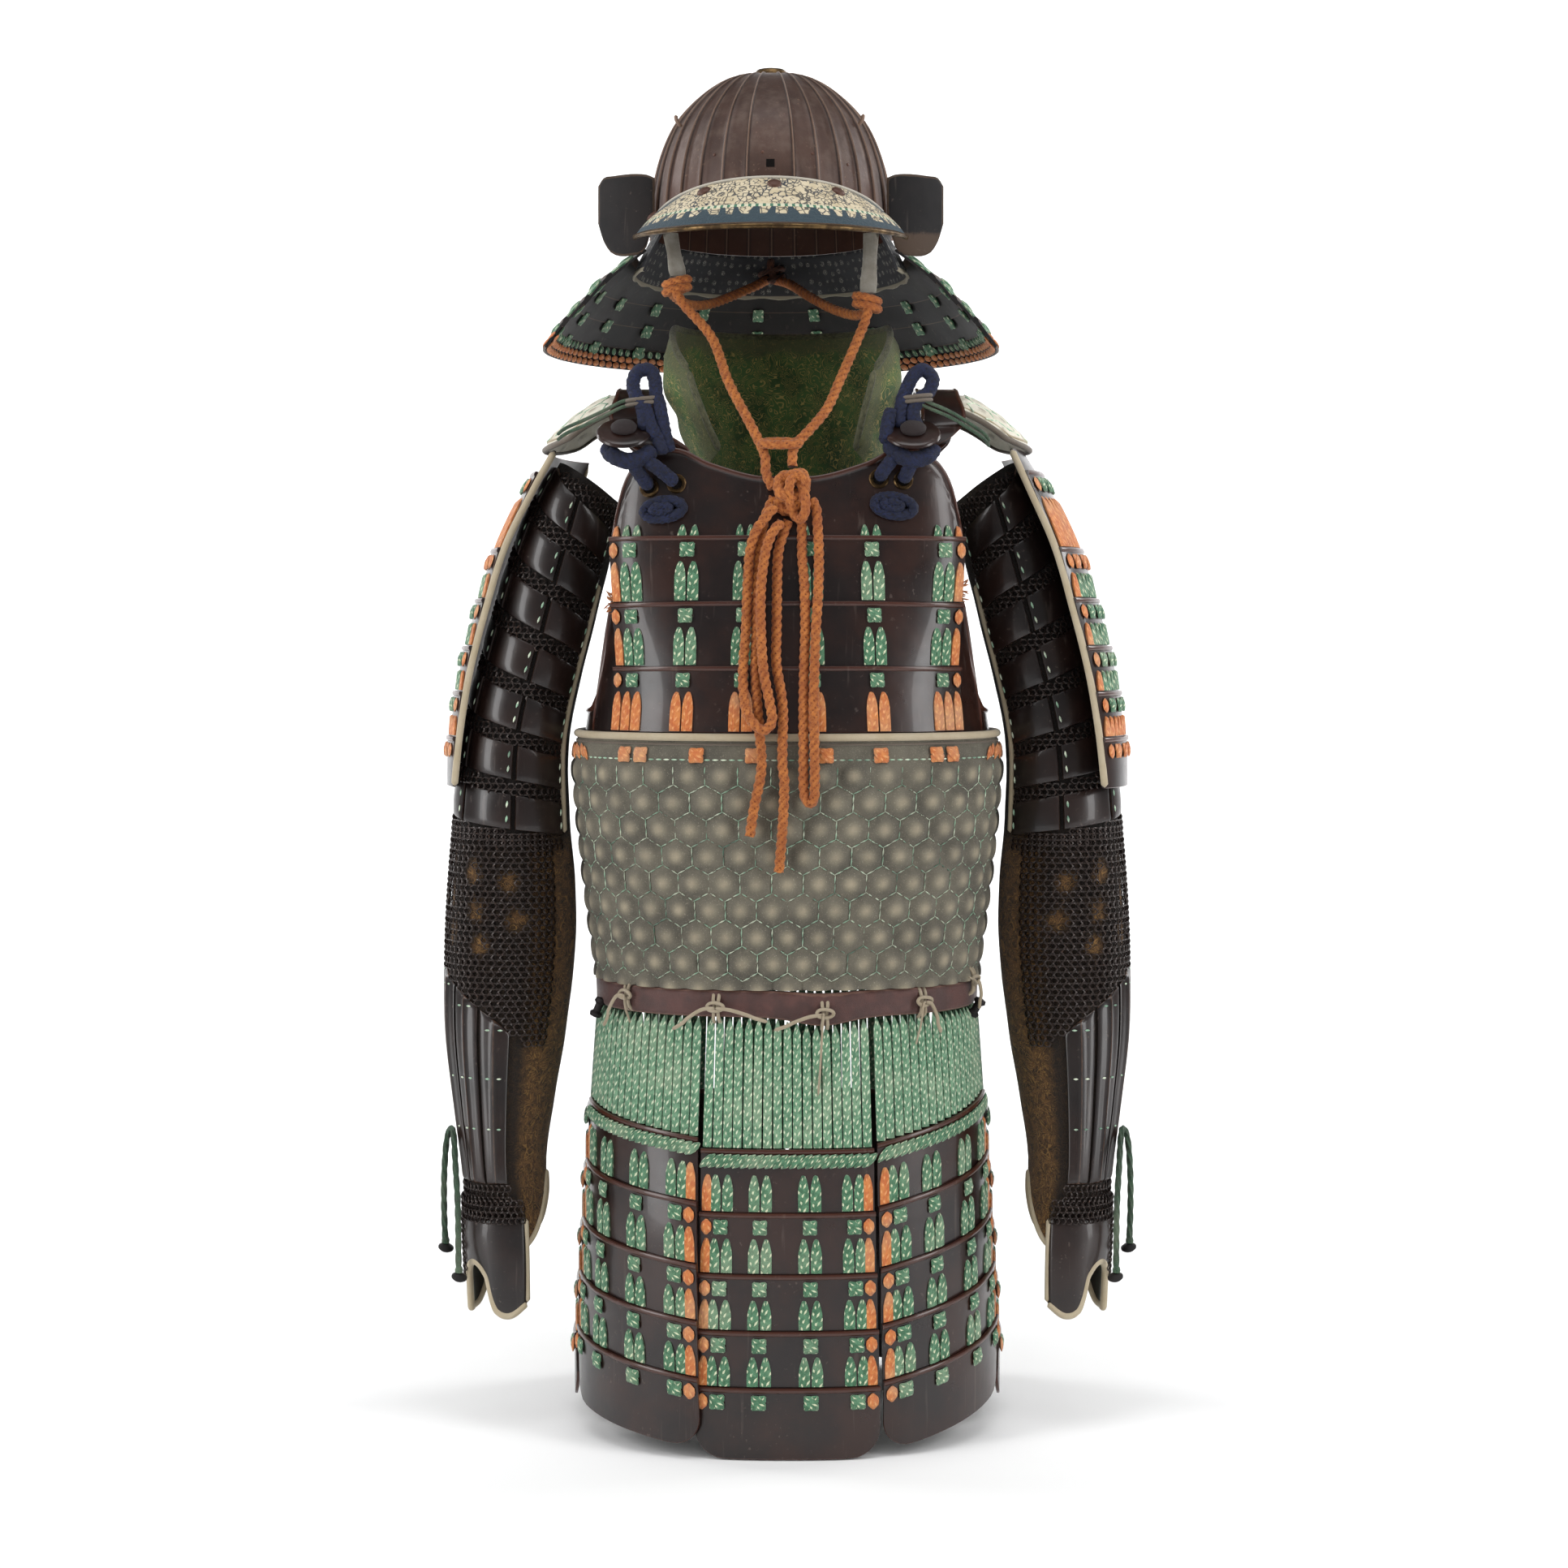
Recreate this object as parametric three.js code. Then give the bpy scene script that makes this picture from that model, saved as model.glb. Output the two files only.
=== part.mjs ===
// Lamellar armour in its worn pose, with no wearer in it: helmet, collar, cuirass, skirt and sleeves.
// Millimetres, +Z up, +X to the right of a person who faces the armour, whose front is towards -Y.
// The origin is the middle of the wearer's shoulders, which carry the weight.

import * as THREE from "three";

const { Vector2, Vector3 } = THREE;

// Driving sizes
const PLATE = 2.4; // thickness of a lacquered plate
const STEP = 3.4; // how far a lame's top edge stands out past the lame above it
const LIP = 1.4; // raised rim along a lame's top edge
const LIP_DEPTH = 3.5;
const LAP = 8; // how far a lame runs down behind the next one
const SEAM = 0.4; // clear gap between neighbouring pieces
const CLOTH = 1; // half the wall of a cloth tube
const OVER_CLOTH = 2.4; // inner face of what is laced over the cloth
const CORD = 8; // diameter of the chin cord
const WRIST_CORD = 5;

const HELMET_X = -14; // the helmet sits a little to one side
const RIBS = 30; // ridges of the bowl, apart from the wide front plate
const RIB_HEIGHT = 2.4;
const BOWL_WALL = 2.6;
const FRONT_PLATE = 40; // width of the bowl's front plate at the rim
const RING_RADIUS = 14; // crown ring
const RING_HOLE = 6;

const CHEST_HALF = 150; // from the centre of the chest plate to its edge, along the plate
const CHEST_RIMS = [-103, -157, -210]; // top edges of the three chest lames
const CHEST_END = -264; // lower edge of the cuirass plates
const SIDE_UNDERLAP = 14; // how far the side plates run in behind the chest and back

const BELLY_TOP = CHEST_END - SEAM;
const BELLY_END = -473.6;
const PIPING = 7;
const HEX_TOP = -291;
const HEX_ROWS = 8;
const HEX_DOME = 3.4;
const HEX_ACROSS = 40; // half hexagons across the front, and across the back
const BELT_TOP = BELLY_END - SEAM;
const BELT_END = -496;
const BELT_SAG = 7;
const HANG = 0.8; // from the belt down to the laces it carries

const TASSETS = 7;
const TASSET_GAP = 3;
const TASSET_RIMS = [0, 51, 100, 145, 190]; // top edges of a tasset's lames, down from its top
const TASSET_LENGTH = 247;
const TASSET_CORNER = 24;
const LACES = 14; // laces that carry one tasset
const LACE_RELIEF = 2.6;

const SPLINTS = 7; // ridged strips of a forearm guard
const SPLINT_RELIEF = 3;

// Level rings of each hollow form, from the top down: a half width and b half depth of the ring's inner face
const TORSO = [
  { z: -24, x: 0, y: 0, a: 142, b: 111 },
  { z: -60, x: 0, y: 0, a: 150, b: 116 },
  { z: -100, x: 0, y: 0, a: 156, b: 121 },
  { z: -160, x: 0, y: 0, a: 162, b: 127 },
  { z: -215, x: 0, y: 0, a: 168, b: 133 },
  { z: -265, x: 0, y: 0, a: 175, b: 138 },
  { z: -290, x: 0, y: 0, a: 179, b: 140 },
  { z: -385, x: 0, y: 0, a: 170, b: 138 },
  { z: -475, x: 0, y: 0, a: 159, b: 129 },
  { z: -500, x: 0, y: 0, a: 158, b: 128 },
];
const SKIRT = [
  { z: -497, x: 0, y: 0, a: 159, b: 130 },
  { z: -600, x: 0, y: 0, a: 166, b: 138 },
  { z: -700, x: 0, y: 0, a: 172, b: 146 },
  { z: -800, x: 0, y: 0, a: 178, b: 153 },
  { z: -860, x: 0, y: 0, a: 181, b: 157 },
];
const BOWL = [
  { z: 298, x: HELMET_X, y: 4, a: 15, b: 16 },
  { z: 294, x: HELMET_X, y: 4, a: 34, b: 38 },
  { z: 287, x: HELMET_X, y: 4, a: 48, b: 54 },
  { z: 273, x: HELMET_X, y: 4, a: 65, b: 73 },
  { z: 252, x: HELMET_X, y: 4, a: 82, b: 93 },
  { z: 224, x: HELMET_X, y: 4, a: 94, b: 107 },
  { z: 196, x: HELMET_X, y: 4, a: 100, b: 115 },
  { z: 158, x: HELMET_X, y: 4, a: 103, b: 118 },
];
const LINING_BAND = [
  { z: 158, x: HELMET_X, y: 4, a: 100, b: 115 },
  { z: 140, x: HELMET_X, y: 4, a: 110, b: 124 },
  { z: 122, x: HELMET_X, y: 4, a: 118, b: 133 },
];
const NECK_GUARD = [
  { z: 141, x: HELMET_X, y: 4, a: 110.6, b: 124.8 },
  { z: 118, x: HELMET_X, y: 4, a: 143, b: 149 },
  { z: 100, x: HELMET_X, y: 4, a: 160, b: 166 },
  { z: 82, x: HELMET_X, y: 4, a: 177, b: 182 },
  { z: 60, x: HELMET_X, y: 4, a: 195, b: 199 },
];
const COLLAR = [
  { z: 86, x: -5, y: 14, a: 92, b: 84 },
  { z: 40, x: -5, y: 8, a: 98, b: 84 },
  { z: 0, x: -3, y: 4, a: 88, b: 84 },
  { z: -30, x: 0, y: 12.4, a: 80, b: 88 },
  { z: -64, x: 0, y: 20.5, a: 76, b: 94 },
];
const ARM = [
  { z: -50, x: -174, y: 4, a: 30, b: 40 },
  { z: -75, x: -182, y: 4, a: 36, b: 46 },
  { z: -110, x: -192, y: 3, a: 40, b: 50 },
  { z: -161, x: -206, y: 2, a: 42, b: 51 },
  { z: -266, x: -232, y: -2, a: 42, b: 50 },
  { z: -336, x: -239, y: -6, a: 43, b: 50 },
  { z: -455, x: -244, y: -12, a: 45, b: 48 },
  { z: -520, x: -245, y: -18, a: 43, b: 46 },
  { z: -580, x: -243, y: -26, a: 37, b: 41 },
  { z: -630, x: -239, y: -34, a: 33, b: 37 },
  { z: -660, x: -236, y: -38, a: 33, b: 35 },
  { z: -700, x: -234, y: -42, a: 33, b: 33 },
  { z: -760, x: -232, y: -48, a: 31, b: 31 },
];
const SHOULDER_GUARD = [
  { z: -26, x: -167.1, y: 16, a: 34, b: 96 },
  { z: -60, x: -175.1, y: 14, a: 47, b: 100 },
  { z: -110, x: -191.1, y: 12, a: 57, b: 104 },
  { z: -160, x: -203.1, y: 10, a: 61, b: 106 },
  { z: -215, x: -216.1, y: 8, a: 62, b: 106 },
  { z: -265, x: -225.1, y: 8, a: 61, b: 106 },
  { z: -315, x: -231.1, y: 8, a: 60, b: 106 },
];

// Smooth value of one column of a table, at a place in its first column
function column(rows, key, name, place) {
  const down = rows[0][key] > rows[rows.length - 1][key] ? -1 : 1;
  const last = rows.length - 1;
  if ((place - rows[0][key]) * down <= 0) return rows[0][name];
  if ((place - rows[last][key]) * down >= 0) return rows[last][name];
  let i = 0;
  while ((place - rows[i + 1][key]) * down > 0) i++;
  const slope = (k) => {
    const before = rows[Math.max(k - 1, 0)];
    const after = rows[Math.min(k + 1, last)];
    return (after[name] - before[name]) / (after[key] - before[key]);
  };
  const span = rows[i + 1][key] - rows[i][key];
  const t = (place - rows[i][key]) / span;
  const rise = rows[i + 1][name] - rows[i][name];
  const from = slope(i) * span;
  const to = slope(i + 1) * span;
  return rows[i][name] + t * (from + t * (3 * rise - 2 * from - to + t * (from + to - 2 * rise)));
}

// A hollow form made of level rings. Its places are (s, z): s is measured along the ring of size gauge from
// the direction zero (0 is the front, a quarter turn is +X), and z is the height.
function ringForm(rows, gauge, power = 2, zero = 0) {
  const steps = 720;
  const spot = (angle, a, b) => {
    const sine = Math.sin(angle);
    const cosine = Math.cos(angle);
    const reach = (Math.abs(sine) ** power + Math.abs(cosine) ** power) ** (-1 / power);
    return new Vector2(a * reach * sine, -b * reach * cosine);
  };
  const lengths = [0];
  for (let i = 1; i <= steps; i++) {
    const from = spot(zero + ((i - 1) / steps) * 2 * Math.PI, gauge.a, gauge.b);
    const to = spot(zero + (i / steps) * 2 * Math.PI, gauge.a, gauge.b);
    lengths.push(lengths[i - 1] + from.distanceTo(to));
  }
  const girth = lengths[steps];
  const form = (s, z) => {
    const wanted = ((s % girth) + girth) % girth;
    let low = 0;
    let high = steps;
    while (high - low > 1) {
      const middle = (low + high) >> 1;
      if (lengths[middle] > wanted) high = middle;
      else low = middle;
    }
    const part = (wanted - lengths[low]) / (lengths[high] - lengths[low]);
    const angle = zero + ((low + part) / steps) * 2 * Math.PI;
    const at = (name) => column(rows, "z", name, z);
    const flat = spot(angle, at("a"), at("b"));
    return new Vector3(at("x") + flat.x, at("y") + flat.y, z);
  };
  form.girth = girth;
  return form;
}

// The point that stands h off a form at the place (s, t)
function raised(form, s, t, h) {
  const nudge = 0.5;
  const across = form(s + nudge, t).sub(form(s - nudge, t));
  const along = form(s, t + nudge).sub(form(s, t - nudge));
  return form(s, t).addScaledVector(across.cross(along).normalize(), h);
}

// Geometry of one closed body, its faces turned outwards
function closedBody(points, index) {
  let volume = 0;
  for (let i = 0; i < index.length; i += 3) {
    const [a, b, c] = [points[index[i]], points[index[i + 1]], points[index[i + 2]]];
    volume += a.dot(new Vector3().crossVectors(b, c));
  }
  if (volume < 0) {
    for (let i = 0; i < index.length; i += 3) [index[i], index[i + 1]] = [index[i + 1], index[i]];
  }
  const geometry = new THREE.BufferGeometry().setFromPoints(points);
  geometry.setIndex(index);
  geometry.computeVertexNormals();
  return geometry;
}

// Section of a wall from rows [t, inner, outer] down it; a row with no inner value has only an outer point
function section(rows) {
  const outer = rows.map(([t, , h]) => [t, h]);
  const inner = rows.filter((row) => row[1] !== null).map(([t, h]) => [t, h]);
  return { outer, inner };
}

// A wall on a form: at each station across it, sectionAt gives the section, whose points [t, h] run down
// its outer face and back up its inner face
function wall(form, stations, sectionAt, closed = false) {
  const sections = stations.map(sectionAt);
  const { outer, inner } = sections[0];
  const count = outer.length + inner.length;
  const points = stations.flatMap((s, i) => [...sections[i].outer, ...sections[i].inner.toReversed()]
    .map(([t, h]) => raised(form, s, t, h)));
  const index = [];
  const spans = closed ? stations.length : stations.length - 1;
  for (let i = 0; i < spans; i++) {
    const next = (i + 1) % stations.length;
    for (let j = 0; j < count; j++) {
      const k = (j + 1) % count;
      const [a, b] = [i * count + j, next * count + j];
      const [c, d] = [next * count + k, i * count + k];
      index.push(a, b, c, a, c, d);
    }
  }
  if (!closed) {
    capEnd(index, sections[0], 0, false);
    capEnd(index, sections[sections.length - 1], (sections.length - 1) * count, true);
  }
  return closedBody(points, index);
}

// Faces over the section at one end of a wall, laced between its outer and inner points
function capEnd(index, { outer, inner }, first, reversed) {
  const last = first + outer.length + inner.length - 1;
  const run = (points, k) => (k < points.length ? Math.abs(points[k][0] - points[0][0]) : Infinity);
  let i = 0;
  let j = 0;
  while (i < outer.length - 1 || j < inner.length - 1) {
    const onOuter = run(outer, i + 1) <= run(inner, j + 1);
    const face = onOuter ? [first + i, first + i + 1, last - j] : [first + i, last - j - 1, last - j];
    index.push(...(reversed ? face.reverse() : face));
    if (onOuter) i++;
    else j++;
  }
}

// Evenly spaced stations from one edge to the other
function stations(from, to, spans) {
  return Array.from({ length: spans + 1 }, (_, i) => from + ((to - from) * i) / spans);
}

// Stations all the way round a form
function around(form, spans) {
  return stations(0, form.girth, spans).slice(0, spans);
}

// The same piece for the other side
function mirrored(geometry) {
  const position = geometry.getAttribute("position");
  const points = [];
  for (let i = 0; i < position.count; i++) {
    points.push(new Vector3(-position.getX(i), position.getY(i), position.getZ(i)));
  }
  return closedBody(points, [...geometry.getIndex().array]);
}

// A round cord along a route
function cord(route, diameter, steps) {
  const sides = 8;
  const round = stations(0, 2 * Math.PI, sides).slice(0, sides);
  const outline = new THREE.Shape(
    round.map((angle) => new Vector2(Math.cos(angle), Math.sin(angle)).multiplyScalar(diameter / 2)),
  );
  const path = new THREE.CatmullRomCurve3(route.map((point) => new Vector3(...point)));
  return new THREE.ExtrudeGeometry(outline, { steps, extrudePath: path, bevelEnabled: false });
}

const group = new THREE.Group();
group.name = "lamellar_armour";

function add(name, geometry, colour, roughness = 0.5, metalness = 0) {
  const material = new THREE.MeshStandardMaterial({ color: colour, roughness, metalness });
  const mesh = new THREE.Mesh(geometry, material);
  mesh.name = name;
  group.add(mesh);
  return mesh;
}

const IRON = 0x55413a;
const LACQUER = 0x281c1a;
const RIM = 0x4b281e;
const PRINTED_LEATHER = 0xb8b093;
const GREEN_LACE = 0x5f966e;
const CHIN_CORD = 0xc87832;
const BROCADE = 0x2d4623;
const PALE_LEATHER = 0xe1d7be;
const HEX_LEATHER = 0x6e6a5c;
const BELT_LEATHER = 0x4b2d28;
const MAIL = 0x2d2623;
const SLEEVE_CLOTH = 0x4a3824;
const BLUE = 0x1c264b;
const BRASS = 0x8a7645;

const torso = ringForm(TORSO, { a: 168, b: 132 }, 2.4);
const skirt = ringForm(SKIRT, { a: 170, b: 142 }, 2.4);
const bowl = ringForm(BOWL, { a: 103, b: 118 });
const band = ringForm(LINING_BAND, { a: 110, b: 124 }, 2, Math.PI);
const guard = ringForm(NECK_GUARD, { a: 155, b: 160 }, 2, Math.PI);
const collar = ringForm(COLLAR, { a: 92, b: 84 }, 2, Math.PI);
const arm = ringForm(ARM, { a: 44, b: 50 }, 2, -Math.PI / 2);

// Helmet bowl: a ridge at each plate's edge, the front plate wider than the others
function bowlStations() {
  const rest = (bowl.girth - FRONT_PLATE) / RIBS;
  const ridges = stations(FRONT_PLATE / 2, bowl.girth - FRONT_PLATE / 2, RIBS);
  return [0, ...ridges.flatMap((s, i) => (i < RIBS ? [s, s + rest / 2] : [s]))];
}

function bowlWall() {
  const sides = bowlStations();
  const heights = [298, 291, 279, 256, 216, 160];
  const sectionAt = (s, i) => {
    const ridge = i % 2 === 1 ? RIB_HEIGHT : 0;
    const rows = heights.map((z, k) => [z, k % 2 === 0 || k === 5 ? -BOWL_WALL : null, k === 0 ? 0.6 : ridge]);
    return section(rows);
  };
  return wall(bowl, sides, sectionAt, true);
}

function crownRing() {
  const profile = [
    [RING_HOLE, 0], [RING_RADIUS, 0], [RING_RADIUS + 2, 2.5], [RING_RADIUS - 2, 6], [RING_HOLE, 4.5], [RING_HOLE, 0],
  ];
  const geometry = new THREE.LatheGeometry(profile.map(([x, y]) => new Vector2(x, y)), 20);
  return geometry.rotateX(Math.PI / 2).translate(HELMET_X, 4, 297.9);
}

// Peak: from the bowl's front down and out to a brass-edged rim
function peak() {
  const half = 118;
  const bend = (s) => (s / half) ** 2;
  const form = (s, t) => {
    const hinge = raised(bowl, s, 191 - 18 * bend(s), RIB_HEIGHT + SEAM + 1);
    const rim = raised(bowl, s, 170, 1);
    const out = new Vector3(rim.x - HELMET_X, rim.y - 4, 0).normalize();
    rim.addScaledVector(out, 52 - 26 * bend(s)).setZ(145 + 6 * bend(s));
    const reach = t / 100;
    return hinge.lerp(rim, reach).add(new Vector3(0, 0, 10 * reach * (1 - reach)));
  };
  const loop = section([[0, 0, PLATE], [33, 0, PLATE], [66, 0, PLATE], [95, null, PLATE], [96, null, PLATE + 1.6],
    [100, 0, PLATE + 1.6]]);
  return wall(form, stations(-half, half, 16), () => loop);
}

// Ear: the turned-back front end of the neck guard, drawn for the left side
function ear() {
  const outline = [
    { c: 0, top: 202, low: 174 }, { c: 7, top: 205, low: 144 }, { c: 20, top: 206, low: 137 },
    { c: 36, top: 205, low: 139 }, { c: 44, top: 204, low: 150 }, { c: 49, top: 197, low: 166 },
  ];
  const form = (c, z) => new Vector3(HELMET_X - 98 - c, -52 + 0.1 * c + 0.004 * c * c, z);
  const sectionAt = (c) => {
    const top = column(outline, "c", "top", c);
    const low = column(outline, "c", "low", c);
    return section([[top, 0, PLATE], [low, 0, PLATE]]);
  };
  return wall(form, outline.map((row) => row.c), sectionAt);
}

function liningBand() {
  const half = 0.325 * band.girth;
  const loop = section([[159.6, 0, 2], [140, 0, 2], [123, 0, 2]]);
  return wall(band, stations(-half, half, 20), () => loop);
}

// Neck guard: four flaring lames, each laced outside the one above
function neckGuard() {
  const half = 0.285 * guard.girth;
  const rims = [139, 119, 101, 83];
  const rows = [];
  rims.forEach((z, i) => {
    rows.push([z, i === 0 ? 0 : null, PLATE + STEP * 0.6], [(rims[i + 1] ?? 60) + 0.6, i > 0 ? 0 : null, PLATE]);
  });
  const form = (s, z) => guard(s * (1 + 0.0015 * (z - 60)), z);
  return wall(form, stations(-half, half, 20), () => section(rows));
}

add("helmet_bowl", bowlWall(), IRON, 0.45, 0.6);
add("crown_ring", crownRing(), BRASS, 0.4, 0.9);
add("helmet_peak", peak(), PRINTED_LEATHER, 0.7);
add("ear_left", ear(), LACQUER, 0.3);
add("ear_right", mirrored(ear()).translate(2 * HELMET_X, 0, 0), LACQUER, 0.3);
add("lining_band", liningBand(), LACQUER, 0.6);
add("neck_guard", neckGuard(), LACQUER, 0.3);

// Doubled leather loops that hang inside the helmet and take the chin cord
function leatherLoop(top, end) {
  const form = (s, t) => new Vector3(...top).lerp(new Vector3(...end), -t / 100).add(new Vector3(s, 0, 0));
  return wall(form, stations(-6, 6, 2), () => section([[0, 0, 2.5], [-50, 0, 4], [-100, 0, 3]]));
}

add("cord_loop_left", leatherLoop([HELMET_X - 85, -42, 156], [HELMET_X - 78, -54, 118]), PALE_LEATHER, 0.8);
add("cord_loop_right", leatherLoop([HELMET_X + 85, -42, 156], [HELMET_X + 82, -54, 104]), PALE_LEATHER, 0.8);

// Chin cord: two runs from the back of the helmet through the loops to a knot, and what hangs below it
const CORD_LEFT = [
  [-18.4, 125.6, 139], [-21, 116, 137], [-27, 98, 131], [-48, 70, 118], [-69, 36, 106], [-86, -6, 101], [-97, -40, 105],
  [-95, -64, 106], [-86, -70, 92], [-63, -80, 64], [-49, -98, 26], [-34, -112, -4], [-24, -121, -24],
  [-18.4, -126, -38], [-17.5, -129, -52], [-12, -133, -64.5],
];
const CORD_RIGHT = [
  [-9.6, 125.6, 139], [-6, 116, 137], [4, 98, 131], [20, 62, 116], [40, 20, 100], [58, -18, 90], [68, -44, 90],
  [68, -66, 90], [64, -70, 76], [55, -80, 54], [44, -94, 28], [33, -108, 3], [20, -118, -14],
  [8, -124, -27], [4.4, -128.4, -35], [4, -131.5, -47],
];
const KNOT = { x: 4, y: -134, z: -69, wide: 13, deep: 12, tall: 22 };
const LEFT_LOOP = [
  [-10.5, -139, -80], [-18, -142, -89], [-26, -142, -101], [-30.5, -141, -118], [-32.5, -141.5, -147],
  [-33.7, -144, -180], [-36, -147.5, -215], [-34.5, -152, -240], [-30, -157.5, -252], [-20, -162, -261],
  [-12.5, -160, -254], [-14.5, -156, -238], [-19.5, -153.5, -212], [-21.5, -150.5, -180], [-21.5, -147.5, -147],
  [-18, -146, -118], [-12, -143.5, -101], [-5, -139.5, -93],
];
const LEFT_TAIL = [
  [-11, -129.6, -72], [-17, -131.5, -85], [-21, -132.5, -100], [-23.5, -134.5, -118], [-25, -139, -147],
  [-25.5, -141.8, -180], [-26, -145, -212], [-24.5, -148.5, -240], [-22.7, -151.8, -262], [-21, -153.5, -284],
  [-22, -153.5, -300], [-27, -153, -324], [-30.5, -152.5, -347],
];
const MIDDLE_TAIL = [
  [1, -132.6, -90.8], [-3, -132.4, -101], [-7.5, -134.5, -118], [-8.5, -139.2, -147], [-8.8, -142, -180],
  [-9, -145, -207], [-5, -148, -232], [-3.5, -150.5, -250], [-4, -153, -270], [-4, -153.5, -290],
  [-2.6, -153.5, -305], [-4, -153, -340], [-6.9, -151.5, -376],
];
const RIGHT_LOOP = [
  [11.5, -133.2, -91.5], [11.8, -134, -101], [12, -136, -120], [14, -139.6, -147], [14.5, -142.5, -180],
  [13.5, -146, -212], [13, -150, -245], [13, -153.5, -275], [13, -154, -305], [14.5, -155, -316],
  [18, -156, -320], [21.4, -157, -316], [22, -157, -300], [21.8, -156.5, -275], [21.3, -153.5, -245],
  [21.8, -149.5, -212], [23, -146, -180], [25, -142, -147], [25.5, -139, -118], [24.5, -137.5, -95],
  [23.4, -136.8, -82], [19.6, -136.5, -73.5],
];

function knot() {
  const ball = new THREE.SphereGeometry(1, 12, 8);
  ball.rotateX(Math.PI / 2).scale(KNOT.wide, KNOT.deep, KNOT.tall);
  return ball.translate(KNOT.x, KNOT.y, KNOT.z);
}

add("chin_cord_left", cord(CORD_LEFT, CORD, 16), CHIN_CORD, 0.8);
add("chin_cord_right", cord(CORD_RIGHT, CORD, 16), CHIN_CORD, 0.8);
add("chin_cord_knot", knot(), CHIN_CORD, 0.8);
add("chin_cord_loop_left", cord(LEFT_LOOP, CORD, 17), CHIN_CORD, 0.8);
add("chin_cord_tail_left", cord(LEFT_TAIL, CORD, 10), CHIN_CORD, 0.8);
add("chin_cord_tail_middle", cord(MIDDLE_TAIL, CORD, 10), CHIN_CORD, 0.8);
add("chin_cord_loop_right", cord(RIGHT_LOOP, CORD, 20), CHIN_CORD, 0.8);

// Standing collar: padded, open at the front, its front corners turned outwards
function standingCollar() {
  const half = 0.37 * collar.girth;
  const sectionAt = (s) => {
    const turn = Math.abs(s) / half;
    const top = 84 - 46 * Math.max(0, (turn - 0.62) / 0.38) ** 1.6;
    const low = -62 + 34 * Math.max(0, (turn - 0.7) / 0.3);
    const flare = 12 * Math.max(0, (turn - 0.6) / 0.4) ** 2;
    const rows = [0, 0.3, 0.6, 0.85, 1].map((t) => {
      const swell = 4.5 * Math.sqrt(Math.max(0.15, 1 - (2 * t - 1) ** 2));
      return [top + (low - top) * t, flare * (1 - t) - swell, flare * (1 - t) + swell];
    });
    return section(rows);
  };
  return wall(collar, stations(-half, half, 20), sectionAt);
}

add("collar", standingCollar(), BROCADE, 0.9);

// Top edges of the chest and back plates, from the centre outwards
const CHEST_TOP = [
  { s: 0, z: -54 }, { s: 30, z: -53 }, { s: 72, z: -42 }, { s: 96, z: -31 }, { s: 118, z: -31 },
  { s: 138, z: -50 }, { s: 146, z: -74 }, { s: CHEST_HALF, z: -92 },
];
const BACK_TOP = [
  { s: 0, z: -30 }, { s: 60, z: -28 }, { s: 96, z: -26 }, { s: 118, z: -30 },
  { s: 138, z: -50 }, { s: 146, z: -74 }, { s: CHEST_HALF, z: -92 },
];
const EDGE_STATIONS = [-150, -146, -138, -128, -118, -96, -72, -48, -24, 0, 24, 48, 72, 96, 118, 128, 138, 146, 150];

function topPlate(centre, tops) {
  const end = CHEST_RIMS[0] - LAP;
  const sectionAt = (s) => {
    const top = column(tops, "s", "z", Math.abs(s));
    return section([[top, 0, PLATE + 1.6], [top - LIP_DEPTH, null, PLATE + 1.6], [top - LIP_DEPTH - 1, null, PLATE],
      [end, 0, PLATE]]);
  };
  const form = (s, z) => torso(centre + s, z);
  return wall(form, EDGE_STATIONS, sectionAt);
}

// One lame of the chest: its rim stands out past the plate above
function chestLame(rim, end) {
  const loop = section([[rim, STEP, PLATE + STEP + LIP], [rim - LIP_DEPTH, null, PLATE + STEP + LIP],
    [rim - LIP_DEPTH - 1, null, PLATE + STEP], [end, 0, PLATE]]);
  return wall(torso, stations(-CHEST_HALF, CHEST_HALF, 14), () => loop);
}

// Rows of a stack of lames fused into one wall, with its inside plain
function stackRows(rims, end, step) {
  return rims.flatMap((z, i) => [[z, i === 0 ? 0 : null, PLATE + (i === 0 ? 0.8 : step)],
    [(rims[i + 1] ?? end) + 0.5, rims[i + 1] === undefined ? 0 : null, PLATE]]);
}

function backLames() {
  const centre = torso.girth / 2;
  const rows = stackRows(CHEST_RIMS.map((z) => z - LAP - SEAM), CHEST_END - 0.5, STEP);
  return wall((s, z) => torso(centre + s, z), stations(-CHEST_HALF, CHEST_HALF, 12), () => section(rows));
}

// Side plate under the arm, cut away for it
function sidePlate() {
  const reach = torso.girth / 4 - CHEST_HALF + SIDE_UNDERLAP;
  const edge = [
    { s: 0, z: -244 }, { s: reach * 0.45, z: -240 }, { s: reach * 0.68, z: -218 }, { s: reach * 0.82, z: -172 },
    { s: reach * 0.9, z: -146 }, { s: reach, z: -134 },
  ];
  const places = edge.map((row) => row.s);
  const sectionAt = (s) => {
    const top = column(edge, "s", "z", Math.abs(s));
    return section([[top, -PLATE - SEAM, 0.8], [top - LIP_DEPTH, null, 0.8], [top - LIP_DEPTH - 1, null, -SEAM],
      [CHEST_END, -PLATE - SEAM, -SEAM]]);
  };
  const form = (s, z) => raised(torso, s - torso.girth / 4, z, -1.2);
  return wall(form, [...places.slice(1).reverse().map((s) => -s), ...places], sectionAt);
}

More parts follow.
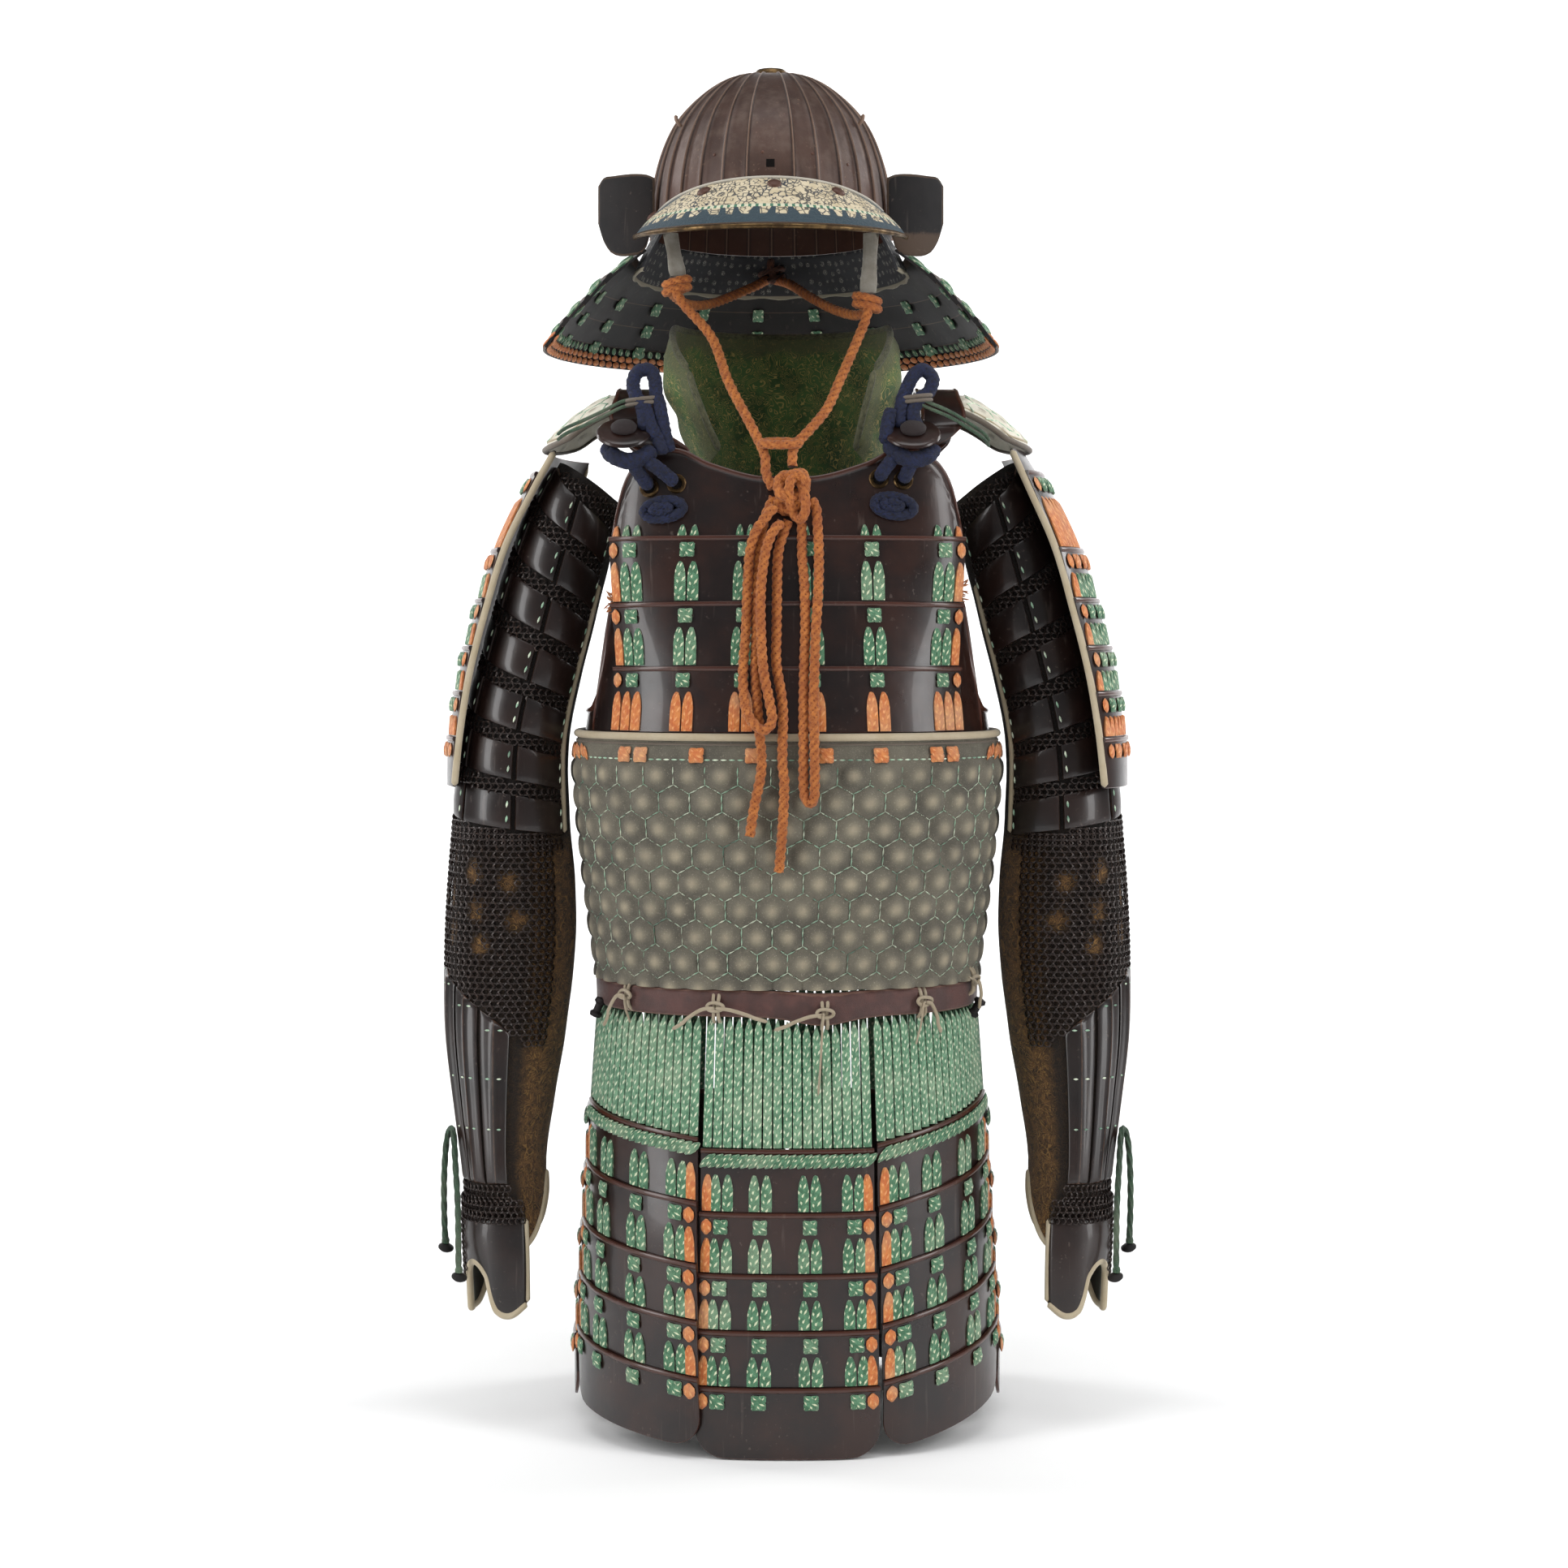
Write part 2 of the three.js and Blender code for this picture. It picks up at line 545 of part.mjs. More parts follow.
add("chest_plate", topPlate(0, CHEST_TOP), LACQUER, 0.25);
CHEST_RIMS.forEach((rim, i) => {
  const end = i < 2 ? CHEST_RIMS[i + 1] - LAP : CHEST_END;
  add(`chest_lame_${i + 1}`, chestLame(rim, end), LACQUER, 0.25);
});
add("back_plate", topPlate(torso.girth / 2, BACK_TOP), LACQUER, 0.25);
add("back_lames", backLames(), LACQUER, 0.25);
add("side_plate_left", sidePlate(), LACQUER, 0.25);
add("side_plate_right", mirrored(sidePlate()), LACQUER, 0.25);

// Quilted leather of the belly: a piped top edge, a plain strip, then rows of domed hexagons
function belly(centre, quilted) {
  const half = torso.girth / 4 - SEAM / 2;
  const pitch = (BELLY_END - HEX_TOP) / (2 * HEX_ROWS + 1);
  const sectionAt = (s, i) => {
    const rows = [[BELLY_TOP, 0, 4.6], [BELLY_TOP - PIPING / 2, null, PIPING + 1], [BELLY_TOP - PIPING, null, 4],
      [HEX_TOP, 0, 4]];
    for (let k = 1; k <= 2 * HEX_ROWS; k++) {
      const domed = k % 2 === 1 && (i + (k - 1) / 2) % 2 === 0;
      const inner = k === HEX_ROWS ? 0 : null;
      if (quilted) rows.push([HEX_TOP + k * pitch, inner, domed ? 4 + HEX_DOME : 3.6]);
      else if (k % HEX_ROWS === 4) rows.push([HEX_TOP + k * pitch, k === 4 ? 0 : null, 4 + HEX_DOME / 2]);
    }
    rows.push([BELLY_END, 0, 3.6]);
    return section(rows);
  };
  const spans = quilted ? HEX_ACROSS : HEX_ACROSS / 2;
  return wall((s, z) => torso(centre + s, z), stations(-half, half, spans), sectionAt);
}

add("belly_front", belly(0, true), HEX_LEATHER, 0.8);
add("belly_back", belly(torso.girth / 2, false), HEX_LEATHER, 0.8);

// Waist belt that carries the skirt; it sags a little right of the middle of the front
function beltSag(s) {
  const away = ((s + torso.girth / 2) % torso.girth) - torso.girth / 2 - 30;
  return BELT_SAG * Math.exp(-((away / 30) ** 2));
}

function waistBelt() {
  const sectionAt = (s) => section([[BELT_TOP - beltSag(s), 0, 5], [BELT_END - beltSag(s), 0, 5]]);
  return wall(torso, around(torso, 36), sectionAt, true);
}

add("waist_belt", waistBelt(), BELT_LEATHER, 0.6);

// The seven hanging panels of the skirt, from the middle of the front round to the right: how far down each
// one's top edge starts, how that edge tilts, and how its foot swings and lifts over its neighbour
const PANELS = [
  { name: "front", top: -602, tilt: 0, swing: 0, lift: 0 },
  { name: "front_right", top: -584, tilt: 29, swing: 0, lift: 0 },
  { name: "side_right", top: -586, tilt: 0, swing: 0, lift: 0 },
  { name: "back_right", top: -596, tilt: 0, swing: 0, lift: 0 },
  { name: "back_left", top: -596, tilt: 0, swing: 0, lift: 0 },
  { name: "side_left", top: -586, tilt: 0, swing: 0, lift: 0 },
  { name: "front_left", top: -585, tilt: -18, swing: 9, lift: 7.5 },
];
const PANEL_WIDE = skirt.girth / TASSETS - TASSET_GAP;

function panelForm(panel, index) {
  const centre = (skirt.girth * index) / TASSETS;
  return (c, t) => {
    const across = c / PANEL_WIDE;
    const foot = Math.min(1, Math.max(0, t / TASSET_LENGTH));
    const clear = panel.lift * Math.min(1, 3 * foot);
    const inner = Math.min(1, Math.max(0, across * Math.sign(panel.swing) + 0.5));
    const z = panel.top + panel.tilt * across - t;
    return raised(skirt, centre + c + panel.swing * foot, z, clear * inner);
  };
}

function tasset(panel, index) {
  const rows = stackRows(TASSET_RIMS, TASSET_LENGTH, STEP);
  if (panel.lift > 0) rows[3][1] = 0; // so that the back of a lifted panel bends where its front does
  const half = PANEL_WIDE / 2;
  const sectionAt = (c) => {
    const corner = Math.max(0, Math.abs(c) - half + TASSET_CORNER) / TASSET_CORNER;
    const shorter = TASSET_CORNER * (1 - Math.sqrt(Math.max(0, 1 - corner ** 2)));
    // The heights are negative because t runs down the panel, which turns its normal inwards
    return section(rows.map(([t, inner, outer]) => [Math.min(t, TASSET_LENGTH - shorter), inner && -inner, -outer]));
  };
  const edge = [half, half - 3, half - 10];
  const places = [...edge.map((c) => -c), -36, 0, 36, ...edge.reverse()];
  return wall(panelForm(panel, index), places, sectionAt);
}

// The green laces that carry a tasset, side by side from the belt down
function lacePanel(panel, index) {
  const centre = (skirt.girth * index) / TASSETS;
  const half = PANEL_WIDE / 2 - 1.5;
  const low = (c) => panel.top + (panel.tilt * c) / PANEL_WIDE + SEAM;
  const sectionAt = (c, i) => {
    const relief = i % 2 === 1 ? LACE_RELIEF : 0.4;
    const top = BELT_END - HANG - 1.25 * beltSag(centre + c);
    return section([[top, 0, 1.6 + relief], [low(c), 0, 1.6 + relief]]);
  };
  return wall((c, z) => skirt(centre + c, z), stations(-half, half, 2 * LACES), sectionAt);
}

PANELS.forEach((panel, index) => {
  add(`laces_${panel.name}`, lacePanel(panel, index), GREEN_LACE, 0.8);
  add(`tasset_${panel.name}`, tasset(panel, index), LACQUER, 0.25);
});

// Shoulder straps: from the outside of the back plate over the shoulder to the outside of the chest plate
function shoulderStrap() {
  const half = 18;
  const height = PLATE + 2.6;
  const form = (s, t) => {
    const front = [[-110, -46], [-111, -34]].map(([at, z]) => raised(torso, at + s * 0.9, z, height));
    const back = [[111, -34], [110, -46]].map(([at, z]) => raised(torso, torso.girth / 2 + at - s * 0.9, z, height));
    const over = [[-101, -12], [-56, 15], [0, 25], [54, 17], [104, -12]].map(([y, z]) => new Vector3(-127 + s, y, z));
    const curve = new THREE.CatmullRomCurve3([...front, ...over, ...back]);
    return curve.getPoint(Math.min(1, Math.max(0, t / 100)));
  };
  const rows = [2, 8, 14, 20, 28, 39, 50, 61, 72, 80, 86, 92, 98].map((t) => [t, 0, 3]);
  return wall(form, stations(-half, half, 4), () => section(rows));
}

// Quilted wing that hangs from the strap over the point of the shoulder
function shoulderWing() {
  const form = (y, t) => {
    const reach = (t / 100) * (24 + 40 * Math.sqrt(Math.max(0, 1 - ((y + 4) / 62) ** 2)));
    const z = 20.7 - 0.0052 * (y + 4) ** 2 - reach * 0.338 - 0.0062 * reach ** 2;
    return new Vector3(-143.5 - reach, y, z);
  };
  const rows = [0, 25, 50, 75, 100].map((t) => [t, 0, 1.6 + 4.4 * Math.sqrt(Math.max(0.02, 1 - (t / 50 - 1) ** 2))]);
  return wall(form, stations(-62, 54, 10), () => section(rows));
}

// Lacquered toggle button with a domed face
function toggle(x, y, z, lean) {
  const profile = [[0, -2], [14, -2], [22, 0], [23, 2], [21, 4], [8, 5.5], [0, 6]];
  const disc = new THREE.LatheGeometry(profile.map(([r, h]) => new Vector2(r, h)), 16);
  return disc.rotateX(Math.PI / 2 + lean).translate(x, y, z);
}

add("shoulder_strap_left", shoulderStrap(), LACQUER, 0.3);
add("shoulder_strap_right", mirrored(shoulderStrap()), LACQUER, 0.3);
add("shoulder_wing_left", shoulderWing(), PALE_LEATHER, 0.8);
add("shoulder_wing_right", mirrored(shoulderWing()), PALE_LEATHER, 0.8);
add("toggle_left", toggle(-134, -116.6, -20, 0.6), LACQUER, 0.3);
add("toggle_right", toggle(103, -118, -21, 0.6), LACQUER, 0.3);

// Shoulder guard: a top plate and five lames round the outside of the arm, turned by yaw towards the front
function shoulderGuard(yaw, front, back) {
  const form = ringForm(SHOULDER_GUARD, { a: 60, b: 104 }, 2, -Math.PI / 2 + yaw);
  const rims = [-48, -112, -154, -194, -232, -270];
  const rows = [[-28, 0, PLATE], [-47.5, null, PLATE], ...stackRows(rims, -312, STEP).map(([z, , h], i) => (
    [z, i === 3 || i === 7 || i === 11 ? 0 : null, h]))];
  return wall(form, stations(-back, front, 10), () => section(rows));
}

add("shoulder_guard_left", shoulderGuard(0, 62, 112), LACQUER, 0.3);
add("shoulder_guard_right", mirrored(shoulderGuard(0.2, 72, 100)), LACQUER, 0.3);

// Sleeve: a cloth tube, with plates and mail laced on to the outside of the upper arm and ridged splints
// on the forearm; s is 0 on the outside of the arm and grows towards the front
const MAIL_EDGE = [
  { s: -130, z: -470 }, { s: -60, z: -458 }, { s: 0, z: -462 }, { s: 50, z: -492 }, { s: 96, z: -532 },
];
const mailEdge = (s) => column(MAIL_EDGE, "s", "z", s);
const SLEEVE_TOP = -62;
const HAND_TOP = -664;

function clothTube() {
  const rows = [SLEEVE_TOP, -161, -266, -336, -455, -560, -630, -664, -700].map((z) => [z, -CLOTH, CLOTH]);
  return wall(arm, around(arm, 16), () => section(rows), true);
}

function upperSleeve() {
  const top = SLEEVE_TOP - 6;
  const pitch = 47;
  const sectionAt = (s) => {
    const plates = [0, 1, 2, 3, 4, 5].flatMap((i) => {
      const z = top - pitch * i - s * 0.1;
      return [[z, OVER_CLOTH, OVER_CLOTH + 3.4], [z - 34, null, OVER_CLOTH + 3.4],
        [z - 36, null, OVER_CLOTH + 1.6]];
    });
    const mail = [-352, -405].map((z) => [z - s * 0.1, OVER_CLOTH, OVER_CLOTH + 2]);
    return section([...plates, ...mail, [mailEdge(s), OVER_CLOTH, OVER_CLOTH + 2]]);
  };
  return wall(arm, stations(-100, 90, 12), sectionAt);
}

function splintGuard() {
  const sectionAt = (s, i) => {
    const ridge = OVER_CLOTH + (i % 2 === 1 ? 1.6 + SPLINT_RELIEF : 1.6);
    const top = mailEdge(s) - 1;
    return section([[top, OVER_CLOTH, ridge], [-560, OVER_CLOTH, ridge], [-630, OVER_CLOTH, ridge],
      [-644, OVER_CLOTH, ridge]]);
  };
  return wall(arm, stations(-90, 80, 2 * SPLINTS), sectionAt);
}

// Hand guard: a domed plate that ends in two prongs with an arched gap between them
function handGuard() {
  const foot = [
    { s: -48, z: -724 }, { s: -28, z: -748 }, { s: -10, z: -752 }, { s: 6, z: -748 }, { s: 11, z: -724 },
    { s: 24, z: -712 }, { s: 40, z: -711 }, { s: 53, z: -724 }, { s: 58, z: -744 }, { s: 74, z: -752 }, { s: 94, z: -742 },
  ];
  const sectionAt = (s) => {
    const low = column(foot, "s", "z", s);
    return section([[HAND_TOP, OVER_CLOTH, OVER_CLOTH + 2], [(HAND_TOP + low) / 2, OVER_CLOTH, OVER_CLOTH + 4],
      [low, OVER_CLOTH, OVER_CLOTH + 2]]);
  };
  return wall(arm, foot.map((row) => row.s), sectionAt);
}

// Wrist cord: from the toggle at one end up to its anchor on the outside of the wrist and down to the other
const WRIST_CORD_LEFT = [
  [-290, -40, -698], [-291, -40, -670], [-291, -39, -640], [-289, -38, -612], [-285, -40, -602],
  [-281.9, -48.6, -607], [-279.4, -57.4, -630], [-276.4, -65.6, -665], [-275, -72, -716],
];

const sleevePieces = [
  ["sleeve_cloth", clothTube(), SLEEVE_CLOTH, 0.9],
  ["sleeve_upper", upperSleeve(), MAIL, 0.6],
  ["forearm_splints", splintGuard(), LACQUER, 0.3],
  ["hand_guard", handGuard(), LACQUER, 0.3],
];
for (const [name, geometry, colour, roughness] of sleevePieces) {
  add(`${name}_left`, geometry, colour, roughness);
  add(`${name}_right`, mirrored(geometry), colour, roughness);
}
add("wrist_cord_left", cord(WRIST_CORD_LEFT, WRIST_CORD, 8), GREEN_LACE, 0.8);
add("wrist_cord_right", cord(WRIST_CORD_LEFT.map(([x, y, z]) => [-x, y, z]), WRIST_CORD, 8), GREEN_LACE, 0.8);

export default group;
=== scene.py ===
"""Lamellar armour in its worn pose, with no wearer: the looks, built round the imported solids.

Places on a form are (s, z) in millimetres, as in the part's source: s runs along the ring from the form's
zero direction and z is the height. Cord routes, the camera and the lights are in metres.
"""

import math

import bpy
import numpy as np
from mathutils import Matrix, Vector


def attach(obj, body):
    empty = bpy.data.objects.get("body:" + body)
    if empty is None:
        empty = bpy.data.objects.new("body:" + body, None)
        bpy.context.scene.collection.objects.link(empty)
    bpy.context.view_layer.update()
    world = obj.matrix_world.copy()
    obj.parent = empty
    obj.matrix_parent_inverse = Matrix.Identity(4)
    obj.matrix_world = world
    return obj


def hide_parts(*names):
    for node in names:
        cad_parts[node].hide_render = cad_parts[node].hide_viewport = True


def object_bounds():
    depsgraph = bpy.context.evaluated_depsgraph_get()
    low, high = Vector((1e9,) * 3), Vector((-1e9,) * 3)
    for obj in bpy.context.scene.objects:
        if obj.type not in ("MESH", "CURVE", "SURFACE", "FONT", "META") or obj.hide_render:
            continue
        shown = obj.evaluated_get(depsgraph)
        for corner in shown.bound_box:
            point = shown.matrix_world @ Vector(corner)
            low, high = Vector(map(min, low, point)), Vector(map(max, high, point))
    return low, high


bl_info = {
    "name": "Lamellar armour",
    "version": (1, 0, 0),
    "blender": (4, 5, 0),
    "location": "3D View > Sidebar > Armour",
    "description": "Builds a laced plate armour with its helmet, skirt and sleeves",
    "category": "Object",
}

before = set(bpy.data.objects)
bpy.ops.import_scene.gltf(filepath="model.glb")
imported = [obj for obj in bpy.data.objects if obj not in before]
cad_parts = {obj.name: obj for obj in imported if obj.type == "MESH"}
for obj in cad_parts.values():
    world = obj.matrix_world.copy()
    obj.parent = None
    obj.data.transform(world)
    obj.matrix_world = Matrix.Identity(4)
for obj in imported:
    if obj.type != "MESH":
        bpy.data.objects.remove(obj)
CAD_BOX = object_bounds()

MM = 0.001
BODY = "root"
RANDOM = np.random.default_rng(11)

PLATE = 2.4
STEP = 3.4
LIP = 1.4
LAP = 8
HELMET_X = -14
HELMET_Y = 4
RIBS = 30
RIB_HEIGHT = 2.4
FRONT_PLATE = 40
CHEST_HALF = 150
CHEST_RIMS = [-103, -157, -210]
CHEST_END = -264
BELLY_TOP = -264.4
BELLY_END = -473.6
HEX_TOP = -294
BELT_TOP = -474
BELT_END = -496
TASSETS = 7
TASSET_GAP = 3
TASSET_RIMS = [0, 51, 100, 145, 190]
TASSET_LENGTH = 247
TASSET_CORNER = 24
GUARD_RIMS = [-48, -112, -154, -194, -232, -270]
GUARD_END = -312
NECK_RIMS = [139, 119, 101, 83]
NECK_END = 60
LACE_SIDES = 6
CLOTH = 1
OVER_CLOTH = 2.4
SLEEVE_TOP = -62
HAND_TOP = -664
SPLINTS = 7

# Level rings of each hollow form: z, middle x and y, half width and half depth of the inner face
TORSO = [
    (-24, 0, 0, 142, 111), (-60, 0, 0, 150, 116), (-100, 0, 0, 156, 121), (-160, 0, 0, 162, 127),
    (-215, 0, 0, 168, 133), (-265, 0, 0, 175, 138), (-290, 0, 0, 179, 140), (-385, 0, 0, 170, 138),
    (-475, 0, 0, 159, 129), (-500, 0, 0, 158, 128),
]
SKIRT = [
    (-497, 0, 0, 159, 130), (-600, 0, 0, 166, 138), (-700, 0, 0, 172, 146), (-800, 0, 0, 178, 153),
    (-860, 0, 0, 181, 157),
]
BOWL = [
    (298, HELMET_X, 4, 15, 16), (294, HELMET_X, 4, 34, 38), (287, HELMET_X, 4, 48, 54),
    (273, HELMET_X, 4, 65, 73), (252, HELMET_X, 4, 82, 93), (224, HELMET_X, 4, 94, 107),
    (196, HELMET_X, 4, 100, 115), (158, HELMET_X, 4, 103, 118),
]
LINING_BAND = [
    (158, HELMET_X, 4, 100, 115), (140, HELMET_X, 4, 110, 124), (122, HELMET_X, 4, 118, 133),
]
NECK_GUARD = [
    (141, HELMET_X, 4, 110.6, 124.8), (118, HELMET_X, 4, 143, 149), (100, HELMET_X, 4, 160, 166),
    (82, HELMET_X, 4, 177, 182), (60, HELMET_X, 4, 195, 199),
]
COLLAR = [
    (86, -5, 14, 92, 84), (40, -5, 8, 98, 84), (0, -3, 4, 88, 84), (-30, 0, 12.4, 80, 88),
    (-64, 0, 20.5, 76, 94),
]
ARM = [
    (-30, -167, 4, 25, 36), (-50, -174, 4, 30, 40), (-75, -182, 4, 36, 46), (-110, -192, 3, 40, 50),
    (-161, -206, 2, 42, 51),
    (-266, -231, -2, 43, 50), (-336, -235, -6, 47, 50), (-400, -235, -9, 52, 49),
    (-455, -236, -12, 53, 48), (-520, -239, -18, 49, 46), (-580, -240, -26, 40, 41),
    (-630, -239, -34, 33, 37), (-660, -236, -38, 33, 35), (-700, -234, -42, 33, 33), (-760, -232, -48, 31,
                                                                                      31),
]
SHOULDER_GUARD = [
    (-26, -167.1, 16, 34, 96), (-60, -175.1, 14, 47, 100), (-110, -191.1, 12, 57, 104),
    (-160, -203.1, 10, 61, 106), (-215, -216.1, 8, 62, 106), (-265, -225.1, 8, 61, 106),
    (-315, -231.1, 8, 60, 106),
]
CHEST_TOP = [
    (0, -54), (30, -53), (72, -42), (96, -31), (116, -31), (135, -42), (144, -58), (148, -78),
    (CHEST_HALF, -96),
]
BACK_TOP = [(0, -30), (60, -28), (96, -26), (118, -30), (138, -50), (146, -74), (CHEST_HALF, -92)]
MAIL_EDGE = [(-130, -470), (-60, -458), (0, -462), (50, -492), (96, -532)]
HAND_FOOT = [
    (-48, -724), (-28, -748), (-10, -752), (6, -748), (11, -724), (24, -712), (40, -711), (53, -724),
    (58, -744), (74, -752), (94, -742),
]
# Hanging panels of the skirt: name, top, tilt, swing and lift of the foot
PANELS = [
    ("front", -602, 0, 0, 0), ("front_right", -584, 29, 0, 0), ("side_right", -586, 0, 0, 0),
    ("back_right", -596, 0, 0, 0), ("back_left", -596, 0, 0, 0), ("side_left", -586, 0, 0, 0),
    ("front_left", -585, -18, 9, 7.5),
]


def column(rows, index, place):
    """Smooth value of one column of a table, at places in its first column."""
    ends = np.array([row[0] for row in rows], float)
    values = np.array([row[index] for row in rows], float)
    place = np.asarray(place, float)
    if ends[0] > ends[-1]:
        ends, place = -ends, -place
    place = np.clip(place, ends[0], ends[-1])
    last = len(ends) - 1
    before = np.maximum(np.arange(last + 1) - 1, 0)
    after = np.minimum(np.arange(last + 1) + 1, last)
    slope = (values[after] - values[before]) / (ends[after] - ends[before])
    i = np.clip(np.searchsorted(ends, place, side="right") - 1, 0, last - 1)
    span = ends[i + 1] - ends[i]
    t = (place - ends[i]) / span
    rise = values[i + 1] - values[i]
    start, end = slope[i] * span, slope[i + 1] * span
    return values[i] + t * (start + t * (3 * rise - 2 * start - end + t * (start + end - 2 * rise)))


class RingForm:
    """A hollow form made of level rings, whose places are (s, z)."""

    def __init__(self, rows, gauge, power=2.0, zero=0.0):
        self.rows = rows
        self.power = power
        self.angles = zero + np.linspace(0, 2 * math.pi, 721)
        ring = self.spot(self.angles, *gauge)
        steps = np.linalg.norm(np.diff(ring, axis=0), axis=1)
        self.lengths = np.concatenate([[0], np.cumsum(steps)])
        self.girth = self.lengths[-1]

    def spot(self, angle, a, b):
        sine, cosine = np.sin(angle), np.cos(angle)
        reach = (np.abs(sine) ** self.power + np.abs(cosine) ** self.power) ** (-1 / self.power)
        return np.stack([a * reach * sine, -b * reach * cosine], -1)

    def __call__(self, s, z):
        s, z = np.broadcast_arrays(np.asarray(s, float), np.asarray(z, float))
        angle = np.interp(np.mod(s, self.girth), self.lengths, self.angles)
        x, y, a, b = (column(self.rows, k, z) for k in (1, 2, 3, 4))
        flat = self.spot(angle, a, b)
        return np.stack([x + flat[..., 0], y + flat[..., 1], z], -1)

    def s_at(self, x, z):
        """Place along the front of the ring of height z whose sideways coordinate is x."""
        s = np.linspace(-self.girth * 0.24, self.girth * 0.24, 400)
        found = self(s, z)[:, 0]
        order = np.argsort(found)
        return float(np.interp(x, found[order], s[order]))


def raised(form, s, t, h):
    """The point that stands h off a form at the place (s, t)."""
    nudge = 0.5
    across = form(s + nudge, t) - form(s - nudge, t)
    along = form(s, t + nudge) - form(s, t - nudge)
    normal = np.cross(across, along)
    normal /= np.maximum(np.linalg.norm(normal, axis=-1, keepdims=True), 1e-9)
    return form(s, t) + normal * np.asarray(h, float)[..., None]


TORSO_FORM = RingForm(TORSO, (168, 132), 2.4)
SKIRT_FORM = RingForm(SKIRT, (170, 142), 2.4)
BOWL_FORM = RingForm(BOWL, (103, 118))
BAND_FORM = RingForm(LINING_BAND, (110, 124), zero=math.pi)
NECK_FORM = RingForm(NECK_GUARD, (155, 160), zero=math.pi)
COLLAR_FORM = RingForm(COLLAR, (92, 84), zero=math.pi)
ARM_FORM = RingForm(ARM, (44, 50), zero=-math.pi / 2)
PANEL_WIDE = SKIRT_FORM.girth / TASSETS - TASSET_GAP


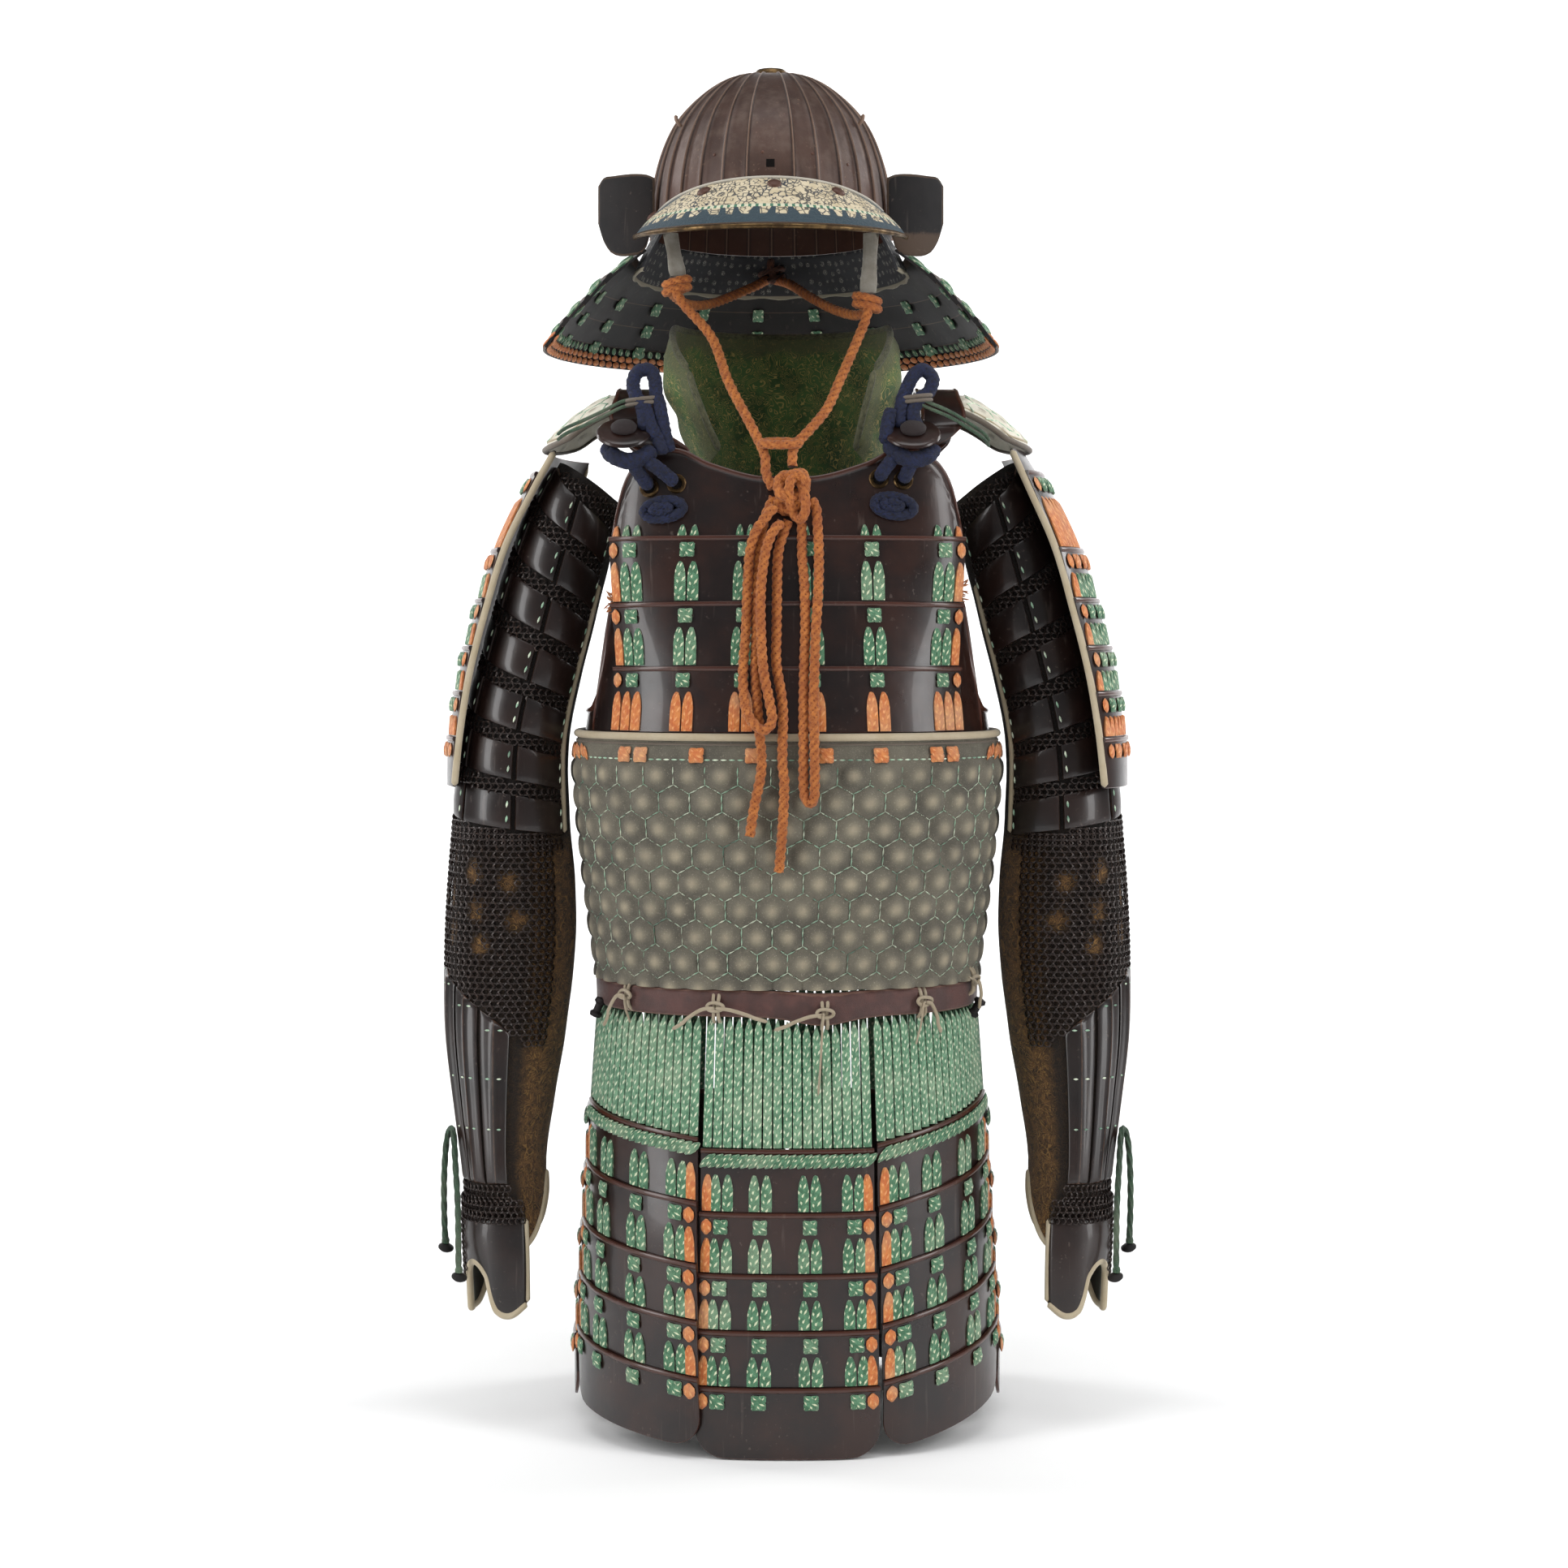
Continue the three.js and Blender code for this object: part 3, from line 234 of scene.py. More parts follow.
class Shape:
    """Points and faces of one piece, with the place of each face corner: across, along and edge mask."""

    def __init__(self):
        self.points = []
        self.count = 0
        self.faces = []

    def add_faces(self, index, places, material):
        self.faces.append((index, np.broadcast_to(places, index.shape + (3,)), material))

    def tubes(self, points, u, v, w=0.0, material=0, wrap=True, closed=False, caps=True):
        """Many alike bodies at once, points being (body, along, around, 3); u, v and w have one more
        column than the points where they go round."""
        points = np.asarray(points, float)
        n, m, k = points.shape[:3]
        first = self.count
        self.points.append(points.reshape(-1, 3))
        self.count += n * m * k
        index = first + np.arange(n * m * k).reshape(n, m, k)
        rows = np.concatenate([index, index[:, :1]], 1) if closed else index
        around = np.concatenate([rows, rows[:, :, :1]], 2) if wrap else rows
        places = np.stack(np.broadcast_arrays(u, v, w), -1).astype(float)
        places = np.broadcast_to(places, (n, m, k + (1 if wrap else 0), 3))
        if closed:
            places = np.concatenate([places, places[:, :1]], 1)

        def corners(grid):
            return np.stack([grid[:, :-1, :-1], grid[:, 1:, :-1], grid[:, 1:, 1:], grid[:, :-1, 1:]], 3)

        quads = corners(around).reshape(-1, 4)
        marks = corners(places).reshape(-1, 4, 3)
        flip = wrap and self._volume(points[0], closed) < 0
        if flip:
            quads, marks = quads[:, ::-1], marks[:, ::-1]
        self.add_faces(quads, marks, material)
        if wrap and not closed and caps:
            start, end = index[:, 0], index[:, -1][:, ::-1]
            for ring, row in ((start, 0), (end, -1)):
                if flip:
                    ring = ring[:, ::-1]
                self.add_faces(ring, places[:, row, :1], material)
        return index

    def _volume(self, points, closed):
        rows = np.concatenate([points, points[:1]]) if closed else points
        ring = np.concatenate([rows, rows[:, :1]], 1)
        a, b, c, d = ring[:-1, :-1], ring[1:, :-1], ring[1:, 1:], ring[:-1, 1:]
        middle = points.reshape(-1, 3).mean(0)
        total = 0.0
        for p, q, r in ((a, b, c), (a, c, d)):
            total += np.einsum("...i,...i", p - middle, np.cross(q - middle, r - middle)).sum()
        return total

    def wall(self, form, s, t, outer, inner, w=0.0, material=0, closed=False):
        """A plate on a form: s is (n,), the rows t and both heights are (n, k) from the top down."""
        s = np.asarray(s, float)[:, None]
        s, t, outer, inner, w = np.broadcast_arrays(s, t, outer, inner, w)
        loop_s = np.concatenate([s, s[:, ::-1]], 1)
        loop_t = np.concatenate([t, t[:, ::-1]], 1)
        loop_h = np.concatenate([outer, inner[:, ::-1]], 1)
        points = raised(form, loop_s, loop_t, loop_h)
        mask = np.concatenate([w, w[:, ::-1]], 1)
        extra = [np.concatenate([x, x[:, :1]], 1)[None] for x in (loop_s, loop_t, mask)]
        index = self.tubes(points[None], *extra, material=material, closed=closed, caps=False)[0]
        if closed:
            return
        flip = self._volume(points, False) < 0
        k = t.shape[1]
        for row, turned in ((0, False), (-1, True)):
            ring = index[row]
            out, back = ring[:k], ring[k:][::-1]
            quads = np.stack([out[:-1], out[1:], back[1:], back[:-1]], 1)
            if turned != flip:
                quads = quads[:, ::-1]
            place = np.array([s[row, 0], t[row].mean(), 0])
            self.add_faces(quads, place, material)

    def mirrored(self):
        """The same shape for the other side."""
        other = Shape()
        other.points = [p * (-1, 1, 1) for p in self.points]
        other.count = self.count
        other.faces = [(i[:, ::-1], p[:, ::-1], m) for i, p, m in self.faces]
        return other

    def moved(self, offset):
        self.points = [p + np.asarray(offset, float) for p in self.points]
        return self

    def build(self, name, materials, slot, replaces=(), sharp=40):
        """Makes the object, and says what it rides on and which solids it stands for. Its slot is not used.
        """
        mesh = bpy.data.meshes.new(name)
        points = np.concatenate(self.points) * MM
        sizes = np.concatenate([np.full(len(i), i.shape[1]) for i, _, _ in self.faces])
        loops = np.concatenate([i.ravel() for i, _, _ in self.faces])
        places = np.concatenate([p.reshape(-1, 3) for _, p, _ in self.faces])
        slots = np.concatenate([np.full(len(i), m) for i, _, m in self.faces])
        mesh.vertices.add(len(points))
        mesh.vertices.foreach_set("co", points.ravel())
        mesh.loops.add(len(loops))
        mesh.loops.foreach_set("vertex_index", loops.astype(np.int32))
        mesh.polygons.add(len(sizes))
        starts = np.concatenate([[0], np.cumsum(sizes)[:-1]])
        mesh.polygons.foreach_set("loop_start", starts.astype(np.int32))
        mesh.polygons.foreach_set("material_index", slots.astype(np.int32))
        mesh.update(calc_edges=True)
        place = mesh.attributes.new("place", "FLOAT_VECTOR", "CORNER")
        place.data.foreach_set("vector", places.astype(np.float32).ravel())
        mesh.shade_smooth()
        mesh.set_sharp_from_angle(angle=math.radians(sharp))
        for material in materials:
            mesh.materials.append(material)
        piece = bpy.data.objects.new(name, mesh)
        bpy.context.scene.collection.objects.link(piece)
        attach(piece, BODY)
        if replaces:
            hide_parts(*replaces)
        return piece


def ease(value, low, high):
    """0 below low, 1 above high, smooth between."""
    t = np.clip((np.asarray(value, float) - low) / (high - low), 0, 1)
    return t * t * (3 - 2 * t)


def ring_of(sides, phase=0.0):
    return phase + np.arange(sides) * 2 * math.pi / sides


def spline(route, count, closed=False):
    """Evenly spaced points on a smooth curve through a route."""
    route = np.asarray(route, float)
    ends = [2 * route[0] - route[1]], [2 * route[-1] - route[-2]]
    knots = np.concatenate([route[-1:], route, route[:2]] if closed else [ends[0], route, ends[1]])
    spans = len(knots) - 3
    t = np.linspace(0, spans, spans * 24 + 1)
    i = np.minimum(t.astype(int), spans - 1)
    f = (t - i)[:, None]
    a, b, c, d = (knots[i + k] for k in range(4))
    line = b + 0.5 * f * (c - a + f * (2 * a - 5 * b + 4 * c - d + f * (3 * (b - c) + d - a)))
    run = np.concatenate([[0], np.cumsum(np.linalg.norm(np.diff(line, axis=0), axis=1))])
    at = np.linspace(0, run[-1], count)
    return np.stack([np.interp(at, run, line[:, k]) for k in range(3)], -1)


def sides_of(line):
    """Two directions across a line at each of its points, carried along without twisting."""
    ahead = np.gradient(line, axis=0)
    ahead /= np.linalg.norm(ahead, axis=1, keepdims=True)
    side = np.cross(ahead[0], (0.0, 1.0, 0.0))
    if np.linalg.norm(side) < 0.1:
        side = np.cross(ahead[0], (1.0, 0.0, 0.3))
    sides = []
    for direction in ahead:
        side = side - direction * side.dot(direction)
        side = side / np.linalg.norm(side)
        sides.append(side)
    sides = np.array(sides)
    return sides, np.cross(ahead, sides)


def add_cord(shape, line, radius, sides=8, flat=1.0, twist=0.0, strands=0, groove=0.0, material=0,
             taper=0.0):
    """A cord along a line of points, plain or laid up from strands that turn once in every twist."""
    line = np.asarray(line, float)
    first, second = sides_of(line)
    run = np.concatenate([[0], np.cumsum(np.linalg.norm(np.diff(line, axis=0), axis=1))])
    angle = ring_of(sides)[None, :]
    reach = np.full((len(line), sides), float(radius))
    turn = 2 * math.pi * run[:, None] / twist if twist else 0
    if strands:
        lobes = np.abs(np.sin(strands * (angle - turn) / 2))
        reach *= 1 - groove + groove * lobes
        # depth, 0 in the grooves between strands, goes out as the mask for the cord's painted shade
        depth = np.concatenate([lobes, lobes[:, :1]], 1)[None]
    else:
        depth = 1.0
    if taper:
        ends = np.minimum(run, run[-1] - run) / taper
        reach *= np.sqrt(np.clip(1 - (1 - np.clip(ends, 0, 1)) ** 2, 0.02, 1))[:, None]
    offset = first[:, None] * (reach * np.cos(angle))[..., None]
    offset = offset + second[:, None] * (reach * np.sin(angle))[..., None] * flat
    wide = np.concatenate([ring_of(sides), [2 * math.pi]])[None, None, :]
    twisted = wide - (turn[None] if strands else 0)
    shape.tubes((line[:, None] + offset)[None], twisted * radius, run[None, :, None], depth,
                material=material)
    return run[-1]


def add_lathe(shape, profile, centre, axis, sides, material=0):
    """A turned piece: its profile is (radius, height) pairs along the axis."""
    axis = np.asarray(axis, float)
    axis = axis / np.linalg.norm(axis)
    first = np.cross(axis, (0.3, 0.9, 0.2))
    first /= np.linalg.norm(first)
    second = np.cross(axis, first)
    angle = ring_of(sides)
    radial = first * np.cos(angle)[:, None] + second * np.sin(angle)[:, None]
    profile = np.asarray(profile, float)
    reach, rise = (profile[:, k][:, None, None] for k in (0, 1))
    points = np.asarray(centre) + axis * rise + radial[None] * reach
    run = np.arange(len(profile), dtype=float)[None, :, None]
    wide = np.concatenate([angle, [2 * math.pi]])[None, None, :]
    shape.tubes(points[None], wide * profile[:, 0].max(), run, material=material)


def add_laces(shape, form, laces, base, thick, point_length=12.0, count=8):
    """Flat laces side by side: each is (s at the top, top, s at the end, end, width, and where they
    begin and end off the form if that isn't base). Their tops come out of the plate to a point."""
    laces = np.asarray(laces, float)
    if not len(laces):
        return
    sides = LACE_SIDES
    t = np.linspace(0, 1, count)[None, :, None]
    angle = ring_of(sides, math.pi / sides)[None, None, :]
    s0, z0, s1, z1, wide = (laces[:, k][:, None, None] for k in range(5))
    rise = np.sqrt(np.clip(1 - (1 - np.clip(t / 0.22, 0, 1)) ** 2, 0, 1))
    down = np.abs(z1 - z0) * t / point_length
    point = np.clip(down, 0, 1) ** 0.45 * (0.9 + 0.1 * t)
    point = np.maximum(point, 0.18)
    bow = 1 + 0.06 * np.sin(t * math.pi)
    half = wide / 2 * point * bow
    across = np.sign(np.cos(angle)) * np.abs(np.cos(angle)) ** 0.8
    s = s0 + (s1 - s0) * t + half * across
    z = z0 + (z1 - z0) * t + 0 * angle
    if laces.shape[1] > 5:
        first, last = (laces[:, k][:, None, None] for k in (5, 6))
        base = base + first + (last - first) * t
    h = base + thick / 2 * rise * (1 + np.sin(angle)) - 0.3
    points = raised(form, s, z, h)
    sign = np.sign(np.cos(ring_of(sides + 1, math.pi / sides)))[None, None, :]
    rounded = np.abs(np.cos(ring_of(sides + 1, math.pi / sides)))[None, None, :]
    run = np.abs(z1 - z0) * t + s0 * 1.7
    shape.tubes(points, sign * rounded, run, np.mod(s0 * 7.3 + z0, 1.0))


def add_knots(shape, form, places, base, size, thick=3.2):
    """Cross knots: two short flat laces that cross at each place (s, t)."""
    places = np.asarray(places, float)
    if not len(places):
        return
    sides = LACE_SIDES
    t = np.linspace(-1, 1, 6)[None, :, None]
    angle = ring_of(sides, math.pi / sides)[None, None, :]
    for order, lean in enumerate((math.radians(43), math.radians(-43))):
        run = t * size * 0.5
        bulge = np.sqrt(np.clip(1.02 - t ** 2, 0.03, 1)) * (0.72 + 0.28 * np.abs(t) ** 0.6)
        across = size * 0.36 * bulge * np.cos(angle)
        s = places[:, 0][:, None, None] + run * math.sin(lean) + across * math.cos(lean)
        z = places[:, 1][:, None, None] + run * math.cos(lean) - across * math.sin(lean)
        arch = (1 - t ** 2) * (1.1 if order else 0.1)
        h = base + thick / 2 * (1 + bulge * np.sin(angle)) + arch - 0.4
        wide = np.cos(ring_of(sides + 1, math.pi / sides))[None, None, :]
        shape.tubes(raised(form, s, z, h), wide, run + size, 0.3)


def tone(red, green, blue):
    """A colour from its three screen values, 0 to 255."""
    def linear(value):
        value /= 255
        return value / 12.92 if value <= 0.04045 else ((value + 0.055) / 1.055) ** 2.4
    return (linear(red), linear(green), linear(blue), 1.0)


class Tree:
    """Makes the nodes of a material or a node group."""

    def __init__(self, tree):
        self.tree = tree
        self.object_place = None
        self.own = None

    def put(self, socket, value):
        if isinstance(value, bpy.types.NodeSocket):
            self.tree.links.new(value, socket)
        else:
            socket.default_value = value

    def node(self, kind, inputs=None, **options):
        made = self.tree.nodes.new("ShaderNode" + kind)
        for key, value in options.items():
            setattr(made, key, value)
        for key, value in (inputs or {}).items():
            self.put(made.inputs[key], value)
        return made

    def calc(self, operation, *values, clamp=False):
        return self.node("Math", dict(enumerate(values)), operation=operation, use_clamp=clamp).outputs[0]

    def add(self, *values):
        total = values[0]
        for value in values[1:]:
            total = self.calc("ADD", total, value)
        return total

    def times(self, *values):
        total = values[0]
        for value in values[1:]:
            total = self.calc("MULTIPLY", total, value)
        return total

    def between(self, value, low, high):
        made = self.node("MapRange", {"Value": value, "From Min": low, "From Max": high},
                         interpolation_type="SMOOTHSTEP")
        return made.outputs["Result"]

    def blend(self, factor, first, second):
        made = self.node("Mix", {0: factor, 6: first, 7: second}, data_type="RGBA")
        return made.outputs[2]

    def here(self):
        """The surface point in metres."""
        if self.object_place is None:
            self.object_place = self.node("TexCoord").outputs["Object"]
        return self.object_place

    def place(self):
        """The corner marks: across and along in millimetres, and the edge mask."""
        if self.own is None:
            made = self.node("Attribute", attribute_name="place", attribute_type="GEOMETRY")
            parts = self.node("SeparateXYZ", {0: made.outputs["Vector"]})
            self.own = parts.outputs[:3]
        return self.own

    def joined(self, x, y):
        return self.node("CombineXYZ", {0: x, 1: y, 2: 0.0}).outputs[0]

    def noise(self, size, detail=3.0, rough=0.55, at=None, warp=0.0):
        """Noise with features of size millimetres."""
        scale = (1.0 if at is not None else 1000.0) / size
        made = self.node("TexNoise", {"Vector": at if at is not None else self.here(), "Scale": scale,
                                      "Detail": detail, "Roughness": rough, "Distortion": warp})
        return made.outputs["Fac"]

    def cells(self, size, at, random, feature="F1"):
        """Distances in scattered cells of size millimetres."""
        made = self.node("TexVoronoi", {"Vector": at, "Scale": 1.0 / size, "Randomness": random},
                         feature=feature)
        return made.outputs["Distance"]

    def group(self, tree, **inputs):
        made = self.tree.nodes.new("ShaderNodeGroup")
        made.node_tree = tree
        for key, value in inputs.items():
            self.put(made.inputs[key.replace("_", " ")], value)
        return made.outputs


class Finish(Tree):
    """One material: a Principled BSDF and the nodes that feed it."""

    def __init__(self, name, **fixed):
        self.material = bpy.data.materials.new(name)
        self.material.use_nodes = True
        super().__init__(self.material.node_tree)
        self.shader = self.tree.nodes["Principled BSDF"]
        for key, value in fixed.items():
            self.shader.inputs[key.replace("_", " ")].default_value = value

    def set(self, **values):
        for key, value in values.items():
            self.put(self.shader.inputs[key.replace("_", " ")], value)

    def relief(self, *layers):
        """Bumps laid over each other: each is (height, depth in millimetres)."""
        normal = None
        for height, depth in layers:
            inputs = {"Height": height, "Distance": depth * MM, "Strength": 1.0}
            if normal is not None:
                inputs["Normal"] = normal
            normal = self.node("Bump", inputs).outputs[0]
        self.put(self.shader.inputs["Normal"], normal)


def new_group(name, inputs, outputs):
    """A shader node group with number inputs, and the tree that fills it."""
    tree = bpy.data.node_groups.new(name, "ShaderNodeTree")
    for label, value in inputs.items():
        made = tree.interface.new_socket(label, in_out="INPUT", socket_type="NodeSocketFloat")
        made.default_value = value
    for label in outputs:
        tree.interface.new_socket(label, in_out="OUTPUT", socket_type="NodeSocketFloat")
    build = Tree(tree)
    build.given = tree.nodes.new("NodeGroupInput").outputs
    build.result = tree.nodes.new("NodeGroupOutput").inputs
    return tree, build


def sized_noise(g, size, detail, rough, stretch=None):
    """Noise inside a group, with its size in millimetres given by a socket."""
    scale = g.calc("DIVIDE", 1000.0, size)
    at = g.here()
    if stretch:
        at = g.node("Mapping", {"Vector": at, "Scale": stretch}).outputs[0]
    made = g.node("TexNoise", {"Vector": at, "Scale": scale, "Detail": detail, "Roughness": rough})
    return made.outputs["Fac"]


def edge_wear_group():
    tree, g = new_group("Armour edge wear", {"Edge": 0.0, "Size": 6.0, "Amount": 0.5}, ["Mask"])
    rough = sized_noise(g, g.given["Size"], 5.0, 0.7)
    worn = g.add(g.times(g.given["Edge"], 0.75), g.times(g.calc("SUBTRACT", rough, 0.5), g.given["Amount"]))
    g.put(g.result["Mask"], g.between(worn, 0.35, 0.6))
    return tree


def mottle_group():
    outputs = ["Mottle", "Specks", "Scratches"]
    tree, g = new_group("Armour mottling", {"Size": 40.0}, outputs)
    size = g.given["Size"]
    g.put(g.result["Mottle"], g.between(sized_noise(g, size, 6.0, 0.6), 0.36, 0.66))
    specks = sized_noise(g, g.times(size, 0.06), 2.0, 0.5)
    patches = sized_noise(g, g.times(size, 0.7), 3.0, 0.6)
    g.put(g.result["Specks"], g.times(g.between(specks, 0.64, 0.72), g.between(patches, 0.42, 0.68)))
    lines = sized_noise(g, g.times(size, 0.12), 3.0, 0.6, (1.0, 1.0, 0.06))
    g.put(g.result["Scratches"], g.between(lines, 0.63, 0.72))
    return tree


def grain_group():
    tree, g = new_group("Armour leather grain", {"Size": 1.2}, ["Height", "Creases"])
    scale = g.calc("DIVIDE", 1000.0, g.given["Size"])
    cells = g.node("TexVoronoi", {"Vector": g.here(), "Scale": scale}, feature="DISTANCE_TO_EDGE")
    pebbles = g.between(cells.outputs["Distance"], 0.0, 0.28)
    folds = sized_noise(g, g.times(g.given["Size"], 9.0), 5.0, 0.7)
    g.put(g.result["Height"], g.add(g.times(pebbles, 0.5), g.times(folds, 0.5)))
    g.put(g.result["Creases"], g.between(folds, 0.4, 0.62))
    return tree


def braid_group():
    """A flat braid: threads that cross in a V, with light flecks in steps along it."""
    inputs = {"Across": 0.0, "Along": 0.0, "Pitch": 3.2, "Fleck": 6.0}
    tree, g = new_group("Armour braid", inputs, ["Height", "Flecks", "Valley"])
    across, along = g.given["Across"], g.given["Along"]
    side = g.calc("ABSOLUTE", across)
    slant = g.calc("DIVIDE", g.add(along, g.times(side, -3.4)), g.given["Pitch"])
    wave = g.calc("SINE", g.times(slant, 2 * math.pi))
    ribs = g.calc("POWER", g.calc("ABSOLUTE", wave), 0.6)
    middle = g.between(side, 0.0, 0.14)
    g.put(g.result["Height"], g.times(ribs, middle))
    # Valley: low in the grooves between threads, the mask of the laces' painted shade
    g.put(g.result["Valley"], g.times(ribs, g.add(0.3, g.times(middle, 0.7))))
    leap = g.calc("SINE", g.times(g.calc("DIVIDE", g.add(along, g.times(side, 5.0)), g.given["Fleck"]),
                                  2 * math.pi))
    row = g.calc("SINE", g.add(g.times(across, 8.5), g.times(along, 0.35)))
    g.put(g.result["Flecks"], g.times(g.between(leap, 0.1, 0.8), g.between(row, -0.1, 0.7)))
    return tree


def weave_group():
    tree, g = new_group("Armour weave", {"Across": 0.0, "Along": 0.0, "Pitch": 0.9}, ["Height", "Thread"])
    turn = g.calc("DIVIDE", 2 * math.pi, g.given["Pitch"])
    warp = g.calc("SINE", g.times(g.given["Across"], turn))
    weft = g.calc("SINE", g.times(g.given["Along"], turn))
    g.put(g.result["Height"], g.calc("MAXIMUM", g.calc("ABSOLUTE", warp), g.calc("ABSOLUTE", weft)))
    g.put(g.result["Thread"], g.between(g.times(warp, weft), -0.3, 0.3))
    return tree


def fibre_group():
    tree, g = new_group("Armour fibre", {"Size": 0.8}, ["Fuzz", "Clumps"])
    g.put(g.result["Fuzz"], sized_noise(g, g.given["Size"], 4.0, 0.75))
    g.put(g.result["Clumps"], g.between(sized_noise(g, g.times(g.given["Size"], 6.0), 3.0, 0.6), 0.35, 0.65))
    return tree


GROUPS = {}
FINISHES = {}


def shared(name):
    makers = {
        "edge_wear": edge_wear_group, "mottle": mottle_group, "grain": grain_group, "braid": braid_group,
        "weave": weave_group, "fibre": fibre_group,
    }
    if name not in GROUPS:
        GROUPS[name] = makers[name]()
    return GROUPS[name]


def finish(name):
    """The material of that name, made once."""
    if name not in FINISHES:
        FINISHES[name] = FINISH_MAKERS[name]().material
    return FINISHES[name]


def colour(name):
    return tuple(getattr(bpy.context.scene.armour_colours, name))


def russet_iron():
    """The bowl: brown lacquered iron, dusty between its ridges and rubbed along them, with painted shade
    beside each ridge and a painted highlight along its top.
    """
    f = Finish("russet iron", Coat_Weight=0.12, Coat_Roughness=0.35)
    _, v, w = f.place()
    marks = f.group(shared("mottle"), Size=44.0)
    worn = f.group(shared("edge_wear"), Edge=w, Size=5.0, Amount=0.7)["Mask"]
    base = f.blend(f.times(marks["Mottle"], 0.6), colour("iron"), tone(48, 31, 25))
    dust = f.times(f.between(f.noise(14, 4, 0.6), 0.42, 0.7), f.between(v, 160.0, 235.0), 0.55)
    base = f.blend(dust, base, tone(94, 77, 67))
    base = f.blend(f.times(f.between(v, 205.0, 165.0), 0.6), base, tone(86, 52, 38))
    # painted shade on the flanks beside each ridge
    base = f.blend(f.times(f.between(w, 0.05, 0.3), f.between(w, 0.75, 0.4), 0.75), base, tone(34, 22, 18))
    # painted highlight along each ridge top
    base = f.blend(f.times(f.between(w, 0.7, 0.95), 0.8), base, tone(132, 108, 92))
    base = f.blend(f.times(worn, 0.3), base, tone(126, 100, 84))
    base = f.blend(f.times(marks["Specks"], 0.5), base, tone(140, 110, 88))
    rust = f.between(f.noise(3.5, 5, 0.7), 0.6, 0.72)
    base = f.blend(f.times(rust, 0.35), base, tone(40, 26, 22))
    f.set(Base_Color=base, Roughness=f.add(0.36, f.times(f.noise(9, 5, 0.7), 0.3)), Metallic=0.35)
    f.relief((f.noise(1.6, 5, 0.7), 0.12), (f.noise(18, 3), 0.35))
    return f


def lacquer(name, base_tone, brown_tone, rim_tone, gloss=0.2, coat=0.25):
    f = Finish(name, Coat_Weight=coat, Coat_Roughness=0.06, Specular_IOR_Level=0.25 + 0.8 * coat)
    w = f.place()[2]
    marks = f.group(shared("mottle"), Size=60.0)
    worn = f.group(shared("edge_wear"), Edge=w, Size=7.0, Amount=0.45)["Mask"]
    base = f.blend(f.times(marks["Mottle"], 0.8), base_tone, brown_tone)
    base = f.blend(f.times(worn, 0.75), base, rim_tone)
    base = f.blend(f.times(marks["Specks"], 0.3), base, tone(120, 104, 96))
    base = f.blend(f.times(marks["Scratches"], 0.12), base, tone(130, 116, 108))
    rough = f.add(gloss, f.times(f.noise(25, 5, 0.65), 0.22), f.times(marks["Specks"], 0.2))
    f.set(Base_Color=base, Roughness=rough)
    f.relief((f.noise(34, 2, 0.5), 0.55), (f.noise(2.2, 3, 0.6), 0.02))
    return f


def black_lacquer():
    return lacquer("black lacquer", colour("lacquer"), tone(48, 26, 19), tone(72, 38, 27))


def dull_lacquer():
    return lacquer("dull black lacquer", tone(22, 20, 21), tone(36, 31, 30), tone(80, 64, 52), 0.46, 0.0)


def sleeve_lacquer():
    return lacquer("sleeve lacquer", tone(22, 15, 14), tone(38, 24, 20), tone(88, 62, 46), 0.24)


def flat_leather(name, base_tone, dark_tone, worn_tone, size=1.3, rough=0.75):
    """Plain leather: grain, creases, and worn or soiled places."""
    f = Finish(name, Sheen_Weight=0.15, Sheen_Roughness=0.5)
    w = f.place()[2]
    grain = f.group(shared("grain"), Size=size)
    marks = f.group(shared("mottle"), Size=22.0)
    worn = f.group(shared("edge_wear"), Edge=w, Size=5.0, Amount=0.7)["Mask"]
    base = f.blend(f.times(marks["Mottle"], 0.7), base_tone, dark_tone)
    base = f.blend(f.times(grain["Creases"], 0.25), base, dark_tone)
    base = f.blend(f.times(worn, 0.7), base, worn_tone)
    f.set(Base_Color=base, Roughness=f.add(rough - 0.12, f.times(f.noise(6, 4), 0.24)))
    f.relief((grain["Height"], 0.22), (f.noise(5, 4, 0.6), 0.3))
    return f


def belt_leather():
    return flat_leather("belt leather", colour("belt"), tone(52, 30, 26), tone(118, 84, 70), 1.0, 0.55)


def pale_leather():
    return flat_leather("pale leather", colour("piping"), tone(196, 182, 150), tone(150, 134, 108))


def thong_leather():
    return flat_leather("thong leather", tone(205, 195, 175), tone(168, 154, 130), tone(140, 124, 100), 0.8)


def loop_leather():
    return flat_leather("loop leather", tone(150, 146, 136), tone(112, 104, 92), tone(196, 190, 176), 1.1,
                        0.7)


def wing_leather():
    return flat_leather("wing leather", tone(226, 222, 208), tone(190, 182, 160), tone(128, 118, 98), 1.4)


def dark_leather():
    return flat_leather("dark leather", tone(44, 40, 40), tone(30, 27, 27), tone(110, 98, 84), 1.2, 0.6)


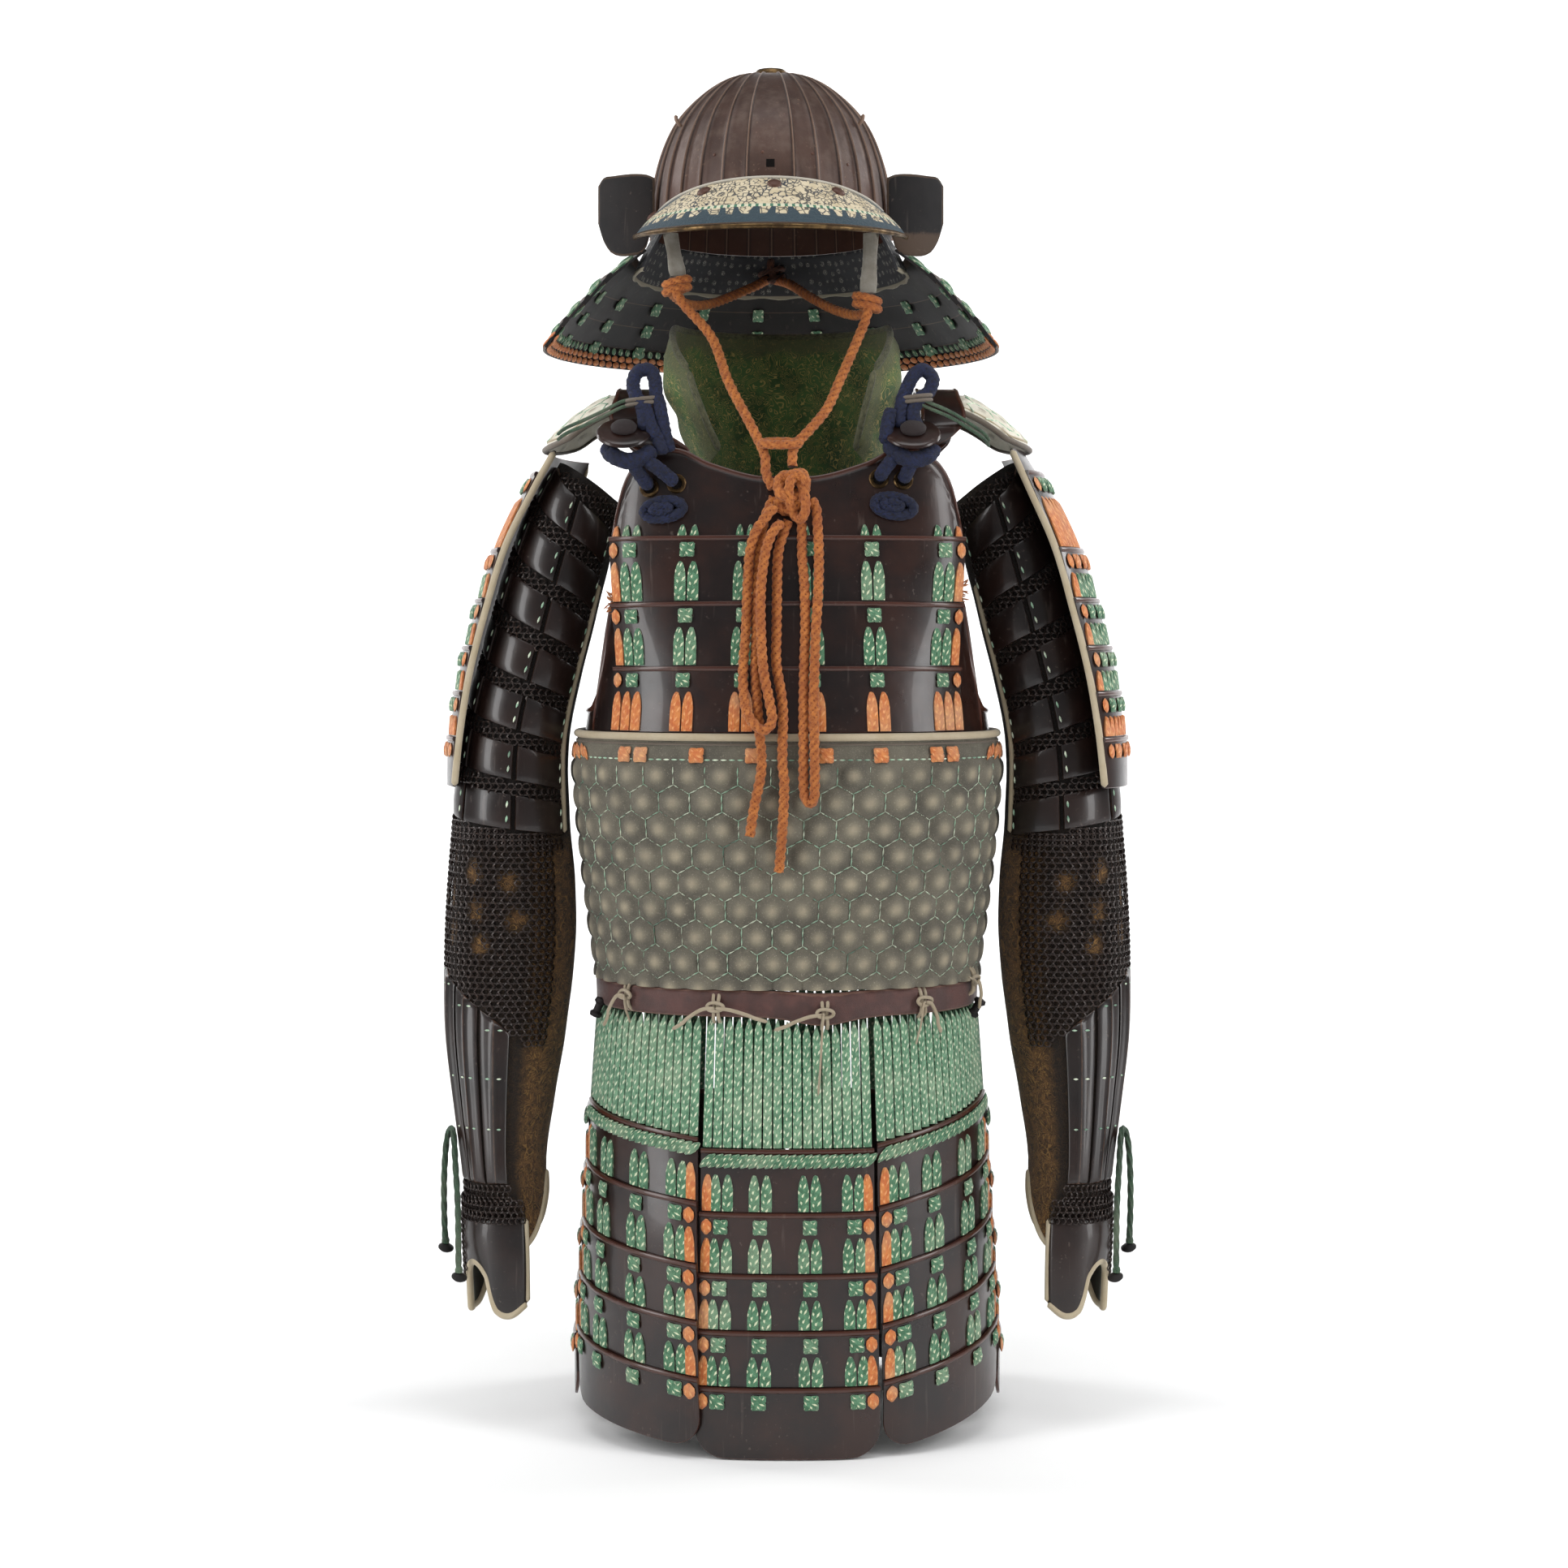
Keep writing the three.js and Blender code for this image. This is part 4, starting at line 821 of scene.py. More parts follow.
def quilted_leather():
    """The belly: grey-brown leather, pale on the top of each dome where a painted highlight and rubbing are
    laid together, and with painted shade in its valleys.
    """
    f = Finish("quilted leather", Sheen_Weight=0.1, Sheen_Roughness=0.5)
    w = f.place()[2]
    grain = f.group(shared("grain"), Size=1.1)
    marks = f.group(shared("mottle"), Size=34.0)
    base = f.blend(marks["Mottle"], colour("hide"), tone(76, 72, 62))
    # painted highlight on each dome's top, patchy so that it also stands for rubbing
    top = f.times(f.between(w, 0.4, 1.05), f.add(0.1, f.times(f.noise(26, 4), 1.3)))
    base = f.blend(f.calc("MINIMUM", f.times(top, 0.72), 0.9), base, tone(176, 164, 138))
    # painted shade in the valleys between the domes
    base = f.blend(f.times(f.between(w, 0.16, 0.0), 0.7), base, tone(58, 53, 45))
    base = f.blend(f.times(f.between(f.noise(1.1, 4, 0.7), 0.56, 0.7), 0.35), base, tone(190, 180, 158))
    f.set(Base_Color=base, Roughness=f.add(0.62, f.times(f.noise(8, 4), 0.25)))
    f.relief((grain["Height"], 0.2), (f.noise(2.5, 5, 0.7), 0.25))
    return f


def printed_leather():
    """The peak: a pale filigree on blue, with a stitched line and a row of scallops along the rim."""
    f = Finish("printed leather", Sheen_Weight=0.1)
    u, v, _ = f.place()
    flat = f.joined(u, f.times(v, 0.52))
    wide = f.noise(9, 2, at=flat)
    bent = f.node("VectorMath", {0: flat, 1: f.joined(f.times(wide, 3.0), f.times(wide, 2.0))},
                  operation="ADD").outputs[0]
    web = f.between(f.cells(3.6, bent, 0.9, "DISTANCE_TO_EDGE"), 0.05, 0.12)
    rings = f.cells(13.0, flat, 0.7)
    ring = f.between(f.calc("ABSOLUTE", f.calc("SUBTRACT", rings, 0.36)), 0.08, 0.04)
    pattern = f.calc("MAXIMUM", web, ring)
    pale = f.blend(f.between(f.noise(12, 4), 0.35, 0.7), tone(214, 200, 170), tone(196, 180, 146))
    ground = f.blend(f.between(f.noise(20, 3), 0.4, 0.6), tone(78, 74, 66), tone(36, 44, 56))
    body = f.blend(f.times(pattern, 0.92), ground, pale)
    away = f.cells(44, flat, 0.9)
    flowers = f.between(f.calc("ABSOLUTE", f.calc("SUBTRACT", away, 0.1)), 0.035, 0.02)
    body = f.blend(f.times(flowers, 0.85), body, tone(206, 104, 60))
    wave = f.calc("FRACT", f.add(f.calc("DIVIDE", u, 11.5), f.times(f.noise(30, 1, at=flat), 1.6)))
    tooth = f.calc("ABSOLUTE", f.calc("SUBTRACT", wave, 0.5))
    slant = f.add(tooth, f.times(f.calc("SUBTRACT", v, 64.0), 0.011))
    below = f.times(f.between(v, 64.0, 65.0), f.between(slant, 0.36, 0.41))
    scallop = f.calc("MAXIMUM", f.between(v, 79.0, 81.0), below)
    corner = f.add(f.calc("ABSOLUTE", u), f.times(v, -0.5), f.times(f.noise(12, 3), 12.0))
    scallop = f.calc("MAXIMUM", scallop, f.times(f.between(corner, 80.0, 84.0), f.between(v, 44.0, 40.0)))
    border = f.blend(f.noise(5, 4), tone(20, 42, 54), tone(32, 58, 68))
    body = f.blend(scallop, body, border)
    line = f.between(f.calc("ABSOLUTE", f.calc("SUBTRACT", v, 64.0)), 3.4, 2.2)
    dash = f.calc("GREATER_THAN", f.calc("FRACT", f.calc("DIVIDE", u, 4.6)), 0.42)
    thread = f.blend(dash, tone(58, 110, 84), tone(206, 204, 178))
    body = f.blend(line, body, thread)
    body = f.blend(f.between(v, 94.5, 95.5), body, tone(82, 60, 40))
    f.set(Base_Color=body, Roughness=0.62, Metallic=f.times(f.between(v, 94.5, 95.5), 0.7))
    f.relief((pattern, 0.16), (f.noise(1.2, 4, 0.7), 0.12), (line, 0.5))
    return f


def sprigged_leather():
    """Inner band of the helmet: dark leather with rows of small pale sprigs."""
    f = Finish("sprigged leather")
    u, v, _ = f.place()
    flat = f.joined(u, v)
    sprig = f.cells(7.5, flat, 0.35)
    petals = f.calc("SINE", f.times(f.noise(2.4, 1, at=flat), 38.0))
    mask = f.times(f.between(sprig, 0.36, 0.24), f.between(petals, -0.1, 0.5))
    base = f.blend(f.noise(24, 3), tone(28, 29, 33), tone(50, 50, 54))
    base = f.blend(f.times(mask, 0.62), base, tone(176, 174, 164))
    hem = f.between(v, 126.2, 125.4)
    base = f.blend(f.times(hem, 0.8), base, tone(150, 142, 122))
    f.set(Base_Color=base, Roughness=0.7)
    f.relief((mask, 0.12), (f.noise(1.4, 4, 0.7), 0.15))
    return f


def braided(name, base_tone, shade_tone, fleck_tone, fleck=0.9, pitch=3.0, rib=0.35):
    """Silk lace: braided threads, flecks of a second colour, and painted shade where threads meet."""
    f = Finish(name, Sheen_Weight=0.25, Sheen_Roughness=0.4)
    u, v, _ = f.place()
    braid = f.group(shared("braid"), Across=u, Along=v, Pitch=pitch, Fleck=6.4)
    fibre = f.group(shared("fibre"), Size=0.7)
    base = f.blend(fibre["Clumps"], base_tone, shade_tone)
    # painted shade in the grooves where the threads meet
    base = f.blend(f.times(f.calc("SUBTRACT", 1.0, braid["Valley"]), 0.6), base, shade_tone)
    base = f.blend(f.times(f.between(f.noise(45, 3), 0.45, 0.7), 0.22), base, tone(196, 206, 176))
    base = f.blend(f.times(braid["Flecks"], fleck), base, fleck_tone)
    f.set(Base_Color=base, Roughness=f.add(0.6, f.times(fibre["Fuzz"], 0.3)))
    f.relief((braid["Height"], rib), (fibre["Fuzz"], 0.25))
    return f


def green_lace():
    return braided("green lace", colour("green"), tone(62, 106, 76), tone(222, 226, 192))


def pale_green_lace():
    return braided("pale green lace", tone(122, 164, 130), tone(78, 122, 92), tone(224, 228, 200))


def orange_lace():
    return braided("orange lace", colour("orange"), tone(196, 104, 52), tone(248, 190, 130), 0.5, 1.5, 0.25)


def green_cord():
    return braided("green cord", tone(52, 100, 72), tone(28, 60, 44), tone(150, 160, 104), 0.6, 2.0)


def corded(name, base_tone, dark_tone, light_tone, size=0.8, sheen=0.12):
    """Laid cord: fibres along its strands, with painted shade between them."""
    f = Finish(name, Sheen_Weight=sheen, Sheen_Roughness=0.45)
    u, v, w = f.place()
    fibre = f.group(shared("fibre"), Size=size)
    threads = f.noise(0.6, 3, 0.6, at=f.joined(f.times(u, 1.4), f.times(v, 0.16)))
    base = f.blend(fibre["Clumps"], base_tone, dark_tone)
    base = f.blend(f.times(f.between(threads, 0.42, 0.66), 0.65), base, light_tone)
    base = f.blend(f.times(f.between(f.noise(30, 4), 0.42, 0.66), 0.35), base, dark_tone)
    # painted shade in the grooves between strands, deepest at the bottom of each groove
    base = f.blend(f.times(f.between(w, 0.66, 0.2), 0.9), base, dark_tone)
    base = f.blend(f.times(f.between(w, 0.36, 0.0), 0.8), base, tone(34, 20, 14))
    f.set(Base_Color=base, Roughness=0.82)
    f.relief((threads, 0.3), (fibre["Fuzz"], 0.35))
    return f


def chin_cord():
    return corded("chin cord", colour("chin_cord"), tone(136, 66, 24), tone(206, 136, 72))


def old_cord():
    return corded("old cord", tone(92, 52, 36), tone(52, 30, 24), tone(132, 84, 58))


def blue_cord():
    return corded("blue cord", colour("blue"), tone(6, 10, 28), tone(26, 40, 86), 0.6, 0.05)


def collar_brocade():
    """The collar: dark green cloth with fine gold scrolls, worn grey-green along its edge."""
    f = Finish("collar brocade", Sheen_Weight=0.12, Sheen_Roughness=0.5)
    u, v, w = f.place()
    flat = f.joined(u, v)
    weave = f.group(shared("weave"), Across=u, Along=v, Pitch=1.0)
    curl = f.noise(13, 1, 0.5, at=flat, warp=1.1)
    scroll = f.between(f.calc("ABSOLUTE", f.calc("SINE", f.times(curl, 40.0))), 0.46, 0.2)
    leaf = f.between(f.cells(7.0, flat, 0.8), 0.2, 0.12)
    gold = f.times(f.calc("MAXIMUM", scroll, leaf), f.between(f.noise(8, 3), 0.34, 0.46))
    base = f.blend(f.between(f.noise(30, 4), 0.4, 0.65), colour("brocade"), tone(52, 78, 42))
    base = f.blend(f.times(gold, 0.85), base, tone(186, 164, 100))
    fray = f.between(f.add(w, f.times(f.noise(4, 4), 0.3)), 0.55, 0.95)
    base = f.blend(f.times(fray, 0.75), base, tone(90, 90, 64))
    fibre = f.group(shared("fibre"), Size=0.7)
    base = f.blend(f.times(fibre["Fuzz"], 0.2), base, tone(90, 100, 70))
    f.set(Base_Color=base, Roughness=0.85)
    f.relief((weave["Height"], 0.12), (f.noise(16, 3), 1.4), (fibre["Fuzz"], 0.3))
    return f


def sleeve_brocade():
    """Sleeve cloth: worn brown pile with gold threads over a dark ground."""
    f = Finish("sleeve brocade", Sheen_Weight=0.1, Sheen_Roughness=0.6, Specular_IOR_Level=0.15)
    u, v, w = f.place()
    flat = f.joined(u, v)
    pile = f.noise(7, 5, 0.75, at=flat, warp=1.0)
    hair = f.noise(0.9, 4, 0.75)
    curl = f.noise(16, 2, 0.5, at=flat, warp=1.2)
    scroll = f.between(f.calc("ABSOLUTE", f.calc("SINE", f.times(curl, 30.0))), 0.4, 0.16)
    base = f.blend(f.between(pile, 0.36, 0.62), tone(26, 18, 12), tone(86, 60, 34))
    base = f.blend(f.times(scroll, 0.55), base, tone(142, 106, 58))
    base = f.blend(f.times(f.between(hair, 0.45, 0.7), 0.45), base, tone(130, 98, 58))
    outside = f.calc("MAXIMUM", f.between(u, 100.0, 86.0), f.between(u, 196.0, 206.0))
    base = f.blend(f.times(outside, f.between(w, 0.8, 0.2), 0.9), base, tone(22, 17, 15))
    upper = f.between(f.add(v, f.times(f.noise(30, 3), 24.0)), -352.0, -330.0)
    base = f.blend(f.times(upper, 0.9), base, tone(20, 15, 13))
    f.set(Base_Color=base, Roughness=0.92)
    f.relief((hair, 0.7), (pile, 0.8))
    return f


def collar_binding():
    return corded("collar binding", tone(86, 86, 62), tone(52, 56, 38), tone(118, 116, 86), 0.9, 0.2)


def dark_cloth():
    f = Finish("dark cloth", Specular_IOR_Level=0.1)
    u, v, w = f.place()
    weave = f.group(shared("weave"), Across=u, Along=v, Pitch=1.6)
    base = f.blend(f.noise(12, 5, 0.7), tone(10, 9, 9), tone(24, 19, 17))
    holes = f.between(w, 0.3, 0.8)
    base = f.blend(f.times(holes, 0.8), base, tone(112, 84, 58))
    f.set(Base_Color=base, Roughness=0.9)
    f.relief((weave["Height"], 0.3), (f.noise(3, 4), 0.5))
    return f


def mail_iron():
    f = Finish("mail iron", Coat_Weight=0.15)
    base = f.blend(f.noise(6, 4), tone(28, 24, 24), tone(52, 38, 32))
    base = f.blend(f.times(f.between(f.noise(2, 3), 0.58, 0.7), 0.4), base, tone(92, 64, 46))
    f.set(Base_Color=base, Roughness=f.add(0.34, f.times(f.noise(3, 3), 0.25)), Metallic=0.5)
    f.relief((f.noise(0.8, 3), 0.08))
    return f


def old_brass():
    f = Finish("old brass")
    marks = f.group(shared("mottle"), Size=9.0)
    base = f.blend(marks["Mottle"], tone(108, 86, 56), tone(66, 50, 33))
    base = f.blend(f.between(f.noise(3, 5, 0.7), 0.52, 0.68), base, tone(60, 50, 34))
    f.set(Base_Color=base, Roughness=f.add(0.28, f.times(marks["Mottle"], 0.25)), Metallic=0.9)
    f.relief((f.noise(1.2, 4), 0.06))
    return f


def stitch_thread():
    f = Finish("stitch thread", Sheen_Weight=0.2)
    base = f.blend(f.between(f.noise(7, 3), 0.44, 0.56), tone(150, 186, 158), tone(210, 220, 196))
    base = f.blend(f.between(f.noise(40, 3), 0.5, 0.7), base, tone(84, 120, 100))
    f.set(Base_Color=base, Roughness=0.8)
    f.relief((f.noise(0.5, 3), 0.1))
    return f


def white_stage():
    f = Finish("stage white")
    f.set(Base_Color=f.blend(f.noise(400, 3), (0.93, 0.93, 0.93, 1), (0.95, 0.95, 0.95, 1)), Roughness=0.9)
    return f


FINISH_MAKERS = {maker.__name__: maker for maker in (
    russet_iron, black_lacquer, dull_lacquer, sleeve_lacquer, belt_leather, pale_leather, thong_leather,
    loop_leather, wing_leather, dark_leather, quilted_leather, printed_leather, sprigged_leather,
    green_lace, pale_green_lace, orange_lace, green_cord, chin_cord, old_cord, blue_cord,
    collar_brocade, collar_binding, sleeve_brocade, dark_cloth, mail_iron, old_brass,
    stitch_thread, white_stage,
)}


class ArmourSizes(bpy.types.PropertyGroup):
    lace_width: bpy.props.FloatProperty(
        name="Lace width", description="Width of one flat lace", default=0.0096, unit="LENGTH")
    lace_thickness: bpy.props.FloatProperty(
        name="Lace thickness", description="Thickness of one flat lace", default=0.003, unit="LENGTH")
    knot_size: bpy.props.FloatProperty(
        name="Knot size", description="Size of a cross knot", default=0.0150, unit="LENGTH")
    hexagon: bpy.props.FloatProperty(
        name="Hexagon width", description="Width of one quilted hexagon of the belly", default=0.0252,
        unit="LENGTH")
    dome: bpy.props.FloatProperty(
        name="Dome height", description="How far a hexagon's middle stands out", default=0.0052,
        unit="LENGTH")
    mail_ring: bpy.props.FloatProperty(
        name="Mail ring", description="Radius of one ring of the mail", default=0.0026, unit="LENGTH")
    cord: bpy.props.FloatProperty(
        name="Chin cord", description="Diameter of the chin cord", default=0.008, unit="LENGTH")
    wrist_cord: bpy.props.FloatProperty(
        name="Wrist cord", description="Diameter of the wrist cords", default=0.005, unit="LENGTH")
    view_distance: bpy.props.FloatProperty(
        name="View distance", description="From the camera to the middle of the armour", default=2.4,
        unit="LENGTH")


class ArmourColours(bpy.types.PropertyGroup):
    iron: bpy.props.FloatVectorProperty(
        name="Helmet iron", description="Russet of the helmet bowl", subtype="COLOR", size=4,
        default=tone(72, 49, 39))
    lacquer: bpy.props.FloatVectorProperty(
        name="Lacquer", description="Brown-black of the plates", subtype="COLOR", size=4,
        default=tone(24, 15, 14))
    green: bpy.props.FloatVectorProperty(
        name="Green lace", description="Ground colour of the green laces", subtype="COLOR", size=4,
        default=tone(92, 140, 106))
    orange: bpy.props.FloatVectorProperty(
        name="Orange lace", description="Colour of the orange laces", subtype="COLOR", size=4,
        default=tone(218, 138, 72))
    chin_cord: bpy.props.FloatVectorProperty(
        name="Chin cord", description="Colour of the twisted chin cord", subtype="COLOR", size=4,
        default=tone(184, 108, 44))
    blue: bpy.props.FloatVectorProperty(
        name="Blue cord", description="Colour of the shoulder cords", subtype="COLOR", size=4,
        default=tone(12, 19, 50))
    brocade: bpy.props.FloatVectorProperty(
        name="Collar", description="Ground colour of the collar's brocade", subtype="COLOR", size=4,
        default=tone(78, 108, 58))
    piping: bpy.props.FloatVectorProperty(
        name="Piping", description="Pale leather of the piping", subtype="COLOR", size=4,
        default=tone(222, 212, 188))
    hide: bpy.props.FloatVectorProperty(
        name="Belly leather", description="Grey-brown of the quilted leather", subtype="COLOR", size=4,
        default=tone(98, 93, 80))
    belt: bpy.props.FloatVectorProperty(
        name="Belt", description="Brown of the waist belt", subtype="COLOR", size=4,
        default=tone(82, 48, 42))


def sizes():
    return bpy.context.scene.armour_sizes


def thousandths(value):
    return value / MM


# The stage, with the camera where the photograph was taken from

VIEW_X = -0.0028
VIEW_Z = -0.196
FRAME_WIDE = 1.3524
FRAME_MIDDLE_Z = -0.312


def build_stage():
    scene = bpy.context.scene
    distance = sizes().view_distance
    data = bpy.data.cameras.new("view")
    data.lens = data.sensor_width * distance / FRAME_WIDE
    data.shift_y = (FRAME_MIDDLE_Z - VIEW_Z) / FRAME_WIDE
    camera = bpy.data.objects.new("view", data)
    camera.location = (VIEW_X, -distance, VIEW_Z)
    camera.rotation_euler = (math.pi / 2, 0, 0)
    scene.collection.objects.link(camera)
    scene.camera = camera

    lamps = [
        ("lamp_left", (-2.3, -1.4, 0.3), (0, 0, -0.25), 0.8, 2.8, 46),
        ("lamp_right", (2.3, -1.4, 0.3), (0, 0, -0.25), 0.8, 2.8, 46),
        ("lamp_top", (0.0, -0.9, 2.3), (0, 0, -0.2), 2.4, 1.6, 30),
        ("lamp_front", (0.0, -3.4, 0.9), (0, 0, -0.4), 2.2, 1.4, 16),
        ("lamp_wall_left", (-2.3, 1.0, 1.1), (-0.3, 3.3, 0.4), 1.6, 1.6, 70),
        ("lamp_wall_right", (2.3, 1.0, 1.1), (0.3, 3.3, 0.4), 1.6, 1.6, 70),
    ]
    for name, spot, aim, wide, tall, power in lamps:
        light = bpy.data.lights.new(name, "AREA")
        light.shape = "RECTANGLE"
        light.size, light.size_y = wide, tall
        light.energy = power
        lamp = bpy.data.objects.new(name, light)
        lamp.location = spot
        aim = Vector(aim) - lamp.location
        lamp.rotation_euler = aim.to_track_quat("-Z", "Y").to_euler()
        lamp.visible_glossy = name != "lamp_front"
        scene.collection.objects.link(lamp)

    world = bpy.data.worlds.new("studio")
    world.use_nodes = True
    world.node_tree.nodes["Background"].inputs[0].default_value = (0.95, 0.97, 1.0, 1)
    world.node_tree.nodes["Background"].inputs[1].default_value = 0.2
    scene.world = world
    scene.view_settings.view_transform = "Standard"

    floor = CAD_BOX[0].z - 0.001
    bend = [(2.4 + math.sin(a), floor + 1 - math.cos(a)) for a in np.linspace(0, math.pi / 2, 12)]
    profile = [(-4.5, floor), *bend, (3.4, floor + 4.5)]
    half = 5.0
    points = [(x, y, z) for y, z in profile for x in (-half, half)]
    faces = [(2 * i, 2 * i + 1, 2 * i + 3, 2 * i + 2) for i in range(len(profile) - 1)]
    mesh = bpy.data.meshes.new("stage_floor")
    mesh.from_pydata(points, [], faces)
    mesh.shade_smooth()
    mesh.materials.append(finish("white_stage"))
    stage = bpy.data.objects.new("stage_floor", mesh)
    scene.collection.objects.link(stage)


# Free cords: their routes are those of the solids, in metres

CORD_LEFT = [
    (-0.0184, 0.1256, 0.139), (-0.021, 0.116, 0.137), (-0.027, 0.098, 0.131), (-0.048, 0.070, 0.118),
    (-0.069, 0.036, 0.106), (-0.086, -0.006, 0.101), (-0.097, -0.040, 0.105), (-0.095, -0.064, 0.106),
    (-0.086, -0.070, 0.092), (-0.063, -0.080, 0.064), (-0.049, -0.098, 0.026), (-0.034, -0.112, -0.004),
    (-0.024, -0.121, -0.024), (-0.0184, -0.126, -0.038), (-0.0175, -0.129, -0.052),
    (-0.012, -0.133, -0.0645),
]
CORD_RIGHT = [
    (-0.0096, 0.1256, 0.139), (-0.006, 0.116, 0.137), (0.004, 0.098, 0.131), (0.020, 0.062, 0.116),
    (0.040, 0.020, 0.100), (0.058, -0.018, 0.090), (0.068, -0.044, 0.090), (0.068, -0.066, 0.090),
    (0.064, -0.070, 0.076), (0.055, -0.080, 0.054), (0.044, -0.094, 0.028), (0.033, -0.108, 0.003),
    (0.020, -0.118, -0.014), (0.008, -0.124, -0.027), (0.0044, -0.1284, -0.035), (0.004, -0.1315, -0.047),
]
LEFT_LOOP = [
    (-0.0105, -0.139, -0.080), (-0.018, -0.142, -0.089), (-0.026, -0.142, -0.101),
    (-0.0305, -0.141, -0.118), (-0.0325, -0.1415, -0.147), (-0.0337, -0.144, -0.180),
    (-0.036, -0.1475, -0.215), (-0.0345, -0.152, -0.240), (-0.030, -0.1575, -0.252),
    (-0.020, -0.162, -0.261), (-0.0125, -0.160, -0.254), (-0.0145, -0.156, -0.238),
    (-0.0195, -0.1535, -0.212), (-0.0215, -0.1505, -0.180), (-0.0215, -0.1475, -0.147),
    (-0.018, -0.146, -0.118), (-0.012, -0.1435, -0.101), (-0.005, -0.1395, -0.093),
]
LEFT_TAIL = [
    (-0.011, -0.1296, -0.072), (-0.017, -0.1315, -0.085), (-0.021, -0.1325, -0.100),
    (-0.0235, -0.1345, -0.118), (-0.025, -0.139, -0.147), (-0.0255, -0.1418, -0.180),
    (-0.026, -0.145, -0.212), (-0.0245, -0.1485, -0.240), (-0.0227, -0.1518, -0.262),
    (-0.021, -0.1535, -0.284), (-0.022, -0.1535, -0.300), (-0.027, -0.153, -0.324),
    (-0.0305, -0.1525, -0.347),
]
MIDDLE_TAIL = [
    (0.001, -0.1326, -0.0908), (-0.003, -0.1324, -0.101), (-0.0075, -0.1345, -0.118),
    (-0.0085, -0.1392, -0.147), (-0.0088, -0.142, -0.180), (-0.009, -0.145, -0.207),
    (-0.005, -0.148, -0.232), (-0.0035, -0.1505, -0.250), (-0.004, -0.153, -0.270),
    (-0.004, -0.1535, -0.290), (-0.0026, -0.1535, -0.305), (-0.004, -0.153, -0.340),
    (-0.0069, -0.1515, -0.376),
]
RIGHT_LOOP = [
    (0.0115, -0.1332, -0.0915), (0.0118, -0.134, -0.101), (0.012, -0.136, -0.120),
    (0.014, -0.1396, -0.147), (0.0145, -0.1425, -0.180), (0.0135, -0.146, -0.212), (0.013, -0.150, -0.245),
    (0.013, -0.1535, -0.275), (0.013, -0.154, -0.305), (0.0145, -0.155, -0.316), (0.018, -0.156, -0.320),
    (0.0214, -0.157, -0.316), (0.022, -0.157, -0.300), (0.0218, -0.1565, -0.275),
    (0.0213, -0.1535, -0.245), (0.0218, -0.1495, -0.212), (0.023, -0.146, -0.180), (0.025, -0.142, -0.147),
    (0.0255, -0.139, -0.118), (0.0245, -0.1375, -0.095), (0.0234, -0.1368, -0.082),
    (0.0196, -0.1365, -0.0735),
]
WRIST_CORD_LEFT = [
    (-0.290, -0.040, -0.698), (-0.291, -0.040, -0.670), (-0.291, -0.039, -0.640),
    (-0.289, -0.038, -0.612), (-0.285, -0.040, -0.602), (-0.2819, -0.0486, -0.607),
    (-0.2794, -0.0574, -0.630), (-0.2764, -0.0656, -0.665), (-0.275, -0.072, -0.716),
]
KNOT_AT = (4.0, -134.0, -69.0)
CORD_LAY = 21


def free_cord(name, route, radius, material, slot, lay=CORD_LAY, strands=3):
    """A laid cord on a route in metres."""
    line = np.array(route) / MM
    rough = np.linalg.norm(np.diff(line, axis=0), axis=1).sum()
    line = spline(line, int(rough / 2.0) + 8)
    shape = Shape()
    length = add_cord(shape, line, radius * 1.12, sides=18, twist=lay, strands=strands, groove=0.42)
    piece = shape.build(name, [finish(material)], slot, [name.replace("_rope", "")], sharp=80)
    return piece


# Turns of the knot: tilt in the picture, offset from the middle, half width and half height
KNOT_TURNS = [
    (24, (1, 1.5, 2), 8.5, 16), (-30, (-1.5, -1, 3), 9.5, 13), (62, (0, -3.5, 6), 9.0, 11),
    (-8, (4, -4.5, -4), 6.5, 17), (80, (-1, 2.5, -7), 7.5, 11),
]


def knot_shape(centre, radius):
    """A tight overhand knot: turns of the cord that lie across each other."""
    shape = Shape()
    turn = ring_of(36)
    for tilt, offset, wide, tall in KNOT_TURNS:
        lean = math.radians(tilt)
        x, z = wide * np.cos(turn), tall * np.sin(turn)
        line = np.stack([x * math.cos(lean) + z * math.sin(lean), 3.2 * np.sin(2 * turn + lean),
                         z * math.cos(lean) - x * math.sin(lean)], -1)
        add_ring(shape, line + np.asarray(centre) + offset, radius, 15)
    return shape


def add_ring(shape, line, radius, sides=12, strands=3, twist=CORD_LAY, material=0):
    """A cord that closes on itself."""
    closed = np.concatenate([line, line[:1]])
    first, second = sides_of(closed)
    run = np.concatenate([[0], np.cumsum(np.linalg.norm(np.diff(closed, axis=0), axis=1))])
    turns = max(1, round(run[-1] / twist)) if strands else 0
    turn = (2 * math.pi * turns * run / run[-1])[:, None]
    miss = math.atan2(first[-1].dot(second[0]), first[-1].dot(first[0]))
    turn = turn - miss * (run / run[-1])[:, None]
    angle = ring_of(sides)[None, :] + 0 * turn
    lobes = np.abs(np.sin(strands * (angle - turn) / 2)) if strands else np.ones(angle.shape)
    reach = radius * (0.66 + 0.34 * lobes)
    # depth, 0 in the grooves between strands, goes out as the mask for the cord's painted shade
    depth = np.concatenate([lobes, lobes[:, :1]], 1)[None, :-1]
    back = -miss * (run / run[-1])[:, None]
    x, y = reach * np.cos(angle + back), reach * np.sin(angle + back)
    points = closed[:, None] + first[:, None] * x[..., None] + second[:, None] * y[..., None]
    wide = np.concatenate([ring_of(sides), [2 * math.pi]])[None, None, :]
    shape.tubes(points[None, :-1], wide * radius, run[None, :-1, None], depth, material=material, closed=True)


